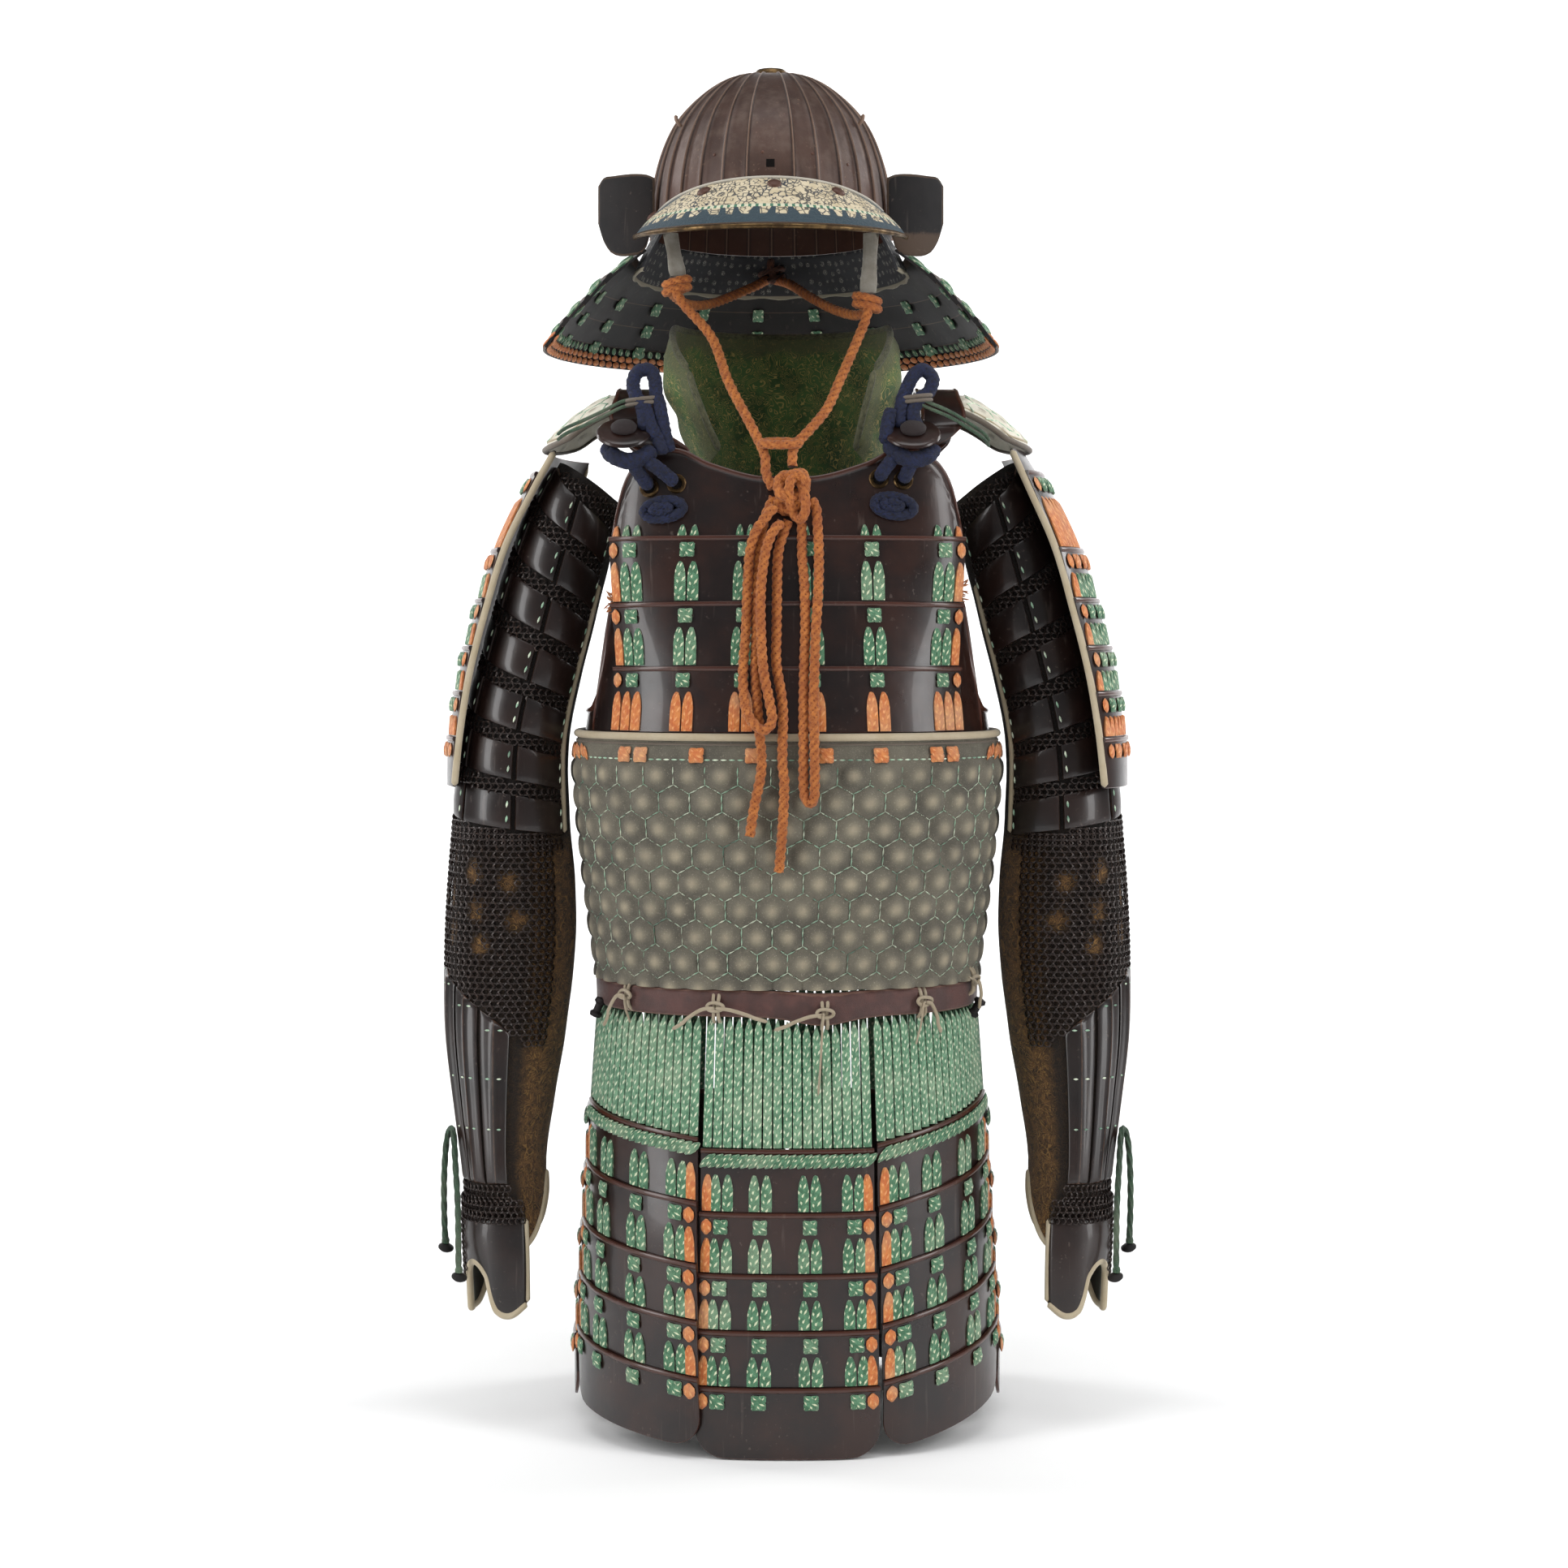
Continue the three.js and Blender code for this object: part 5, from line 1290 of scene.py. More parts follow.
def build_chin_cord():
    radius = thousandths(sizes().cord) / 2
    knot = knot_shape(KNOT_AT, radius * 1.1)
    turn = ring_of(40)
    band = np.stack([-5.6 + 15.5 * np.cos(turn), -126.5 + 5.5 * np.sin(turn), -27.5 + 1.6 * np.sin(turn)], -1)
    add_ring(knot, band, radius * 1.05)
    for x, z, lean in ((-93, 113, 2.5), (67, 99, -2.5)):
        for k in range(2):
            wrap = np.stack([x + 9.5 * np.cos(turn), -60 + 8.5 * np.sin(turn),
                             z - 6.5 * k + lean * np.cos(turn)], -1)
            add_ring(knot, wrap, radius * 0.95)
    knot = knot.build("chin_cord_knot_turns", [finish("chin_cord")], "chin_cord", ["chin_cord_knot"], 80)
    routes = [
        ("chin_cord_left_rope", CORD_LEFT, "knot", [knot]), ("chin_cord_right_rope", CORD_RIGHT, "knot", []),
        ("chin_cord_loop_left_rope", LEFT_LOOP, "knot", []), ("chin_cord_tail_left_rope", LEFT_TAIL, "bare",
                                                              []),
        ("chin_cord_tail_middle_rope", MIDDLE_TAIL, "bare", []),
        ("chin_cord_loop_right_rope", RIGHT_LOOP, "knot", []),
    ]
    for name, route, far_end, pieces in routes:
        free_cord(name, route, radius, "chin_cord", "chin_cord")


def build_wrist_cords():
    radius = thousandths(sizes().wrist_cord) / 2
    for side, sign in (("left", 1), ("right", -1)):
        route = [(sign * x, y, z) for x, y, z in WRIST_CORD_LEFT]
        ends = Shape()
        for x, y, z in (route[0], route[-1]):
            spot = np.array([x, y, z]) / MM
            add_lathe(ends, [(0.5, 0), (4.5, 0.4), (6.6, 2.2), (6.6, 3.6), (4.0, 5.6), (0.5, 6.2)],
                      spot - (0, 0, 7.5), (0.25 * sign, -0.3, 1.0), 18)
            add_lathe(ends, [(0.4, 0), (3.2, 0.6), (3.4, 3), (2.4, 5.4), (0.4, 6)], spot - (0, 0, 1.5),
                      (0.1, -0.1, 1.0), 14, material=1)
        toggles = ends.build(f"wrist_toggles_{side}", [finish("dull_lacquer"), finish("green_cord")],
                             "black_lacquer")
        free_cord(f"wrist_cord_{side}_rope", route, radius, "green_cord", "green_cord",
                  9, 4)


# Helmet

PEAK_HALF = 118
RIVET_PLACES = [(-63, 20), (-11, 17), (36, 20), (-104, 26), (82, 26)]


def bowl_shape():
    rest = (BOWL_FORM.girth - FRONT_PLATE) / RIBS
    ridges = FRONT_PLATE / 2 + rest * np.arange(RIBS + 1)
    near = [r + d for r in ridges for d in (-2.8, -1.5, -0.8, 0, 0.8, 1.5, 2.8)]
    between = [r + rest * f for r in ridges[:-1] for f in (0.3, 0.5, 0.7)]
    s = np.sort(np.concatenate([near, between, np.linspace(-16, 16, 9)]))
    t = 298 - 138 * np.linspace(0, 1, 34) ** 1.75
    off = s - FRONT_PLATE / 2
    away = np.abs(off - rest * np.clip(np.round(off / rest), 0, RIBS))
    narrow = column([(300, 0.3), (286, 0.55), (262, 0.8), (158, 1.0)], 1, t)[None]
    away = away[:, None]
    ridge = RIB_HEIGHT * 1.05 * np.exp(-(away / 1.0) ** 2) + 0.9 * np.exp(-(away / 3.2) ** 2)
    hollow = 0.6 * ease(away, 2, rest / 2)
    flange = 1.6 * ease(t, 167, 161)[None]
    outer = ridge * narrow * ease(t, 298.2, 295)[None] + hollow * narrow * 0.6 + flange + 0.2
    # ridge mask: drives the rubbed wear, the painted shade beside each ridge and the painted highlight on its
    # top
    mask = np.exp(-(away / 1.3) ** 2) + 0 * t[None]
    shape = Shape()
    shape.wall(BOWL_FORM, s, t[None] + 0 * away, outer, np.full_like(outer, -2.6), mask, closed=True)
    return shape


def peak_form(s, t):
    """The peak: across the brow, and 0 to 100 from its hinge on the bowl out to its rim."""
    s, t = np.broadcast_arrays(np.asarray(s, float), np.asarray(t, float))
    bend = (s / PEAK_HALF) ** 2
    hinge = raised(BOWL_FORM, s, 191 - 18 * bend, RIB_HEIGHT + 1.4 + 0 * s)
    rim = raised(BOWL_FORM, s, 170 + 0 * s, 1 + 0 * s)
    out = rim - (HELMET_X, HELMET_Y, 0)
    out[..., 2] = 0
    out /= np.linalg.norm(out, axis=-1, keepdims=True)
    rim = rim + out * (52 - 26 * bend)[..., None]
    rim[..., 2] = 145 + 6 * bend
    reach = (t / 100)[..., None]
    point = hinge + (rim - hinge) * reach
    point[..., 2] += 10 * reach[..., 0] * (1 - reach[..., 0])
    return point


def add_rivet(shape, form, s, t, size, lift, sign=1, material=0):
    centre = raised(form, s, t, lift)
    axis = (raised(form, s, t, lift + 1) - centre) * sign
    profile = [(size * 0.25, -1.5), (size, -1.2), (size, 0), (size * 0.86, size * 0.2),
               (size * 0.5, size * 0.34), (0.2, size * 0.4)]
    add_lathe(shape, profile, centre, axis, 16, material)


def build_helmet():
    bowl_shape().build("helmet_bowl_plates", [finish("russet_iron")], "russet_iron", ["helmet_bowl"], 32)

    ring = Shape()
    centre = (HELMET_X, HELMET_Y, 297.9)
    add_lathe(ring, [(6.4, -1.2), (15.6, -0.6), (17.6, 0.6), (17.0, 2.4), (14.0, 2.8), (13.4, 4.8),
                     (12.0, 6.2), (9.2, 6.6), (7.4, 5.6)], centre, (0, 0, 1), 40)
    petals = ring_of(20)
    for angle in petals:
        spot = np.array(centre) + (13.9 * math.cos(angle), 13.9 * math.sin(angle), 1.8)
        add_lathe(ring, [(0.2, -1.4), (1.7, -0.6), (1.7, 0.5), (0.2, 1.4)], spot, (0, 0, 1), 8)
    ring.build("crown_ring_stack", [finish("old_brass")], "brass", ["crown_ring"], 50)

    fittings = Shape()
    for angle in (-60, 57):
        s = angle / 360 * BOWL_FORM.girth
        foot = raised(BOWL_FORM, s, 247, 0.5)
        out = raised(BOWL_FORM, s, 247, 1.5) - foot
        line = np.array([foot, foot + out * 3, foot + out * 6 + (0, 0, 2), foot + out * 7 + (0, 0, 6)])
        add_cord(fittings, spline(line, 12), 1.7, taper=1.5)
    for s, z in ((-52, 214), (-7, 214), (38, 214), (75, 208), (-88, 208)):
        add_rivet(fittings, BOWL_FORM, s, z, 1.5, 0.6)
    corners = [(-4.4, 200), (4.4, 200), (4.4, 208.8), (-4.4, 208.8)]
    frame_line = np.array([raised(BOWL_FORM, s, z, 0.7) for s, z in corners for _ in range(2)])
    add_ring(fittings, frame_line, 0.9, 8, 0)
    fittings.wall(BOWL_FORM, np.linspace(-3.6, 3.6, 3), np.array([[207.8, 204.4, 201.0]] * 3),
                  np.full((3, 3), 0.75), np.full((3, 3), -0.5), 0, material=1)
    fittings.build("helmet_fittings", [finish("russet_iron"), finish("dark_cloth")], "russet_iron", sharp=45)

    peak = Shape()
    s = np.linspace(-PEAK_HALF, PEAK_HALF, 69)
    t = np.array([0, 0.8, 2, *np.linspace(5, 93, 24), 95, 96.5, 98.5, 99.6, 100])
    wide = np.ones((len(s), 1))
    shell = np.where(t > 94, 3.0, PLATE)
    shell[[0, -1]] *= 0.6
    floor = np.zeros(len(t))
    floor[[0, -1]] = 0.8
    peak.wall(peak_form, s, t * wide, shell * wide, floor * wide, (t > 94) * 1.0 * wide)
    peak.build("helmet_peak_leather", [finish("printed_leather")], "printed_leather", ["helmet_peak"])

    trim = Shape()
    add_cord(trim, peak_form(s, 99.0 + 0 * s) + (0, 0, -1.2), 2.2, 10, material=0)
    add_cord(trim, peak_form(s, 1.0 + 0 * s) + (0, 0, 0.8), 1.2, 8, material=1)
    for x, t_place in RIVET_PLACES:
        place = BOWL_FORM.s_at(x, 185)
        add_rivet(trim, peak_form, place, t_place, 6.0, -0.4, -1, material=2)
    trim.build("helmet_peak_trim", [finish("old_brass"), finish("loop_leather"), finish("russet_iron")],
               "brass")

    outline = [(0, 202, 174), (7, 205, 144), (20, 206, 137), (36, 205, 139), (44, 204, 150), (49, 197, 166)]
    for side, sign in (("left", 1), ("right", -1)):
        c = np.array([0, 0.6, 2, 4, 7, 11, 15, 20, 25, 30, 34, 38, 41, 44, 46, 47.6, 48.6, 49])
        top = column(outline, 1, c)[:, None]
        low = column(outline, 2, c)[:, None]
        f = np.array([0, 0.006, 0.02, 0.05, *np.linspace(0.1, 0.9, 9), 0.95, 0.98, 0.994, 1])[None]
        edge = np.minimum(np.minimum(f, 1 - f) * (top - low), np.minimum(c, 49 - c)[:, None] + 0.2)
        round_off = 1 - 0.75 * (1 - ease(edge, 0, 1.8))
        lip = 0.9 * ease(edge, 5.2, 3.6) * ease(edge, 0, 1)
        wear = 1 - ease(edge, 0.5, 4)
        if sign < 0:
            wear = np.maximum(wear, 1.2 * ease(top + (low - top) * f, 168, 146))
        ear = Shape()
        ear.wall(ear_form, c, top + (low - top) * f, PLATE * round_off + lip, PLATE * (1 - round_off) * 0.6,
                 wear)
        if sign < 0:
            ear = ear.mirrored().moved((2 * HELMET_X, 0, 0))
        ear.build(f"ear_{side}_plate", [finish("dull_lacquer")], "black_lacquer", [f"ear_{side}"])

    band = Shape()
    half = 0.325 * BAND_FORM.girth
    s = np.linspace(-half, half, 85)
    t = np.concatenate([[159.6, 159.2], np.linspace(158, 124.5, 14), [123.4, 123.0]])[None]
    low = 0.8 * np.sin(s / 5.0)[:, None] * ease(t, 132, 123)
    thick = np.full(t.shape, 2.2)
    thick[:, [0, -1]] = 1.6
    band.wall(BAND_FORM, s, t + low, thick + 0 * low, 0.3 * (thick < 2) + 0 * low, 0)
    band.build("lining_band_leather", [finish("sprigged_leather")], "sprigged_leather", ["lining_band"])

    for side, top, end in (("left", (-99, -42, 156), (-92, -54, 118)),
                           ("right", (71, -42, 156), (68, -54, 104))):
        top, end = np.array(top, float), np.array(end, float)
        strap = Shape()
        t = -np.linspace(0, 100, 22)
        thick = column([(-100, 3.0), (-50, 4.0), (0, 2.5)], 1, t)

        def loop_form(s, t, top=top, end=end):
            s, t = np.broadcast_arrays(s, t)
            point = top + (end - top) * (-t / 100)[..., None]
            reach = s * column([(-100, 6.6), (-84, 7.2), (-50, 6.0), (0, 6.6)], 1, t)
            return point + np.stack([reach, 0 * s, 0 * s], -1)

        across = np.linspace(-1, 1, 9)[:, None]
        pinch = np.sqrt(np.clip(1.04 - across ** 4, 0.1, 1))
        strap.wall(loop_form, across[:, 0], t[None] + 0 * across, thick[None] * (0.5 + 0.5 * pinch),
                   thick[None] * (0.5 - 0.5 * pinch), 1 - pinch + 0 * t)
        strap.build(f"cord_loop_{side}_strap", [finish("loop_leather")], "loop_leather",
                    [f"cord_loop_{side}"])

    back = Shape()
    turn = ring_of(24)
    for lift, lean in ((146, 0.3), (139, -0.3)):
        line = np.stack([-14 + 10.5 * np.cos(turn), 121.5 + 6.2 * np.sin(turn),
                         lift + 3 * np.cos(turn + lean)], -1)
        add_ring(back, line, 2.6, 10, 3, 12)
    add_cord(back, spline([(-14, 118, 158), (-15, 116, 150), (-13, 115, 142), (-14, 117, 134)], 20), 3.4, 12,
             flat=0.6, taper=4)
    back.build("helmet_back_loop", [finish("old_cord")], "chin_cord")


def ear_form(c, z):
    c, z = np.broadcast_arrays(np.asarray(c, float), np.asarray(z, float))
    return np.stack([HELMET_X - 98 - c, -52 + 0.1 * c + 0.004 * c * c, z], -1)


def neck_form(s, z):
    return NECK_FORM(s * (1 + 0.0015 * (z - 60)), z)


def add_dots(shape, form, places, base, long, wide, thick, lean=0.0, rise=1, count=5, sides=6):
    """Small rounded stitches, each at (s, t) and leaning from upright."""
    places = np.asarray(places, float)
    if not len(places):
        return
    t = np.linspace(-1, 1, count)[None, :, None]
    angle = ring_of(sides)[None, None, :]
    lean = np.broadcast_to(np.asarray(lean, float), len(places))[:, None, None]
    round_off = np.sqrt(np.clip(1.03 - t ** 2, 0.04, 1))
    run = t * long / 2
    across = wide / 2 * round_off * np.cos(angle)
    s = places[:, 0][:, None, None] + run * np.sin(lean) + across * np.cos(lean)
    z = places[:, 1][:, None, None] + run * np.cos(lean) - across * np.sin(lean)
    h = (base + thick / 2 * (1 + round_off * np.sin(angle)) - 0.3) * rise
    wide_mark = np.cos(ring_of(sides + 1, 0))[None, None, :]
    shape.tubes(raised(form, s, z, h), wide_mark, run + places[:, 0][:, None, None], 0.4)


def lame_rows(top, end, step, thick, lip, spans):
    """Rows down a lame from its raised rim at top to its end: t, outer, inner and rim mask, each (n, k)."""
    top = np.atleast_1d(np.asarray(top, float))[:, None]
    end = np.atleast_1d(np.asarray(end, float))[:, None]
    down = np.sign(end - top)
    length = np.abs(end - top)
    near = np.array([0, 0.4, 1.1, 1.9, 2.7, 3.5, 4.1, 4.8])[None]
    far = np.linspace(0, 1, spans + 1)[None]
    d = np.concatenate([near + 0 * length, 6 + (length - 7.2) * far, length - 0.4, length], 1)
    inner = step * (1 - d / length)
    bulge = np.sqrt(np.clip(1 - ((d - 1.9) / 2.1) ** 2, 0, 1))
    outer = inner + thick + lip * bulge
    outer[:, 0] = (inner + thick * 0.7)[:, 0]
    inner[:, 0] += thick * 0.3
    outer[:, -1] = (inner + thick * 0.75)[:, -1]
    worn = np.maximum(1 - ease(d, 3.0, 5.4), 0.9 * ease(d, length - 1.2, length - 0.3))
    return top + down * d, outer, inner, worn


def add_lame(shape, form, s, top, end, step=STEP, thick=PLATE, lip=LIP, spans=6):
    """One lame, which stands out by step at its rim and lies on the form at its end."""
    t, outer, inner, mask = lame_rows(top, end, step, thick, lip, spans)
    grid = np.zeros((len(s), 1))
    shape.wall(form, s, t + grid, outer + grid, inner + grid, mask + grid)


def build_neck_guard():
    lames = Shape()
    green, orange = Shape(), Shape()
    half = 0.285 * NECK_FORM.girth
    s = np.linspace(-half, half, 73)
    ends = [rim - 6 for rim in NECK_RIMS[1:]] + [NECK_END]
    for rim, end in zip(NECK_RIMS, ends):
        add_lame(lames, neck_form, s, rim, end, 2.2, thick=2.0, lip=0.9, spans=5)
    width = thousandths(sizes().lace_width)
    columns = np.linspace(-half + 34, half - 34, 11)
    laces, knots = [], []
    for k, rim in enumerate(NECK_RIMS):
        low = NECK_RIMS[k + 1] + 1 if k < 3 else NECK_END + 13
        for c in columns:
            laces += [(c + d, rim - 10.5, c + d, low, width, 2.9, 1.9) for d in (-4.7, 4.7)]
            knots.append((c, rim - 6.2))
        for side in (-1, 1):
            for d in (7, 16, 25):
                laces.append((side * (half - d), rim - 5, side * (half - d), low, width, 3.4, 1.9))
    add_laces(green, neck_form, laces, 0, 2.8)
    add_knots(green, neck_form, knots, 3.6, 12.5)
    inside = [(c, rim - 8) for rim in NECK_RIMS[1:] for c in columns + 12]
    add_knots(green, neck_form, inside, -1.9, 12.5)
    row = np.arange(-half + 5, half - 4, 7.4)
    for face, base in ((1, 2.2), (-1, 0.3)):
        add_dots(green, neck_form, [(c, NECK_END + 14.5) for c in row], base, 6.5, 4.4, 2.2, 0.6, rise=face)
        for k, z in enumerate((NECK_END + 3.6, NECK_END + 8.8)):
            dots = [(c + 3.7 * k, z) for c in row]
            add_dots(orange, neck_form, dots, base, 6.8, 5.0, 2.4, 1.3, rise=face)
    lames.build("neck_guard_lames", [finish("dull_lacquer")], "black_lacquer", ["neck_guard"])
    green.build("neck_guard_green_laces", [finish("green_lace")], "green_lace", sharp=70)
    orange.build("neck_guard_orange_rows", [finish("orange_lace")], "green_lace", sharp=70)


def collar_shape_rows():
    half = 0.37 * COLLAR_FORM.girth
    s = np.linspace(-half, half, 85)
    turn = np.abs(s)[:, None] / half
    top = 84 - 46 * np.clip((turn - 0.62) / 0.38, 0, 1) ** 1.6
    low = -62 + 34 * np.clip((turn - 0.7) / 0.3, 0, 1)
    flare = 12 * np.clip((turn - 0.6) / 0.4, 0, 1) ** 2
    f = np.concatenate([[0, 0.01, 0.03], np.linspace(0.07, 0.93, 26), [0.97, 0.99, 1]])[None]
    return s, turn, top, low, flare, f


def build_collar():
    s, turn, top, low, flare, f = collar_shape_rows()
    t = top + (low - top) * f
    swell = 4.4 * np.sqrt(np.clip(1 - (2 * f - 1) ** 4, 0.02, 1)) * np.sqrt(np.clip(1.02 - turn ** 8, 0.02,
                                                                                    1))
    folds = 1.5 * np.sin(s[:, None] / 13 + 1.6 * np.sin(t / 19)) + 1.0 * np.sin(t / 6.0 + s[:, None] / 15)
    soft = ease(np.minimum(f, 1 - f), 0, 0.12)
    edge = np.minimum(np.minimum(f * (top - low), (1 - turn) * 200), 30)
    collar = Shape()
    collar.wall(COLLAR_FORM, s, t, flare * (1 - f) + swell + folds * soft,
                flare * (1 - f) - swell + folds * soft,
                1 - ease(edge, 2, 30) * (0.8 + 0.2 * np.sin(s[:, None] / 7 + t / 9)))
    piece = collar.build("collar_padding", [finish("collar_brocade")], "collar_brocade", ["collar"], 80)
    bind = Shape()
    line = raised(COLLAR_FORM, s, top[:, 0], flare[:, 0])
    add_cord(bind, line, 3.0, 10, taper=6)
    for sign in (-1, 1):
        end = np.full(24, s[-1] * sign)
        rows = top[-1, 0] + (low[-1, 0] - top[-1, 0]) * np.linspace(0, 1, 24)
        add_cord(bind, raised(COLLAR_FORM, end, rows, flare[-1, 0] * (1 - np.linspace(0, 1, 24))), 2.8, 10,
                 taper=6)
    bind.build("collar_binding", [finish("collar_binding")], "collar_brocade", sharp=80)


# Cuirass

CHEST_COLUMNS = [-122.8, -79.6, -35.2, 19.9, 68.3, 117.5]
CHEST_EDGE = CHEST_HALF - 5.4
LACE_DROP = 19.5
KNOT_DROP = 11.5


def stand(down, length):
    """How far a lame's face stands out, down mm below its rim."""
    return PLATE + STEP * (1 - down / length)


def dress(green, orange, form, rims, end, columns, edges, hangs=False):
    """Laces and cross knots of a stack of lames: pairs at the columns and single orange ones at the edges.
    A stack that hangs has no knots on its first lame and no laces on its last."""
    width = thousandths(sizes().lace_width)
    thick = thousandths(sizes().lace_thickness)
    size = thousandths(sizes().knot_size)
    pairs, single = [], []
    for k, rim in enumerate(rims):
        final = k == len(rims) - 1
        low = end if final else rims[k + 1] + 1
        length = rim - low + (0 if final else LAP)
        rise = [stand(LACE_DROP, length) - 0.5, stand(rim - low, length) - 0.4]
        height = stand(KNOT_DROP, length) - 0.1
        if k or not hangs:
            add_knots(green, form, [(c, rim - KNOT_DROP) for c in columns], height, size, thick * 1.1)
            add_dots(orange, form, [(c, rim - KNOT_DROP) for c in edges], height, 12.5, 9.0, thick * 1.2)
        if final and hangs:
            continue
        target = single if final else pairs
        target += [(c + d, rim - LACE_DROP, c + d, low, width, *rise) for c in columns for d in (-5, 5)]
        single += [(c, rim - LACE_DROP, c, low, width, *rise) for c in edges]
    add_laces(green, form, pairs, 0, thick)
    add_laces(orange, form, single, 0, thick)


def top_plate(form, tops, s):
    """Chest or back plate with its rolled neck and arm edges."""
    top = column(tops, 1, np.abs(s))
    slope = np.gradient(top, s)
    cosine = 1 / np.sqrt(1 + slope ** 2)
    end = CHEST_RIMS[0] - LAP
    f = np.array([0, 0.5, 1.2, 2.0, 2.8, 3.6, 4.4, 5.2])
    d = f[None] / cosine[:, None]
    d = np.minimum(d, (top - end)[:, None] * np.linspace(0.01, 0.6, len(f))[None] + 0 * d)
    d = np.where(f[None] / cosine[:, None] < d, f[None] / cosine[:, None], d)
    start = d[:, -1:]
    rest = start + ((top - end)[:, None] - start) * np.linspace(0.05, 1, 16)[None]
    d = np.concatenate([d, rest], 1)
    across = d * cosine[:, None]
    bead = 1.8 * np.sqrt(np.clip(1 - ((across - 2.2) / 2.3) ** 2, 0, 1))
    arm = ease(np.abs(s), 112, 122)[:, None]
    second = 0.9 * np.exp(-((across - 8.5) / 1.3) ** 2) * arm
    outer = PLATE + bead + second
    outer[:, 0] = PLATE * 0.7
    inner = 0 * outer
    inner[:, 0] = PLATE * 0.3
    shape = Shape()
    shape.wall(form, s, top[:, None] - d, outer, inner, np.maximum(1 - ease(across, 3.4, 5.4), second * 0.7))
    return shape


def chest_form(s, z):
    """The chest's face, flatter and wider than the body towards the shoulders."""
    point = TORSO_FORM(s, z).copy()
    reach = ease(np.abs(s), 50, CHEST_HALF) * ease(z, -240, -95)
    point[..., 0] += np.sign(s) * 14 * reach
    point[..., 1] -= 15 * reach
    return point


def chest_place(x, z):
    """How far along the chest's face a place lies that is x from the middle."""
    s = np.linspace(-CHEST_HALF, CHEST_HALF, 121)
    return float(np.interp(x, chest_form(s, z + 0 * s)[:, 0], s))


def back_form(s, z):
    return TORSO_FORM(TORSO_FORM.girth / 2 + s, z)


def build_cuirass():
    s = np.sort(np.concatenate([np.linspace(-CHEST_HALF, CHEST_HALF, 63),
                                [x * q for x in (134, 140, 143, 145, 147.5, 149.2) for q in (-1, 1)]]))
    green, orange = Shape(), Shape()
    for name, form, tops, replaced in (("chest", chest_form, CHEST_TOP, ["chest_plate"]),
                                       ("back", back_form, BACK_TOP, ["back_plate"])):
        plate = top_plate(form, tops, s)
        plate.build(f"{name}_top_plate", [finish("black_lacquer")], "black_lacquer", replaced, 35)
    edge = np.linspace(-CHEST_HALF, CHEST_HALF, 81)
    for form, label in ((chest_form, "chest"), (back_form, "back")):
        stack = Shape()
        for k, rim in enumerate(CHEST_RIMS):
            end = CHEST_RIMS[k + 1] - LAP if k < 2 else CHEST_END
            if label == "chest":
                lame = Shape()
                add_lame(lame, form, edge, rim, end)
                lame.build(f"chest_lame_{k + 1}_plate", [finish("black_lacquer")], "black_lacquer",
                           [f"chest_lame_{k + 1}"])
            else:
                add_lame(stack, form, edge, rim, end)
        if stack.faces:
            stack.build("back_lame_stack", [finish("black_lacquer")], "black_lacquer", ["back_lames"])
        columns = [TORSO_FORM.s_at(x, -150) for x in CHEST_COLUMNS]
        columns[0], columns[-1] = -CHEST_HALF + 20.6, CHEST_HALF - 20.6
        edges = [-CHEST_EDGE, CHEST_EDGE]
        if label == "back":
            columns = sorted(-c for c in columns)
        dress(green, orange, form, CHEST_RIMS, CHEST_END + 1, columns, edges)
        stubs = [(c + d, -93.5, c + d, CHEST_RIMS[0] - 1, 8.6) for c in columns for d in (-4.7, 4.7)]
        add_laces(green, form, stubs, PLATE + 0.1, 3.2, count=6)
        add_laces(orange, form, [(c, -94, c, CHEST_RIMS[0] - 1, 8.6) for c in edges], PLATE + 0.1, 3.2,
                  count=6)
    green.build("cuirass_green_laces", [finish("green_lace")], "green_lace", sharp=70)
    orange.build("cuirass_orange_laces", [finish("orange_lace")], "green_lace", sharp=70)

    reach = TORSO_FORM.girth / 4 - CHEST_HALF + 14
    rows = [(0, -246), (reach * 0.4, -244), (reach * 0.5, -236), (reach * 0.555, -216), (reach * 0.57, -172),
            (reach * 0.6, -158), (reach * 0.66, -149), (reach * 0.74, -145), (reach, -144)]
    s = np.linspace(-reach, reach, 57)
    top = column(rows, 1, np.abs(s))
    cosine = 1 / np.sqrt(1 + np.gradient(top, s) ** 2)
    d = np.array([0, 0.5, 1.2, 2.0, 2.8, 3.6, 4.4])[None] / cosine[:, None]
    depth = (top - CHEST_END)[:, None]
    d = np.minimum(d, depth * np.linspace(0.01, 0.5, 7)[None])
    d = np.concatenate([d, d[:, -1:] + (depth - d[:, -1:]) * np.linspace(0.1, 1, 9)[None]], 1)
    across = d * cosine[:, None]
    bead = 2.0 * np.sqrt(np.clip(1 - ((across - 2.0) / 2.1) ** 2, 0, 1))
    for side, sign in (("left", 1), ("right", -1)):
        plate = Shape()
        plate.wall(lambda s, z: raised(TORSO_FORM, s - TORSO_FORM.girth / 4, z, -1.2 + 0 * s), s,
                   top[:, None] - d, -0.4 + bead, -PLATE - 0.4 + 0 * bead, 1.1 * (1 - ease(across, 3.6, 6)))
        if sign < 0:
            plate = plate.mirrored()
        plate.build(f"side_plate_{side}_rim", [finish("black_lacquer")], "black_lacquer",
                    [f"side_plate_{side}"])
    build_tufts()


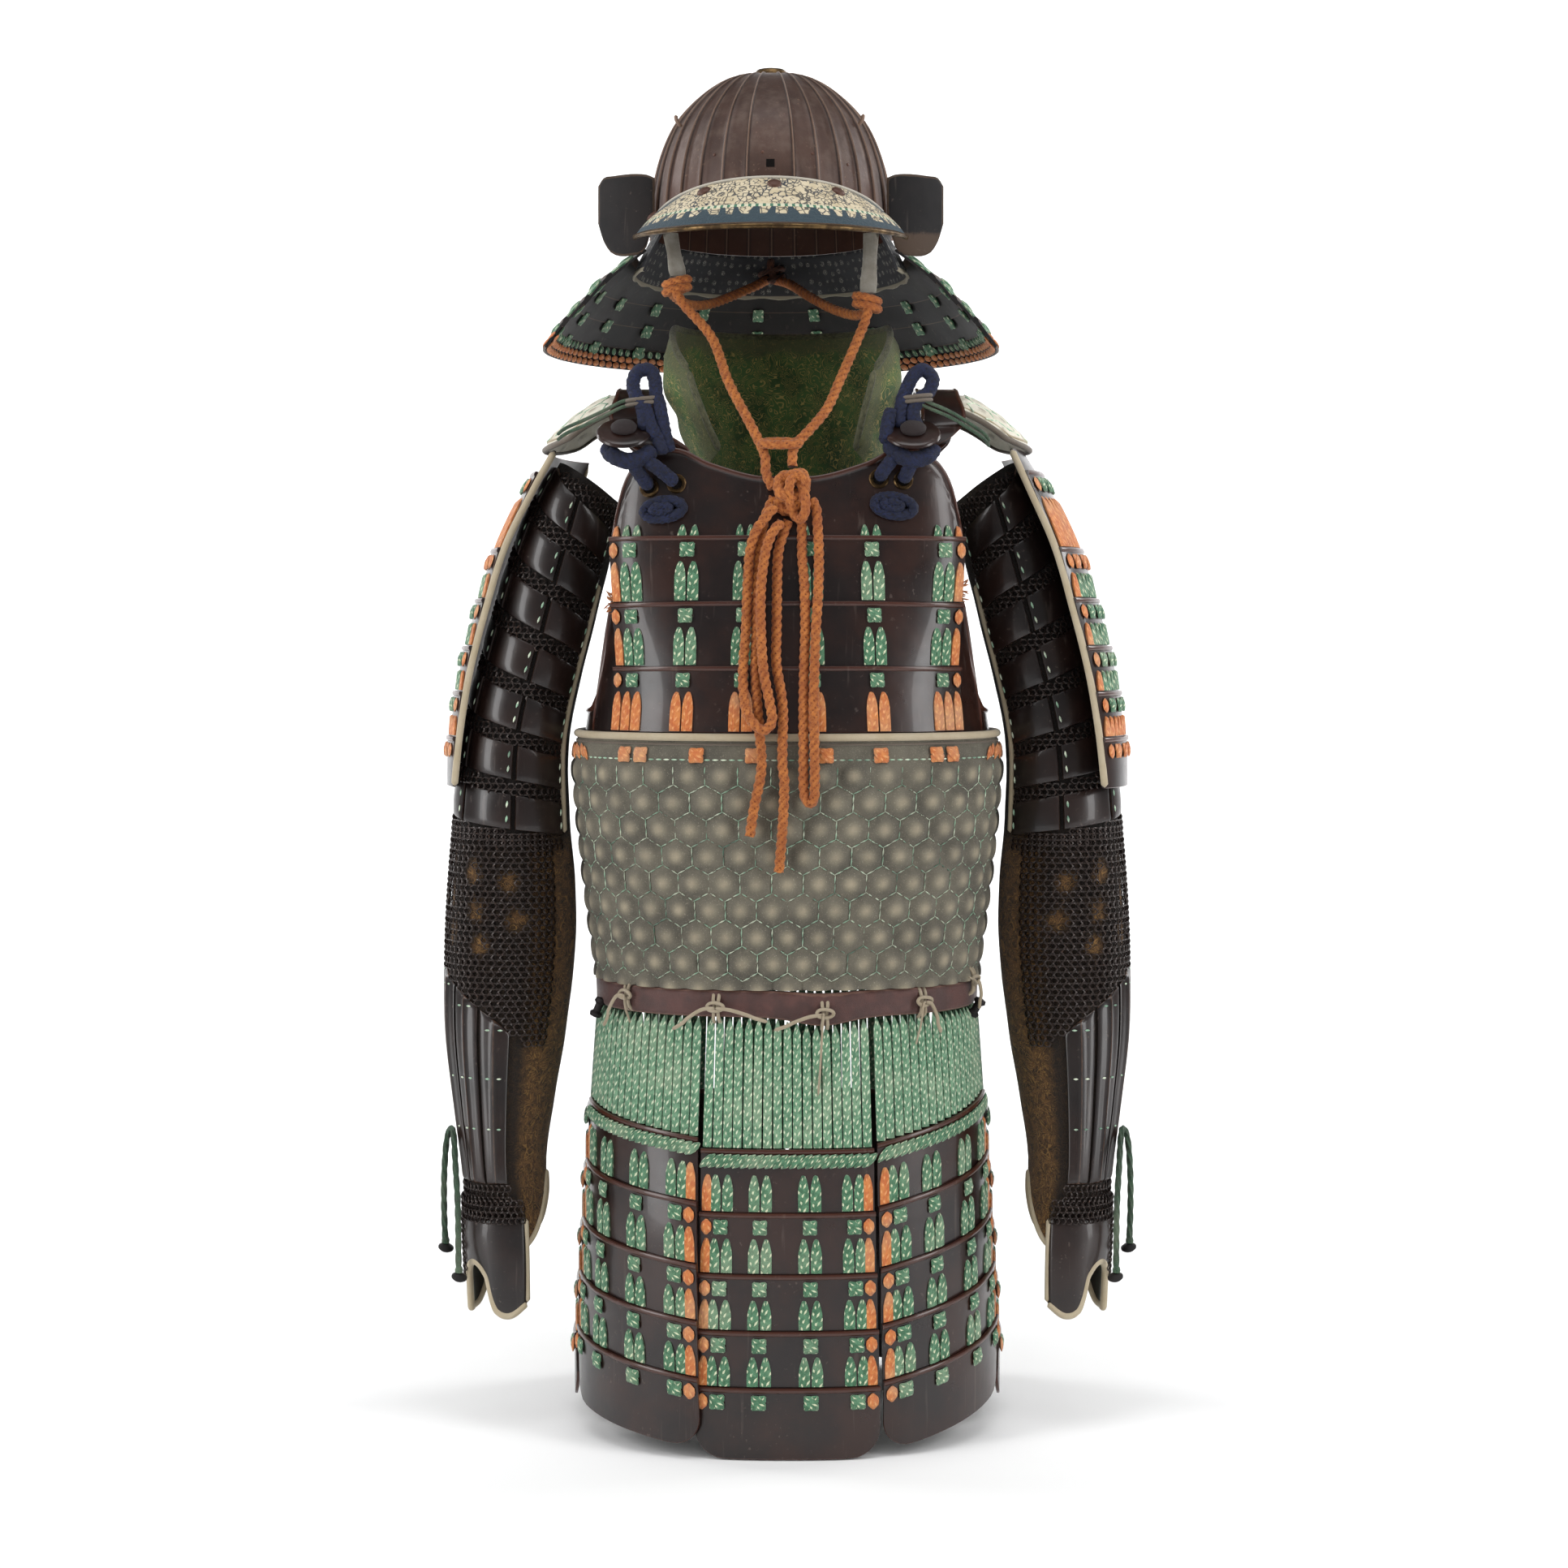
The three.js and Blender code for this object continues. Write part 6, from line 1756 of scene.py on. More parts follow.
def build_tufts():
    """Frayed ends of the side laces, at the armpits."""
    tufts = Shape()
    for side, z in ((-1, -156), (1, -146)):
        root = raised(TORSO_FORM, side * (CHEST_HALF - 1), z, 5.5)
        for _ in range(34):
            swing = RANDOM.uniform(-1, 1, 3)
            tip = root + np.array([side * (11 + 5 * swing[0]), -3 + 7 * swing[1], -2 + 11 * swing[2]])
            middle = root * 0.4 + tip * 0.6 + RANDOM.uniform(-2.5, 2.5, 3)
            add_cord(tufts, spline([root, middle, tip], 7), 0.7, 5, taper=3)
        add_cord(tufts, spline([root + (2 * side, 0, -8), root + (4 * side, -1, 0),
                                root + (-4 * side, -1, 8)], 12),
                 3.6, 10, taper=4)
    tufts.build("armpit_tufts", [finish("orange_lace")], "green_lace", sharp=80)


# Belly

def hexagons(s, z, wide, top=HEX_TOP - 5):
    """For places in the plane: how far each is from the middle of its hexagon, 1 on the edge, and how far
    in a straight line, 1 at the middle of an edge."""
    row = wide * math.sqrt(3) / 2
    best, mark = np.full(np.broadcast(s, z).shape, 1e9), None
    for k in (0, 1):
        line = np.floor((top - z) / row) + k
        shift = np.mod(line, 2) * wide / 2
        dx = s - shift - wide * np.round((s - shift) / wide)
        dz = z - (top - line * row)
        away = dx * dx + dz * dz
        edge = np.maximum.reduce([np.abs(dx * math.cos(a) + dz * math.sin(a)) for a in
                                  (0, math.pi / 3, -math.pi / 3)]) / (wide / 2)
        mark = edge if mark is None else np.where(away < best, edge, mark)
        best = np.minimum(best, away)
    return np.clip(mark, 0, 1), np.sqrt(best) / (wide / 2)


def build_belly():
    wide = thousandths(sizes().hexagon)
    dome = thousandths(sizes().dome)
    row = wide * math.sqrt(3) / 2
    half = TORSO_FORM.girth / 4 - 0.2
    stitches, trim, orange = Shape(), Shape(), Shape()
    for name, centre, across, down in (("front", 0, 172, 68), ("back", TORSO_FORM.girth / 2, 104, 42)):
        s = np.linspace(-half, half, across)
        z = np.concatenate([[BELLY_TOP, BELLY_TOP - 0.8], np.linspace(BELLY_TOP - 3, BELLY_END + 1.4, down),
                            [BELLY_END + 0.4, BELLY_END]])[None]
        m, far = hexagons(s[:, None], z, wide)
        swell = np.clip(1 - (0.75 * m + 0.25 * np.minimum(far, 1.1)) ** 2.4, 0, 1)
        band = ease(z, HEX_TOP + 7, HEX_TOP + 2)
        wave = 0.5 * np.sin(s[:, None] / 37 + z / 23) + 0.3 * np.sin(s[:, None] / 11 - z / 15)
        outer = 3.0 + 0.85 * band * dome * swell + (1 - band) * 0.8 + wave * 0.3 - 0.5 * band * ease(m, 0.86,
                                                                                                     1)
        outer[:, [0, -1]] = 1.6
        inner = 0 * outer
        inner[:, [0, -1]] = 0.8
        skin = Shape()
        # the last argument is the mask for the painted highlight on each dome and the painted shade in its
        # valleys
        skin.wall(lambda a, b, c=centre: TORSO_FORM(c + a, b), s, z, outer, inner,
                  band * (0.3 * ease(m, 1, 0.8) + 0.75 * (1 - far) ** 1.4) + (1 - band) * 0.35)
        piece = skin.build(f"belly_{name}_quilting", [finish("quilted_leather")], "quilted_leather",
                           [f"belly_{name}"], 80)

        def form(a, b, c=centre):
            return TORSO_FORM(c + a, b)

        places, leans = [], []
        for k in range(12):
            level = HEX_TOP - 5 - k * row
            for j in range(int(-half // wide) - 1, int(half // wide) + 2):
                x = (j + 0.5 * (k % 2)) * wide
                for a in (math.pi, -math.pi / 3, math.pi / 3):
                    mid = np.array([x + math.cos(a) * wide / 2, level + math.sin(a) * wide / 2])
                    for f in (-3.7, 3.7):
                        spot = mid + f * np.array([-math.sin(a), math.cos(a)])
                        if abs(spot[0]) < half - 3 and BELLY_END + 4 < spot[1] < HEX_TOP + 4:
                            places.append(spot)
                            leans.append(math.atan2(-math.sin(a), math.cos(a)) + 0.06)
        add_dots(stitches, form, places, 3.1, 7.2, 1.2, 1.5, np.array(leans), count=3, sides=4)
        line = np.arange(-half + 4, half - 3, 6.4)
        add_dots(stitches, form, [(c, HEX_TOP + 8) for c in line], 3.6, 4.8, 1.5, 1.4, math.pi / 2, count=4,
                 sides=5)
        edge = np.linspace(-half, half, 90)
        pipe = raised(form, edge, np.full(90, BELLY_TOP - 3.6), np.full(90, 4.6))
        add_cord(trim, pipe, 3.2, 12)
        add_cord(trim, raised(form, edge, np.full(90, BELLY_TOP - 9.4), np.full(90, 3.8)), 1.1, 6, material=1)
        knots = [TORSO_FORM.s_at(x, -281) for x in (-131, -118, -73, -28, 31, 75, 120, 133)]
        add_knots(orange, form, [(c, -282.5) for c in knots], 4.0, 15, 3.2)
        slant = [(side * (half - 6 - 7.5 * k), -283 + 2 * (k % 2)) for k in range(9) for side in (-1, 1)]
        add_dots(orange, form, slant, 3.8, 14, 4.6, 3.2, [0.75 * np.sign(a) for a, _ in slant])
    stitches.build("belly_stitches", [finish("stitch_thread")], "quilted_leather", sharp=80)
    trim.build("belly_piping", [finish("pale_leather"), finish("dark_leather")], "quilted_leather", sharp=80)
    orange.build("belly_orange_knots", [finish("orange_lace")], "green_lace", sharp=70)


def belt_sag(s):
    away = np.mod(s + TORSO_FORM.girth / 2, TORSO_FORM.girth) - TORSO_FORM.girth / 2 - 30
    return 7 * np.exp(-(away / 30) ** 2)


# Thongs tied round the belt: x, z, and for each tail its side, reach and drop
THONGS = [
    (-128, -482, [(-1, 26, 28), (1, 8, 22)]), (-57, -488, [(-1, 36, 18), (1, 44, 10)]),
    (30, -493, [(-1, 42, 12), (-1, 6, 66)]), (108, -486, [(-1, 10, 34), (1, 16, 26)]),
    (150, -474, [(-1, 22, -6), (1, 6, 24)]),
]


def build_belt():
    girth = TORSO_FORM.girth
    s = np.linspace(0, girth, 241)[:-1]
    t = np.concatenate([[BELT_TOP, BELT_TOP - 0.6, BELT_TOP - 2], np.linspace(BELT_TOP - 4, BELT_END + 4, 8),
                        [BELT_END + 2, BELT_END + 0.6, BELT_END]])[None]
    sag = belt_sag(s)[:, None]
    drape = sag * ease(t, BELT_TOP + 4, BELT_TOP - 6)
    edge = np.minimum(BELT_TOP - t, t - BELT_END)
    thick = 5.0 - 2.4 * (1 - ease(edge, -0.5, 2.6)) + 0.35 * np.sin(s / 19)[:, None]
    belt = Shape()
    belt.wall(TORSO_FORM, s, t - drape, thick, 0.1 + 0 * sag, 1 - ease(edge, 0, 3) + 0 * sag, closed=True)
    belt.build("waist_belt_strap", [finish("belt_leather")], "belt_leather", ["waist_belt"], 50)

    ties, pegs = Shape(), Shape()
    for x, z, tails in THONGS:
        place = TORSO_FORM.s_at(x, z)
        spot = raised(TORSO_FORM, place, z, 7.0)
        side = raised(TORSO_FORM, place + 1, z, 7.0) - spot
        side /= np.linalg.norm(side)
        out = spot - raised(TORSO_FORM, place, z, 6.0)
        for shift in (-2.2, 2.2):
            wrap = [spot + side * shift + (0, 0, 13) - out * 5, spot + side * shift + (0, 0, 7),
                    spot + side * shift * 0.6, spot + side * shift - (0, 0, 8),
                    spot + side * shift - (0, 0, 13) - out * 5]
            add_cord(ties, spline(wrap, 18), 1.5, 7, flat=0.7)
        loop = [spot + side * (7.0 * math.cos(a)) + np.array([0, 0, 3.4 * math.sin(a) + 1])
                + out * (2.6 + math.sin(2 * a)) for a in ring_of(8)]
        add_ring(ties, spline(loop, 32, True)[:-1], 1.5, 7, 0)
        for turn, reach, drop in tails:
            tail = [spot + out * 3, spot + side * reach * 0.3 * turn + out * 5 - (0, 0, 1),
                    spot + side * reach * 0.62 * turn + out * 6 - (0, 0, drop * 0.45),
                    spot + side * reach * 0.75 * turn + out * 4.5 - (0, 0, drop * 0.7),
                    spot + side * reach * turn + out * 3.5 - (0, 0, drop)]
            add_cord(ties, spline(tail, 24), 1.6, 7, flat=0.55, taper=1.5)
    for x, z in ((-166, -502), (168, -502)):
        place = TORSO_FORM.s_at(min(max(x, -152), 152), z)
        spot = raised(TORSO_FORM, place, z + 4, 8.0)
        out = spot - raised(TORSO_FORM, place, z + 4, 7.0)
        add_lathe(pegs, [(0.4, -9), (4.6, -8), (5.4, -5), (3.4, -3), (3.4, 3), (5.4, 5), (4.6, 8), (0.4, 9)],
                  spot, np.array([0.5, 0, 1]) + out * 0.1, 14)
    ties.build("belt_thongs", [finish("thong_leather")], "belt_leather", sharp=80)
    pegs.build("belt_pegs", [finish("dull_lacquer")], "black_lacquer")


# Skirt of hanging panels

def panel_form(panel, index):
    """A panel's form, whose height runs down from 0 as -t so that it stands out the way of the others."""
    _, top, tilt, swing, lift = panel
    centre = SKIRT_FORM.girth * index / TASSETS
    turn = np.sign(swing)

    def form(c, y):
        c, y = np.broadcast_arrays(np.asarray(c, float), np.asarray(y, float))
        across = c / PANEL_WIDE
        foot = np.clip(-y / TASSET_LENGTH, -0.1, 1)
        clear = lift * np.minimum(1, 3 * foot)
        inner = np.clip(across * turn + 0.5, 0, 1)
        return raised(SKIRT_FORM, centre + c + swing * foot, top + tilt * across + y, clear * inner)

    return form


def build_tasset(panel, index):
    name = panel[0]
    form = panel_form(panel, index)
    half = PANEL_WIDE / 2
    c = np.sort(np.concatenate([np.linspace(-half, half, 17),
                                [q * (half - d) for d in (0.4, 1.2, 2.4, 4.6, 8, 13) for q in (-1, 1)]]))
    corner = np.clip((np.abs(c) - half + TASSET_CORNER) / TASSET_CORNER, 0, 1)
    shorter = (TASSET_CORNER * (1 - np.sqrt(np.clip(1 - corner ** 2, 0, 1))))
    lames = Shape()
    for k, rim in enumerate(TASSET_RIMS):
        final = k == len(TASSET_RIMS) - 1
        end = TASSET_LENGTH - shorter if final else np.full(len(c), TASSET_RIMS[k + 1] + LAP)
        add_lame(lames, form, c, np.full(len(c), -float(rim)), -end, lip=1.2, spans=5)
    lames.build(f"tasset_{name}_lames", [finish("black_lacquer")], "black_lacquer", [f"tasset_{name}"], 35)
    return form, half


def build_skirt():
    for index, panel in enumerate(PANELS):
        name, top, tilt, _, _ = panel
        centre = SKIRT_FORM.girth * index / TASSETS
        form, half = build_tasset(panel, index)
        green, orange = Shape(), Shape()
        rims = [-r for r in TASSET_RIMS]
        dress(green, orange, form, rims, -TASSET_LENGTH, [-half + 17.5, -22, 18, half - 17.5],
              [-half + 6, half - 6], hangs=True)
        braid = [(c, -9.6) for c in np.arange(-half + 6, half - 4, 6.6)]
        add_dots(green, form, braid, stand(9, 59) - 0.2, 16.5, 6.6, 4.4, 0.85)
        green.build(f"tasset_{name}_green_laces", [finish("green_lace")], "green_lace", sharp=70)
        orange.build(f"tasset_{name}_orange_laces", [finish("orange_lace")], "green_lace", sharp=70)

        hang = Shape()
        places = np.linspace(-half + 4.4, half - 4.4, 17)
        wobble = RANDOM.uniform(-0.25, 0.25, (17, 2))
        upper = BELT_END - 1.2 - belt_sag(centre + places)
        lower = top + tilt * places / PANEL_WIDE + 0.8
        laces = [(p + w[0], u, p + w[1], l, 7.9) for p, u, l, w in zip(places, upper, lower, wobble)]

        def hang_form(c, z, centre=centre):
            return SKIRT_FORM(centre + c, z)

        add_laces(hang, hang_form, laces, 0.3, 4.4, 5.0, 13)
        hang.build(f"laces_{name}_cords", [finish("pale_green_lace")], "green_lace",
                   [f"laces_{name}"], 70)


# Shoulders

def strap_form(s, t):
    """The strap over the left shoulder: s across it and t from 0 in front to 100 behind."""
    s, t = np.broadcast_arrays(np.asarray(s, float), np.asarray(t, float))
    half = TORSO_FORM.girth / 2
    route = [raised(TORSO_FORM, at + s * 0.9, z, PLATE + 2.6 + 0 * s) for at, z in ((-110, -46), (-111, -34))]
    for y, z in ((-101, -12), (-56, 15), (0, 25), (54, 17), (104, -12)):
        route.append(np.stack([-127 + s, y + 0 * s, z + 0 * s], -1))
    route += [raised(TORSO_FORM, half + at - s * 0.9, z, PLATE + 2.6 + 0 * s) for at,
              z in ((111, -34), (110, -46))]
    route = np.stack(route)
    knots = np.concatenate([2 * route[:1] - route[1:2], route, 2 * route[-1:] - route[-2:-1]])
    spans = len(route) - 1
    u = np.clip(t / 100, 0, 1) * spans
    i = np.minimum(u.astype(int), spans - 1)
    f = (u - i)[..., None]
    grid = np.indices(i.shape)
    a, b, c, d = (knots[(i + k, *grid)] for k in range(4))
    return b + 0.5 * f * (c - a + f * (2 * a - 5 * b + 4 * c - d + f * (3 * (b - c) + d - a)))


WING_HEX = 20.0


def wing_form(y, t):
    y, t = np.broadcast_arrays(np.asarray(y, float), np.asarray(t, float))
    reach = t / 100 * (24 + 40 * np.sqrt(np.clip(1 - ((y + 4) / 62) ** 2, 0, 1)))
    z = 20.7 - 0.0052 * (y + 4) ** 2 - reach * 0.338 - 0.0062 * reach ** 2
    return np.stack([-143.5 - reach, y, z], -1)


def left_shoulder():
    """Shapes of one shoulder, made for the left and mirrored for the right."""
    strap = Shape()
    s = np.array([-18, -17.6, -16.4, -14.6, -10, -5, 0, 5, 10, 14.6, 16.4, 17.6, 18])
    t = np.linspace(2, 98, 60)[None]
    edge = ease(18 - np.abs(s), 0, 3.4)[:, None]
    rows = np.minimum(t - 2, 98 - t)
    roll = 2.4 * np.exp(-((rows - 3.2) / 1.6) ** 2)
    strap.wall(strap_form, s, t, 3.0 + roll + 0 * edge, 0.4 * (1 - edge) + 0 * t,
               np.maximum(1 - edge, ease(roll, 0.4, 2)))
    for n in range(2):
        add_cord(strap, strap_form(16.2 * (1 - 2 * n) + 0 * t[0], t[0]) + (0, 0, 2.4), 1.6, 8, taper=4)

    wing, dots = Shape(), Shape()
    y = np.concatenate([[-62, -61.4], np.linspace(-60, 52, 44), [53.4, 54]])
    t = np.linspace(0, 100, 28)[None]
    flat_y = y[:, None]
    reach = t / 100 * (24 + 40 * np.sqrt(np.clip(1 - ((flat_y + 4) / 62) ** 2, 0, 1)))
    m = hexagons(flat_y, reach, WING_HEX, 1)[0]
    rim = np.minimum(np.minimum(t, 100 - t) / 100 * 50, np.minimum(flat_y + 62, 54 - flat_y) + 0.4)
    swell = 1.4 + 3.0 * np.sqrt(np.clip(ease(rim, -1, 9), 0, 1)) + 1.5 * (1 - m ** 2.4) * ease(rim, 2, 8)
    wing.wall(wing_form, y, t, swell, 0 * swell, (1 - m) * 0.9)
    places, leans = [], []
    row = WING_HEX * math.sqrt(3) / 2
    for k in range(-4, 8):
        for j in range(-6, 7):
            x = (j + 0.5 * (k % 2)) * WING_HEX
            for a in (math.pi, -math.pi / 3, math.pi / 3):
                spot = np.array([x + math.cos(a) * WING_HEX / 2, 1 - k * row + math.sin(a) * WING_HEX / 2])
                far = 24 + 40 * math.sqrt(max(0, 1 - ((spot[0] + 4) / 62) ** 2))
                if -57 < spot[0] < 49 and 3 < spot[1] < far - 4:
                    places.append((spot[0], spot[1] / far * 100, far))
                    leans.append(a)
    for (py, pt, far), a in zip(places, leans):
        around = np.array([-math.sin(a), math.cos(a)])
        ends = [(py + around[0] * f, pt + around[1] * f / far * 100) for f in (-5.9, 5.9)]
        line = np.array([raised(wing_form, e[0], e[1], 4.7) for e in ends])
        add_cord(dots, np.linspace(line[0], line[1], 3), 0.75, 5)
    outline = np.concatenate([
        [(-62, q) for q in np.linspace(0, 100, 16)], [(q, 100) for q in np.linspace(-61, 53, 70)],
        [(54, q) for q in np.linspace(100, 0, 16)]])
    bound = Shape()
    line = raised(wing_form, outline[:, 0], outline[:, 1], 1.2)
    add_cord(bound, spline(line[::3], 150), 2.5, 8, taper=3)
    add_cord(bound, spline(raised(wing_form, outline[:, 0] * 0.93, np.minimum(outline[:, 1], 93), 3.6)[::3],
                           150),
             1.0, 6, taper=3, material=1)
    return strap, wing, dots, bound


def build_shoulders():
    for side, sign in (("left", 1), ("right", -1)):
        strap, wing, dots, bound = left_shoulder()
        if sign < 0:
            strap, wing, dots, bound = (shape.mirrored() for shape in (strap, wing, dots, bound))
        strap.build(f"shoulder_strap_{side}_iron", [finish("black_lacquer")], "black_lacquer",
                    [f"shoulder_strap_{side}"], 40)
        piece = wing.build(f"shoulder_wing_{side}_pad", [finish("wing_leather")], "wing_leather",
                           [f"shoulder_wing_{side}"], 80)
        dots.build(f"shoulder_wing_{side}_stitches", [finish("stitch_thread")], "wing_leather", sharp=80)
        bound.build(f"shoulder_wing_{side}_binding", [finish("dark_leather"), finish("pale_leather")],
                    "wing_leather", sharp=80)


TOGGLES = {"left": (-134, -116.6, -20), "right": (103, -118, -21)}


SHOULDER_CORDS = {
    "left": [
        [(-116.6, -118, -17), (-119.5, -114, 4), (-125, -110, 13), (-127, -106, 25), (-122, -104, 34),
         (-113, -104, 34), (-109, -106, 25), (-108, -110, 13), (-105, -113, 4), (-100, -117, -22),
         (-96, -120, -34)],
        [(-118, -112, 8), (-113, -117, -10), (-106, -120, -24), (-100, -121, -36)],
        [(-149, -114, -29), (-143, -122, -37), (-131, -127, -42), (-119, -125, -39), (-110, -119, -32)],
        [(-127, -124, -44), (-119, -118, -55), (-113, -109, -63)],
        [(-116, -123, -41), (-103, -120, -50), (-91, -114, -60)],
    ],
    "right": [
        [(92, -114, -14), (94, -110, 6), (98, -106, 18), (104, -104, 30), (112, -102, 35), (120, -102, 28),
         (117, -104, 17), (109, -108, 10), (103, -112, -2), (108, -116, -16)],
        [(86, -112, 2), (82, -117, -12), (80, -121, -28)],
        [(82, -117, -26), (90, -125, -36), (102, -129, -41), (114, -126, -38), (121, -119, -30)],
        [(88, -124, -38), (80, -121, -48), (75, -117, -56)],
        [(102, -127, -42), (98, -121, -51), (95, -112, -57)],
    ],
}
GROMMETS = [(-113, -63), (-91, -60), (75, -56), (95, -57)]
COILS = [(-101, -82, 0.1), (86.7, -79, -0.12)]


def build_toggles():
    for side, centre in TOGGLES.items():
        axis = np.array([0, -math.sin(0.6), math.cos(0.6)])
        disc = Shape()
        profile = [(0.3, -2), (13, -2), (18, -1.2), (21.6, 0.2), (22.8, 1.2), (23, 2), (22.4, 3.2), (21, 4),
                   (17, 4.4), (12, 4.8), (8, 5.5), (4, 6), (0.3, 6)]
        add_lathe(disc, profile, centre, axis, 48)
        disc.build(f"toggle_{side}_disc", [finish("black_lacquer")], "black_lacquer", [f"toggle_{side}"], 40)
        cords = Shape()
        add_lathe(cords, [(0.3, 4), (7, 4.2), (10.4, 6), (10.8, 8.2), (8.6, 10.6), (4.6, 12), (0.3, 12.4)],
                  centre, axis, 28)
        for number, route in enumerate(SHOULDER_CORDS[side]):
            thick = 7.2 if number == 2 else 5.9
            line = spline(route, len(route) * 10)
            if number > 2:
                line[-4:] += (0, -3.5, 0)
                line[4:-4] += (0, -2.0, 0)
            line += RANDOM.uniform(-0.35, 0.35, line.shape)
            add_cord(cords, line, thick, 14, taper=5, twist=30, strands=5, groove=0.1)
        top = (-119, -109, 10) if side == "left" else (105, -107, 12)
        turn = ring_of(28)
        for drop in (0, 3.6):
            line = np.stack([top[0] + 13.5 * np.cos(turn), top[1] + 8 * np.sin(turn),
                             top[2] - drop + 1.5 * np.cos(turn)], -1)
            add_ring(cords, line, 1.7, 8, 0, material=1)
        cords.build(f"toggle_{side}_cords", [finish("blue_cord"), finish("dark_leather")], "green_cord",
                    sharp=80)

    rings, wound = Shape(), Shape()
    for x, z in GROMMETS:
        place = chest_place(x, z)
        spot = raised(chest_form, place, z, PLATE + 0.2)
        out = raised(chest_form, place, z, PLATE + 1.2) - spot
        add_lathe(rings, [(4.6, -0.5), (7.6, -0.3), (8.2, 0.7), (7.2, 1.6), (5.4, 1.4), (4.6, 0.2)], spot,
                  out, 24)
        add_lathe(rings, [(0.2, -0.6), (4.8, -0.4), (4.8, 0.2), (0.2, 0.3)], spot, out, 16, material=1)
    for x, z, tilt in COILS:
        place = chest_place(x, z)
        turn = ring_of(48)
        for wide, tall, lift, thick in ((14.5, 7.4, 4.2, 4.9), (6.4, 2.4, 6.4, 4.2)):
            line = raised(chest_form, place + wide * np.cos(turn) - (1.5 if wide < 10 else 0),
                          z + tall * np.sin(turn) + wide * tilt * np.cos(turn), PLATE + lift + 0 * turn)
            line += RANDOM.uniform(-0.3, 0.3, line.shape)
            add_ring(wound, line, thick, 12, 5, 26)
    rings.build("shoulder_grommets", [finish("old_brass"), finish("dark_cloth")], "brass")
    wound.build("chest_blue_coils", [finish("blue_cord")], "green_cord", sharp=80)

    green = Shape()
    left = [(-121, -112, 11), (-136, -110, 8), (-151, -106, 1), (-168, -98, -6), (-184, -88, -12),
            (-192, -80, -17)]
    right = [(104, -112, 13), (117, -110, 7), (134, -108, 0), (150, -102, -9), (163, -94, -17),
             (168, -88, -23)]
    for route in (left, right):
        for lift in (0, 4.6):
            add_cord(green, spline([(x, y, z - lift) for x, y, z in route], 90), 1.6, 10, twist=7, strands=4,
                     groove=0.2, taper=2)
    green.build("shoulder_green_cords", [finish("green_cord")], "green_cord", sharp=80)


# Shoulder guards

def guard_form(yaw):
    return RingForm(SHOULDER_GUARD, (60, 104), 2, -math.pi / 2 + yaw)


def build_guard(side, sign, yaw, front, back):
    form = guard_form(yaw)
    s = np.sort(np.concatenate([np.linspace(-back, front, 42),
                                [-back + 0.5, -back + 1.5, front - 0.5, front - 1.5]]))
    lames, green, orange, trim = Shape(), Shape(), Shape(), Shape()
    crown = np.concatenate([[-28, -28.4, -29.4], np.linspace(-31, GUARD_RIMS[0] - 5, 7)])[None]
    heights = np.full(crown.shape, PLATE)
    heights[:, 0] = PLATE * 0.6
    lames.wall(form, s, crown, heights + 0 * s[:, None], 0 * heights + 0 * s[:, None], (crown > -29) * 1.0)
    for k, rim in enumerate(GUARD_RIMS):
        end = GUARD_RIMS[k + 1] - LAP if k < 5 else GUARD_END
        add_lame(lames, form, s, rim, end)
    width = thousandths(sizes().lace_width)
    thick = thousandths(sizes().lace_thickness)
    columns = np.linspace(-back + 16, front - 22, 8)
    edges = (-back + 5, front - 9)
    for k, rim in enumerate(GUARD_RIMS):
        low = GUARD_RIMS[k + 1] + 1 if k < 5 else GUARD_END + 14
        length = rim - low + LAP
        rise = [stand(LACE_DROP, length) - 0.5, stand(rim - low, length) - 0.4]
        height = stand(KNOT_DROP, length) - 0.1
        target = orange if k in (0, 4) else green
        if k < 5:
            pairs = [(c + d, rim - LACE_DROP, c + d, low, width, *rise) for c in columns for d in (-4.7, 4.7)]
            add_laces(target, form, pairs, 0, thick)
            add_laces(orange, form, [(e, rim - LACE_DROP, e, low, width, *rise) for e in edges], 0, thick)
        knots = [(c, rim - KNOT_DROP) for c in columns]
        add_knots(orange if k in (1, 5) else green, form, knots, height, thousandths(sizes().knot_size),
                  thick)
        add_dots(orange, form, [(e, rim - KNOT_DROP) for e in edges], height, 12, 9, thick)
    z = np.linspace(-29, GUARD_END + 1, 120)
    path = raised(form, np.full(120, front + 0.4), z, np.full(120, 1.4))
    add_cord(trim, path, 3.0, 10, taper=3)
    tail = raised(form, np.full(40, -back - 0.4), np.linspace(-29, GUARD_END + 1, 40), np.full(40, 1.4))
    add_cord(trim, tail, 2.4, 10, taper=3)
    shapes = [lames, green, orange, trim]
    if sign < 0:
        shapes = [shape.mirrored() for shape in shapes]
    lames, green, orange, trim = shapes
    lames.build(f"shoulder_guard_{side}_lames", [finish("black_lacquer")], "black_lacquer",
                [f"shoulder_guard_{side}"], 35)
    green.build(f"shoulder_guard_{side}_green_laces", [finish("green_lace")], "green_lace", sharp=70)
    orange.build(f"shoulder_guard_{side}_orange_laces", [finish("orange_lace")], "green_lace", sharp=70)
    trim.build(f"shoulder_guard_{side}_piping", [finish("pale_leather")], "wing_leather", sharp=80)


def build_guards():
    build_guard("left", 1, 0.0, 62, 112)
    build_guard("right", -1, 0.2, 72, 100)


# Sleeves

MAIL_WIRE = 0.78


def mail_edge(s):
    return column(MAIL_EDGE, 1, s)


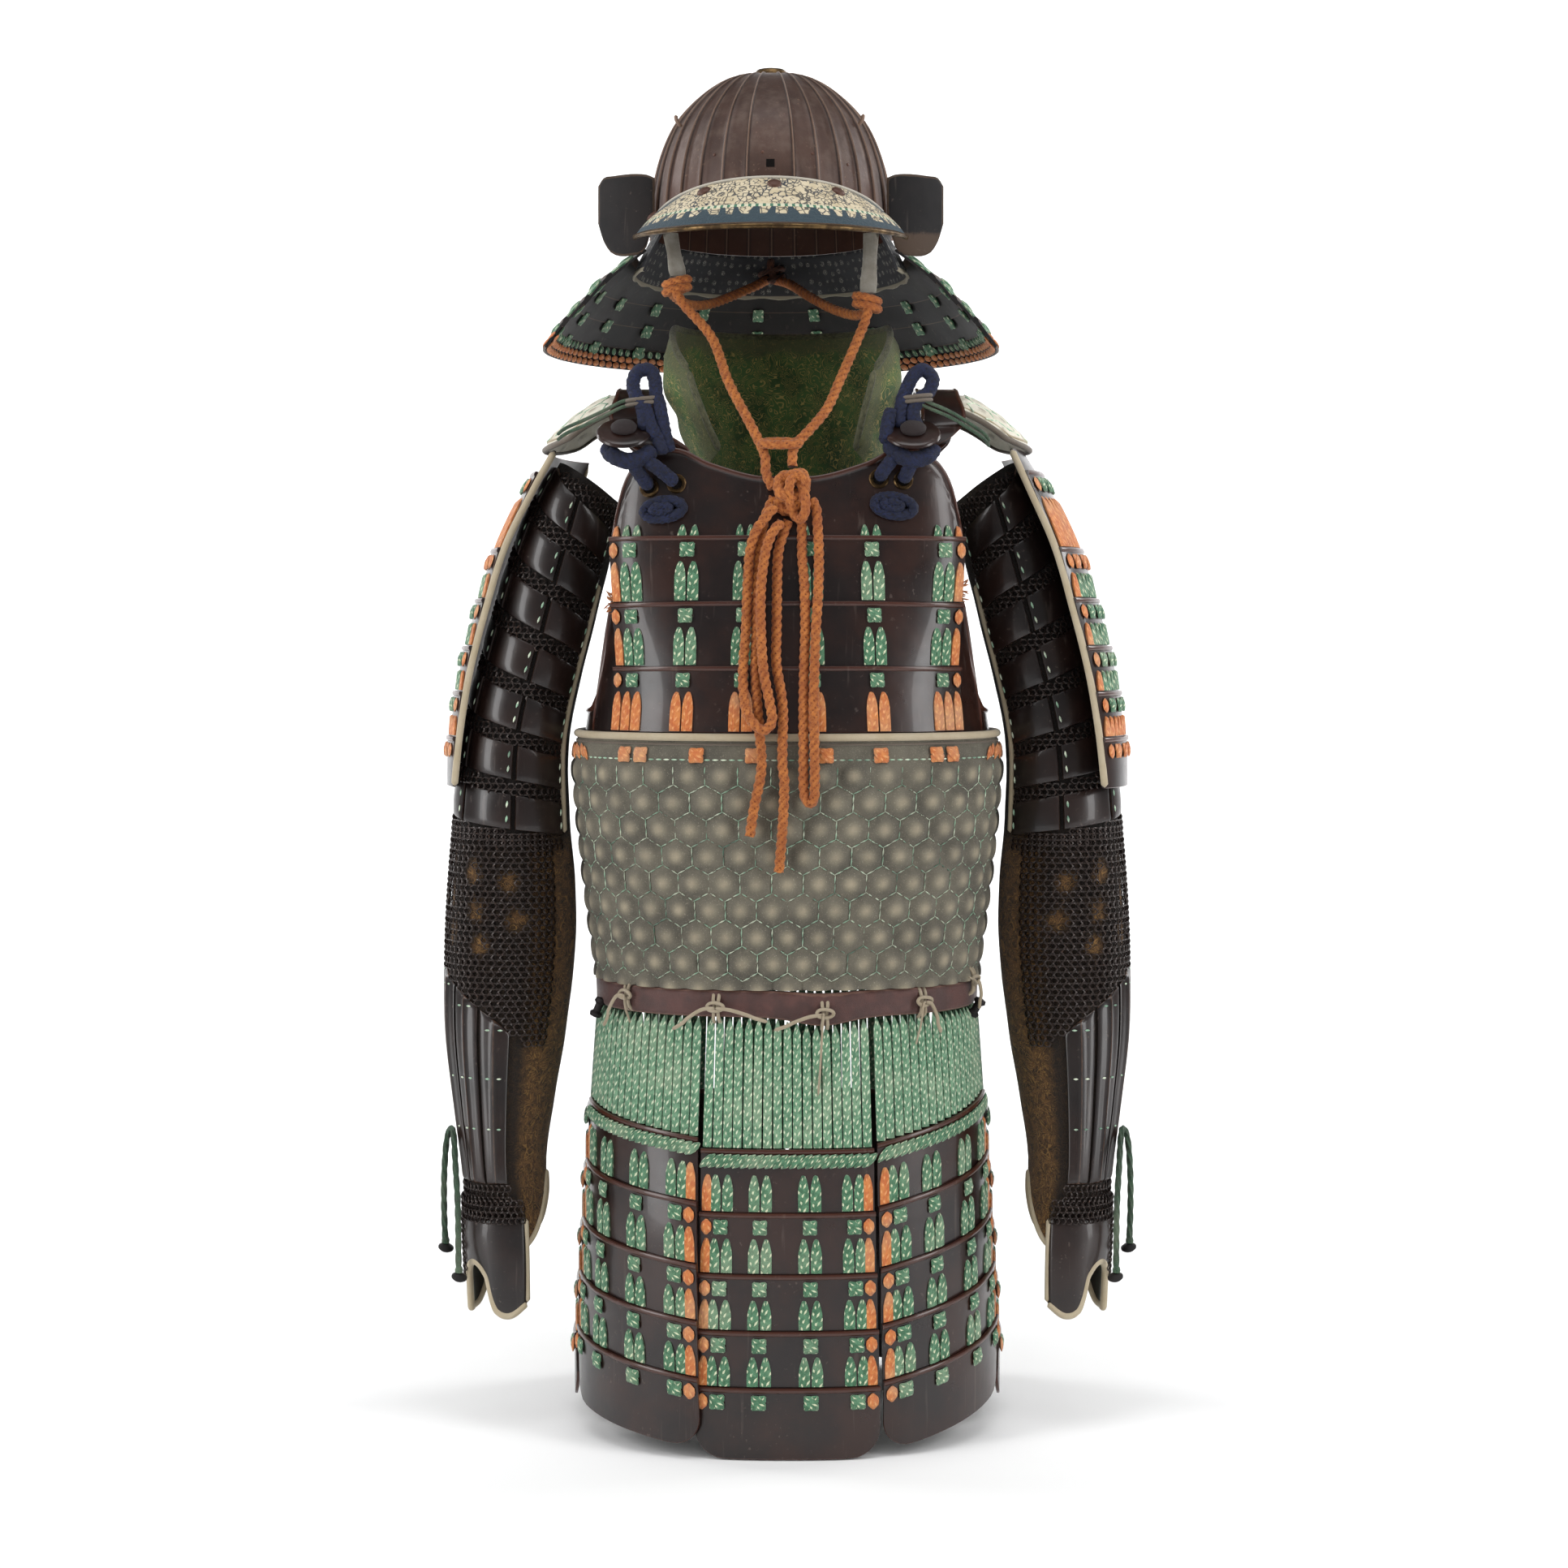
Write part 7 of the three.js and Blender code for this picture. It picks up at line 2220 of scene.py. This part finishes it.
def mail_rings(form, centres, base, radius):
    """Linked rings lying on a form at (s, z), leaning one way and then the other."""
    centres = np.asarray(centres, float)
    turn = ring_of(6)[None, :, None]
    angle = ring_of(3)[None, None, :]
    thick = MAIL_WIRE
    lean = np.where(np.mod(centres[:, 2], 2) > 0.5, 1, -1)[:, None, None]
    reach = radius + thick * np.cos(angle)
    s = centres[:, 0][:, None, None] + reach * np.cos(turn)
    z = centres[:, 1][:, None, None] + reach * np.sin(turn)
    h = base + thick + thick * np.sin(angle) + radius * 0.42 * (1 + np.cos(turn) * lean)
    return raised(form, s, z, h)


def mail_patch(shape, form, low, high, top, end, base, radius, keep=None):
    """Rows of rings between two sides and two heights, where keep allows."""
    pitch = radius * 2.2
    rows = []
    k = 0
    level = float(np.max(top))
    floor = float(np.min(end))
    while level > floor:
        s = np.arange(low + (k % 2) * pitch / 2, high, pitch)
        rows += [(p, level, k % 2) for p in s]
        level -= pitch * 0.84
        k += 1
    rows = np.array(rows)
    inside = (rows[:, 1] < np.interp(rows[:, 0], *top_line(top, low, high)) - radius) & (
        rows[:, 1] > np.interp(rows[:, 0], *top_line(end, low, high)) + radius * 0.4)
    if keep is not None:
        inside &= keep(rows[:, 0], rows[:, 1])
    rows = rows[inside]
    points = mail_rings(form, rows, base, radius)
    steps = points.shape[1]
    marks = np.arange(steps)[None, :, None] * 1.0
    shape.tubes(points, marks, 0.0, 0.5, closed=True)


def top_line(value, low, high):
    """A height given once, or along a row of places."""
    value = np.atleast_1d(np.asarray(value, float))
    return np.linspace(low, high, len(value)), value


WORN = [(14, -372), (46, -384), (74, -392), (18, -404), (50, -416), (80, -424), (22, -436), (54, -446),
        (-60, -380),
        (-30, -410), (-62, -430)]


def unworn(s, z):
    """Where the mail is whole: not at the holes that wear and lost rings have left in it."""
    whole = np.ones(len(s), bool)
    for k, (x, y) in enumerate(WORN):
        shape = ((s - x) / (4.6 + k % 3)) ** 2 + ((z - y) / (8 + 2 * (k % 2))) ** 2
        whole &= shape > 1 + 0.25 * np.sin(5 * np.arctan2(z - y, s - x))
    return whole


def crest(s):
    """Upper edge of the sleeve's cloth, cut lower on the side of the body."""
    return SLEEVE_TOP + 26 - 34 * (0.5 - 0.5 * np.cos(2 * math.pi * np.asarray(s) / ARM_FORM.girth)) ** 1.5


def sleeve_foot(s):
    """Lower edge of the sleeve's cloth, cut higher on the side of the body."""
    return -700 + 60 * np.exp(-((s - 148) / 34) ** 2)


def build_sleeve(side, sign):
    radius = thousandths(sizes().mail_ring)
    girth = ARM_FORM.girth
    cloth = Shape()
    s = np.linspace(0, girth, 57)[:-1]
    top = SLEEVE_TOP + 26
    z = np.concatenate([[top, top - 1], np.linspace(top - 4, -696, 58), [-699, -700]])[None]
    upper = crest(s)
    foot = sleeve_foot(s)
    z = upper[:, None] + (foot - upper)[:, None] * (z - top) / (-700 - top)
    fold = (0.5 * np.sin(s[:, None] / 9 + z / 27) + 0.22 * np.sin(z / 8 - s[:, None] / 21)) * ease(z, -700,
                                                                                                   -690)
    at = np.where(s > girth / 2, s - girth, s)
    torn = [np.exp(-(((at[:, None] - x) / 9) ** 2 + ((z - y) / 11) ** 2)) for x, y in WORN]
    cloth.wall(ARM_FORM, s, z, CLOTH * 0.9 + fold * 0.5, -CLOTH * 0.9 + fold * 0.5, np.max(torn, 0),
               closed=True)
    mail, plates, splints, trim, threads, hand = (Shape() for _ in range(6))
    front, back = 90, -100
    wrap = 122

    def level(at, k):
        """Top of the k-th row of plates, which lean down towards the body, the upper rows most."""
        return np.minimum(crest(at) - 5, SLEEVE_TOP - 6 - 47 * k - at * np.where(at > 0, 0.55 - 0.07 * k,
                                                                                 0.1))

    for k in range(-1, 6):
        edges = np.linspace(back, wrap, 6)
        for low, high in zip(edges[:-1], edges[1:]):
            low, high = low + 1.6, high - 1.6
            at = np.concatenate([[low, low + 0.5, low + 1.6], np.linspace(low + 4, high - 4, 5),
                                 [high - 1.6, high - 0.5, high]])
            tall = (level(at, k) - level(at, k + 1))[:, None] * 0.7
            if tall.max() < 8:
                continue
            rise = np.array([0.3, 0.8, 1, *[1] * 5, 1, 0.8, 0.3])[:, None]
            f = np.array([0, 0.015, 0.05, 0.2, 0.4, 0.6, 0.8, 0.95, 0.985, 1])[None]
            crown = np.array([0.3, 0.8, *[1] * 6, 0.8, 0.3])[None]
            bulge = 1.2 * np.sin(np.pi * f) * np.sin(np.pi * (at - low) / (high - low))[:, None]
            plates.wall(ARM_FORM, at, level(at, k)[:, None] - tall * f,
                        OVER_CLOTH + 0.4 + 2.2 * rise * crown + bulge, OVER_CLOTH + 0.3 + 0 * rise * crown,
                        1 - rise * crown)
            for f_place in (0.3, 0.72):
                mark = float(level(np.array(high - 3), k)) - float(tall[-1, 0]) * f_place
                add_dots(threads, ARM_FORM, [(high - 3, mark)], OVER_CLOTH + 2.4, 5.5, 1.8, 1.6, 0.1,
                         count=4, sides=5)
        at = np.linspace(back, wrap, 40)
        gap = level(at, k) - level(at, k + 1)
        mail_patch(mail, ARM_FORM, back + 1, wrap - 1, level(at, k) - gap * 0.68, level(at, k) - gap * 1.05,
                   OVER_CLOTH - 0.3, radius)
    at = np.linspace(back + 1, wrap + 10, 40)
    mail_patch(mail, ARM_FORM, back + 1, wrap + 10, crest(at) - 4, level(at, -1) + 1, OVER_CLOTH - 0.6,
               radius)
    at = np.linspace(back + 1, front + 17, 40)
    mail_patch(mail, ARM_FORM, back + 1, front + 17, -340 - at * 0.1, mail_edge(at), OVER_CLOTH - 0.6,
               radius, unworn)
    low, high = -90, 80
    at = np.linspace(low, high, 20)
    mail_patch(mail, ARM_FORM, low, high, -642 + 0 * at, -666 + 0 * at, OVER_CLOTH - 0.6, radius)
    mail_patch(mail, ARM_FORM, -86, 92, -664 + 0 * at, -712 + 0 * at, OVER_CLOTH - 1.0, radius)
    mail_patch(mail, ARM_FORM, -1, 18, np.full(20, HAND_TOP - 4.0), np.full(20, -722.0), OVER_CLOTH + 2.6,
               radius)
    mail_patch(mail, ARM_FORM, -46, 92, np.full(20, HAND_TOP + 10.0), np.full(20, HAND_TOP - 14.0),
               OVER_CLOTH + 2.0,
               radius)
    marks = np.linspace(low, high, SPLINTS + 1)
    for first, last in zip(marks[:-1], marks[1:]):
        first, last = first + 1.2, last - 1.2
        at = np.concatenate([[first, first + 0.5], np.linspace(first + 1.5, last - 1.5, 9),
                             [last - 0.5, last]])
        middle = (first + last) / 2
        half = (last - first) / 2
        across = (at - middle) / half
        ridge = 0.5 + 1.4 * np.sqrt(np.clip(1.02 - across ** 4, 0.02,
                                            1)) + 1.9 * np.exp(-(across / 0.16) ** 2)
        f = np.concatenate([[0, 0.004, 0.012], np.linspace(0.03, 0.97, 12), [0.988, 0.996, 1]])[None]
        top = mail_edge(at)[:, None] - 1 - 1.2 * across[:, None] ** 2
        rows = top + (-643 - top) * f
        shape = np.sqrt(np.clip(ease(np.minimum(f, 1 - f), -0.004, 0.02), 0.05, 1))
        splints.wall(ARM_FORM, at, rows, OVER_CLOTH + ridge[:, None] * shape, OVER_CLOTH + 0.1 + 0 * rows,
                     np.maximum(np.exp(-(across / 0.12) ** 2)[:, None] * 0.7, 1 - shape))
        for level in (-556, -598):
            add_dots(threads, ARM_FORM, [(middle - 4.5, level), (middle + 4.5, level)], OVER_CLOTH + 1.8,
                     3.6, 1.8,
                     1.6, math.pi / 2, count=4, sides=5)
        top_s = float(mail_edge(middle)) - 9
        add_dots(threads, ARM_FORM, [(middle - 4.5, top_s), (middle + 4.5, top_s)], OVER_CLOTH + 1.8, 3.6,
                 1.8, 1.6,
                 math.pi / 2, count=4, sides=5)

    at = np.sort(np.concatenate([np.linspace(-48, 94, 72), [-47.5, -46.6, 93.5, 92.6]]))
    foot = column(HAND_FOOT, 1, at)[:, None]
    f = np.concatenate([[0, 0.008, 0.03], np.linspace(0.07, 0.93, 20), [0.96, 0.985, 1]])[None]
    rows = HAND_TOP - 8 + (foot - HAND_TOP + 8) * f
    side_edge = np.minimum(at + 48, 94 - at)[:, None]
    round_off = np.sqrt(np.clip(ease(np.minimum(np.minimum(f, 1 - f) * 70, side_edge), -0.6, 4), 0.05, 1))
    outer = OVER_CLOTH + 0.6 + 2.9 * round_off * (0.75 + 0.5 * np.sin(np.pi * f))
    hand.wall(ARM_FORM, at, rows, outer, OVER_CLOTH + 0.2 + 0 * outer,
              0.8 * (1 - ease(side_edge, 0.4, 3)) + 0 * f)
    low_line = raised(ARM_FORM, at, foot[:, 0] + 0.6, np.full(len(at), OVER_CLOTH + 1.0))
    add_cord(trim, spline(low_line[::2], 160), 3.0, 10, taper=2)
    hem = np.linspace(94, 210, 60)
    add_cord(trim, raised(ARM_FORM, hem, sleeve_foot(hem), np.full(60, 0.4)), 2.4, 10, taper=2)
    for edge in (-48.4, 94.4):
        z_line = np.linspace(HAND_TOP - 8, float(column(HAND_FOOT, 1, np.array(edge))) + 1, 30)
        add_cord(trim, raised(ARM_FORM, np.full(30, edge), z_line, np.full(30, OVER_CLOTH + 1.0)), 2.4, 8,
                 taper=2)
    for edge, high_end, low_end in ((wrap + 1.6, -140, -352), (back - 1.8, -92, -640)):
        z_line = np.linspace(high_end, low_end, 110)
        line = raised(ARM_FORM, np.full(110, edge), z_line, np.full(110, OVER_CLOTH + 1.0))
        add_cord(trim, line, 2.5, 8, taper=3)
    parts = [cloth, mail, plates, splints, trim, threads, hand]
    if sign < 0:
        parts = [part.mirrored() for part in parts]
    cloth, mail, plates, splints, trim, threads, hand = parts
    sheet = cloth.build(f"sleeve_cloth_{side}_tube", [finish("sleeve_brocade")], "sleeve_brocade",
                        [f"sleeve_cloth_{side}"], 80)
    plates.build(f"sleeve_upper_{side}_plates", [finish("sleeve_lacquer")], "black_lacquer",
                 [f"sleeve_upper_{side}"], 40)
    mail.build(f"sleeve_mail_{side}", [finish("mail_iron")], "mail", sharp=80)
    splints.build(f"forearm_splints_{side}_iron", [finish("sleeve_lacquer")], "black_lacquer",
                  [f"forearm_splints_{side}"], 40)
    hand.build(f"hand_guard_{side}_plate", [finish("sleeve_lacquer")], "black_lacquer",
               [f"hand_guard_{side}"], 40)
    trim.build(f"sleeve_piping_{side}", [finish("pale_leather")], "wing_leather", sharp=80)
    threads.build(f"splint_stitches_{side}", [finish("stitch_thread")], "green_cord", sharp=80)


def build_sleeves():
    for side, sign in (("left", 1), ("right", -1)):
        build_sleeve(side, sign)


# The add-on's operators, in the order the armour is put together

class ARMOUR_OT_stage(bpy.types.Operator):
    """Set up the camera, the lamps, the world and the floor"""

    bl_idname = "armour.stage"
    bl_label = "Stage"
    bl_options = {"REGISTER", "UNDO"}

    def execute(self, context):
        build_stage()
        return {"FINISHED"}


class ARMOUR_OT_helmet(bpy.types.Operator):
    """Build the bowl, peak, ears, band and leather loops"""

    bl_idname = "armour.helmet"
    bl_label = "Helmet"
    bl_options = {"REGISTER", "UNDO"}

    def execute(self, context):
        build_helmet()
        return {"FINISHED"}


class ARMOUR_OT_neck_guard(bpy.types.Operator):
    """Build the neck guard's lames and their lacing"""

    bl_idname = "armour.neck_guard"
    bl_label = "Neck guard"
    bl_options = {"REGISTER", "UNDO"}

    def execute(self, context):
        build_neck_guard()
        return {"FINISHED"}


class ARMOUR_OT_chin_cord(bpy.types.Operator):
    """Lay the chin cord, its knot, loops and tails"""

    bl_idname = "armour.chin_cord"
    bl_label = "Chin cord"
    bl_options = {"REGISTER", "UNDO"}

    def execute(self, context):
        build_chin_cord()
        return {"FINISHED"}


class ARMOUR_OT_collar(bpy.types.Operator):
    """Build the padded brocade collar"""

    bl_idname = "armour.collar"
    bl_label = "Collar"
    bl_options = {"REGISTER", "UNDO"}

    def execute(self, context):
        build_collar()
        return {"FINISHED"}


class ARMOUR_OT_cuirass(bpy.types.Operator):
    """Build the chest, back and side plates and their lacing"""

    bl_idname = "armour.cuirass"
    bl_label = "Cuirass"
    bl_options = {"REGISTER", "UNDO"}

    def execute(self, context):
        build_cuirass()
        return {"FINISHED"}


class ARMOUR_OT_belly(bpy.types.Operator):
    """Build the quilted leather band round the belly"""

    bl_idname = "armour.belly"
    bl_label = "Belly"
    bl_options = {"REGISTER", "UNDO"}

    def execute(self, context):
        build_belly()
        return {"FINISHED"}


class ARMOUR_OT_belt(bpy.types.Operator):
    """Build the waist belt with its thongs"""

    bl_idname = "armour.belt"
    bl_label = "Belt"
    bl_options = {"REGISTER", "UNDO"}

    def execute(self, context):
        build_belt()
        return {"FINISHED"}


class ARMOUR_OT_skirt(bpy.types.Operator):
    """Build the hanging panels and the laces that carry them"""

    bl_idname = "armour.skirt"
    bl_label = "Skirt"
    bl_options = {"REGISTER", "UNDO"}

    def execute(self, context):
        build_skirt()
        return {"FINISHED"}


class ARMOUR_OT_shoulders(bpy.types.Operator):
    """Build the straps and the quilted wings"""

    bl_idname = "armour.shoulders"
    bl_label = "Shoulders"
    bl_options = {"REGISTER", "UNDO"}

    def execute(self, context):
        build_shoulders()
        return {"FINISHED"}


class ARMOUR_OT_toggles(bpy.types.Operator):
    """Build the toggles, grommets and shoulder cords"""

    bl_idname = "armour.toggles"
    bl_label = "Toggles"
    bl_options = {"REGISTER", "UNDO"}

    def execute(self, context):
        build_toggles()
        return {"FINISHED"}


class ARMOUR_OT_guards(bpy.types.Operator):
    """Build the laced shoulder guards"""

    bl_idname = "armour.guards"
    bl_label = "Shoulder guards"
    bl_options = {"REGISTER", "UNDO"}

    def execute(self, context):
        build_guards()
        return {"FINISHED"}


class ARMOUR_OT_sleeves(bpy.types.Operator):
    """Build the armoured sleeves and hand guards"""

    bl_idname = "armour.sleeves"
    bl_label = "Sleeves"
    bl_options = {"REGISTER", "UNDO"}

    def execute(self, context):
        build_sleeves()
        return {"FINISHED"}


class ARMOUR_OT_wrist_cords(bpy.types.Operator):
    """Lay the wrist cords and their toggles"""

    bl_idname = "armour.wrist_cords"
    bl_label = "Wrist cords"
    bl_options = {"REGISTER", "UNDO"}

    def execute(self, context):
        build_wrist_cords()
        return {"FINISHED"}


STEPS = [
    ARMOUR_OT_stage,
    ARMOUR_OT_helmet,
    ARMOUR_OT_neck_guard,
    ARMOUR_OT_chin_cord,
    ARMOUR_OT_collar,
    ARMOUR_OT_cuirass,
    ARMOUR_OT_belly,
    ARMOUR_OT_belt,
    ARMOUR_OT_skirt,
    ARMOUR_OT_shoulders,
    ARMOUR_OT_toggles,
    ARMOUR_OT_guards,
    ARMOUR_OT_sleeves,
    ARMOUR_OT_wrist_cords,
]


class ARMOUR_PT_panel(bpy.types.Panel):
    """Build steps, sizes and colours of the armour"""

    bl_idname = "ARMOUR_PT_panel"
    bl_label = "Lamellar armour"
    bl_space_type = "VIEW_3D"
    bl_region_type = "UI"
    bl_category = "Armour"

    def draw(self, context):
        layout = self.layout
        for made in STEPS:
            layout.operator(made.bl_idname)
        for group, settings in ((ArmourSizes, context.scene.armour_sizes),
                                (ArmourColours, context.scene.armour_colours)):
            box = layout.box()
            for name in group.__annotations__:
                box.prop(settings, name)


CLASSES = [ArmourSizes, ArmourColours, *STEPS, ARMOUR_PT_panel]


def register():
    for made in CLASSES:
        bpy.utils.register_class(made)
    bpy.types.Scene.armour_sizes = bpy.props.PointerProperty(type=ArmourSizes)
    bpy.types.Scene.armour_colours = bpy.props.PointerProperty(type=ArmourColours)


def unregister():
    del bpy.types.Scene.armour_colours
    del bpy.types.Scene.armour_sizes
    for made in reversed(CLASSES):
        bpy.utils.unregister_class(made)


def main():
    register()
    for made in STEPS:
        name = made.bl_idname.split(".")[1]
        if getattr(bpy.ops.armour, name)() != {"FINISHED"}:
            raise RuntimeError(f"{made.bl_label} did not finish")


if __name__ == "__main__":
    main()
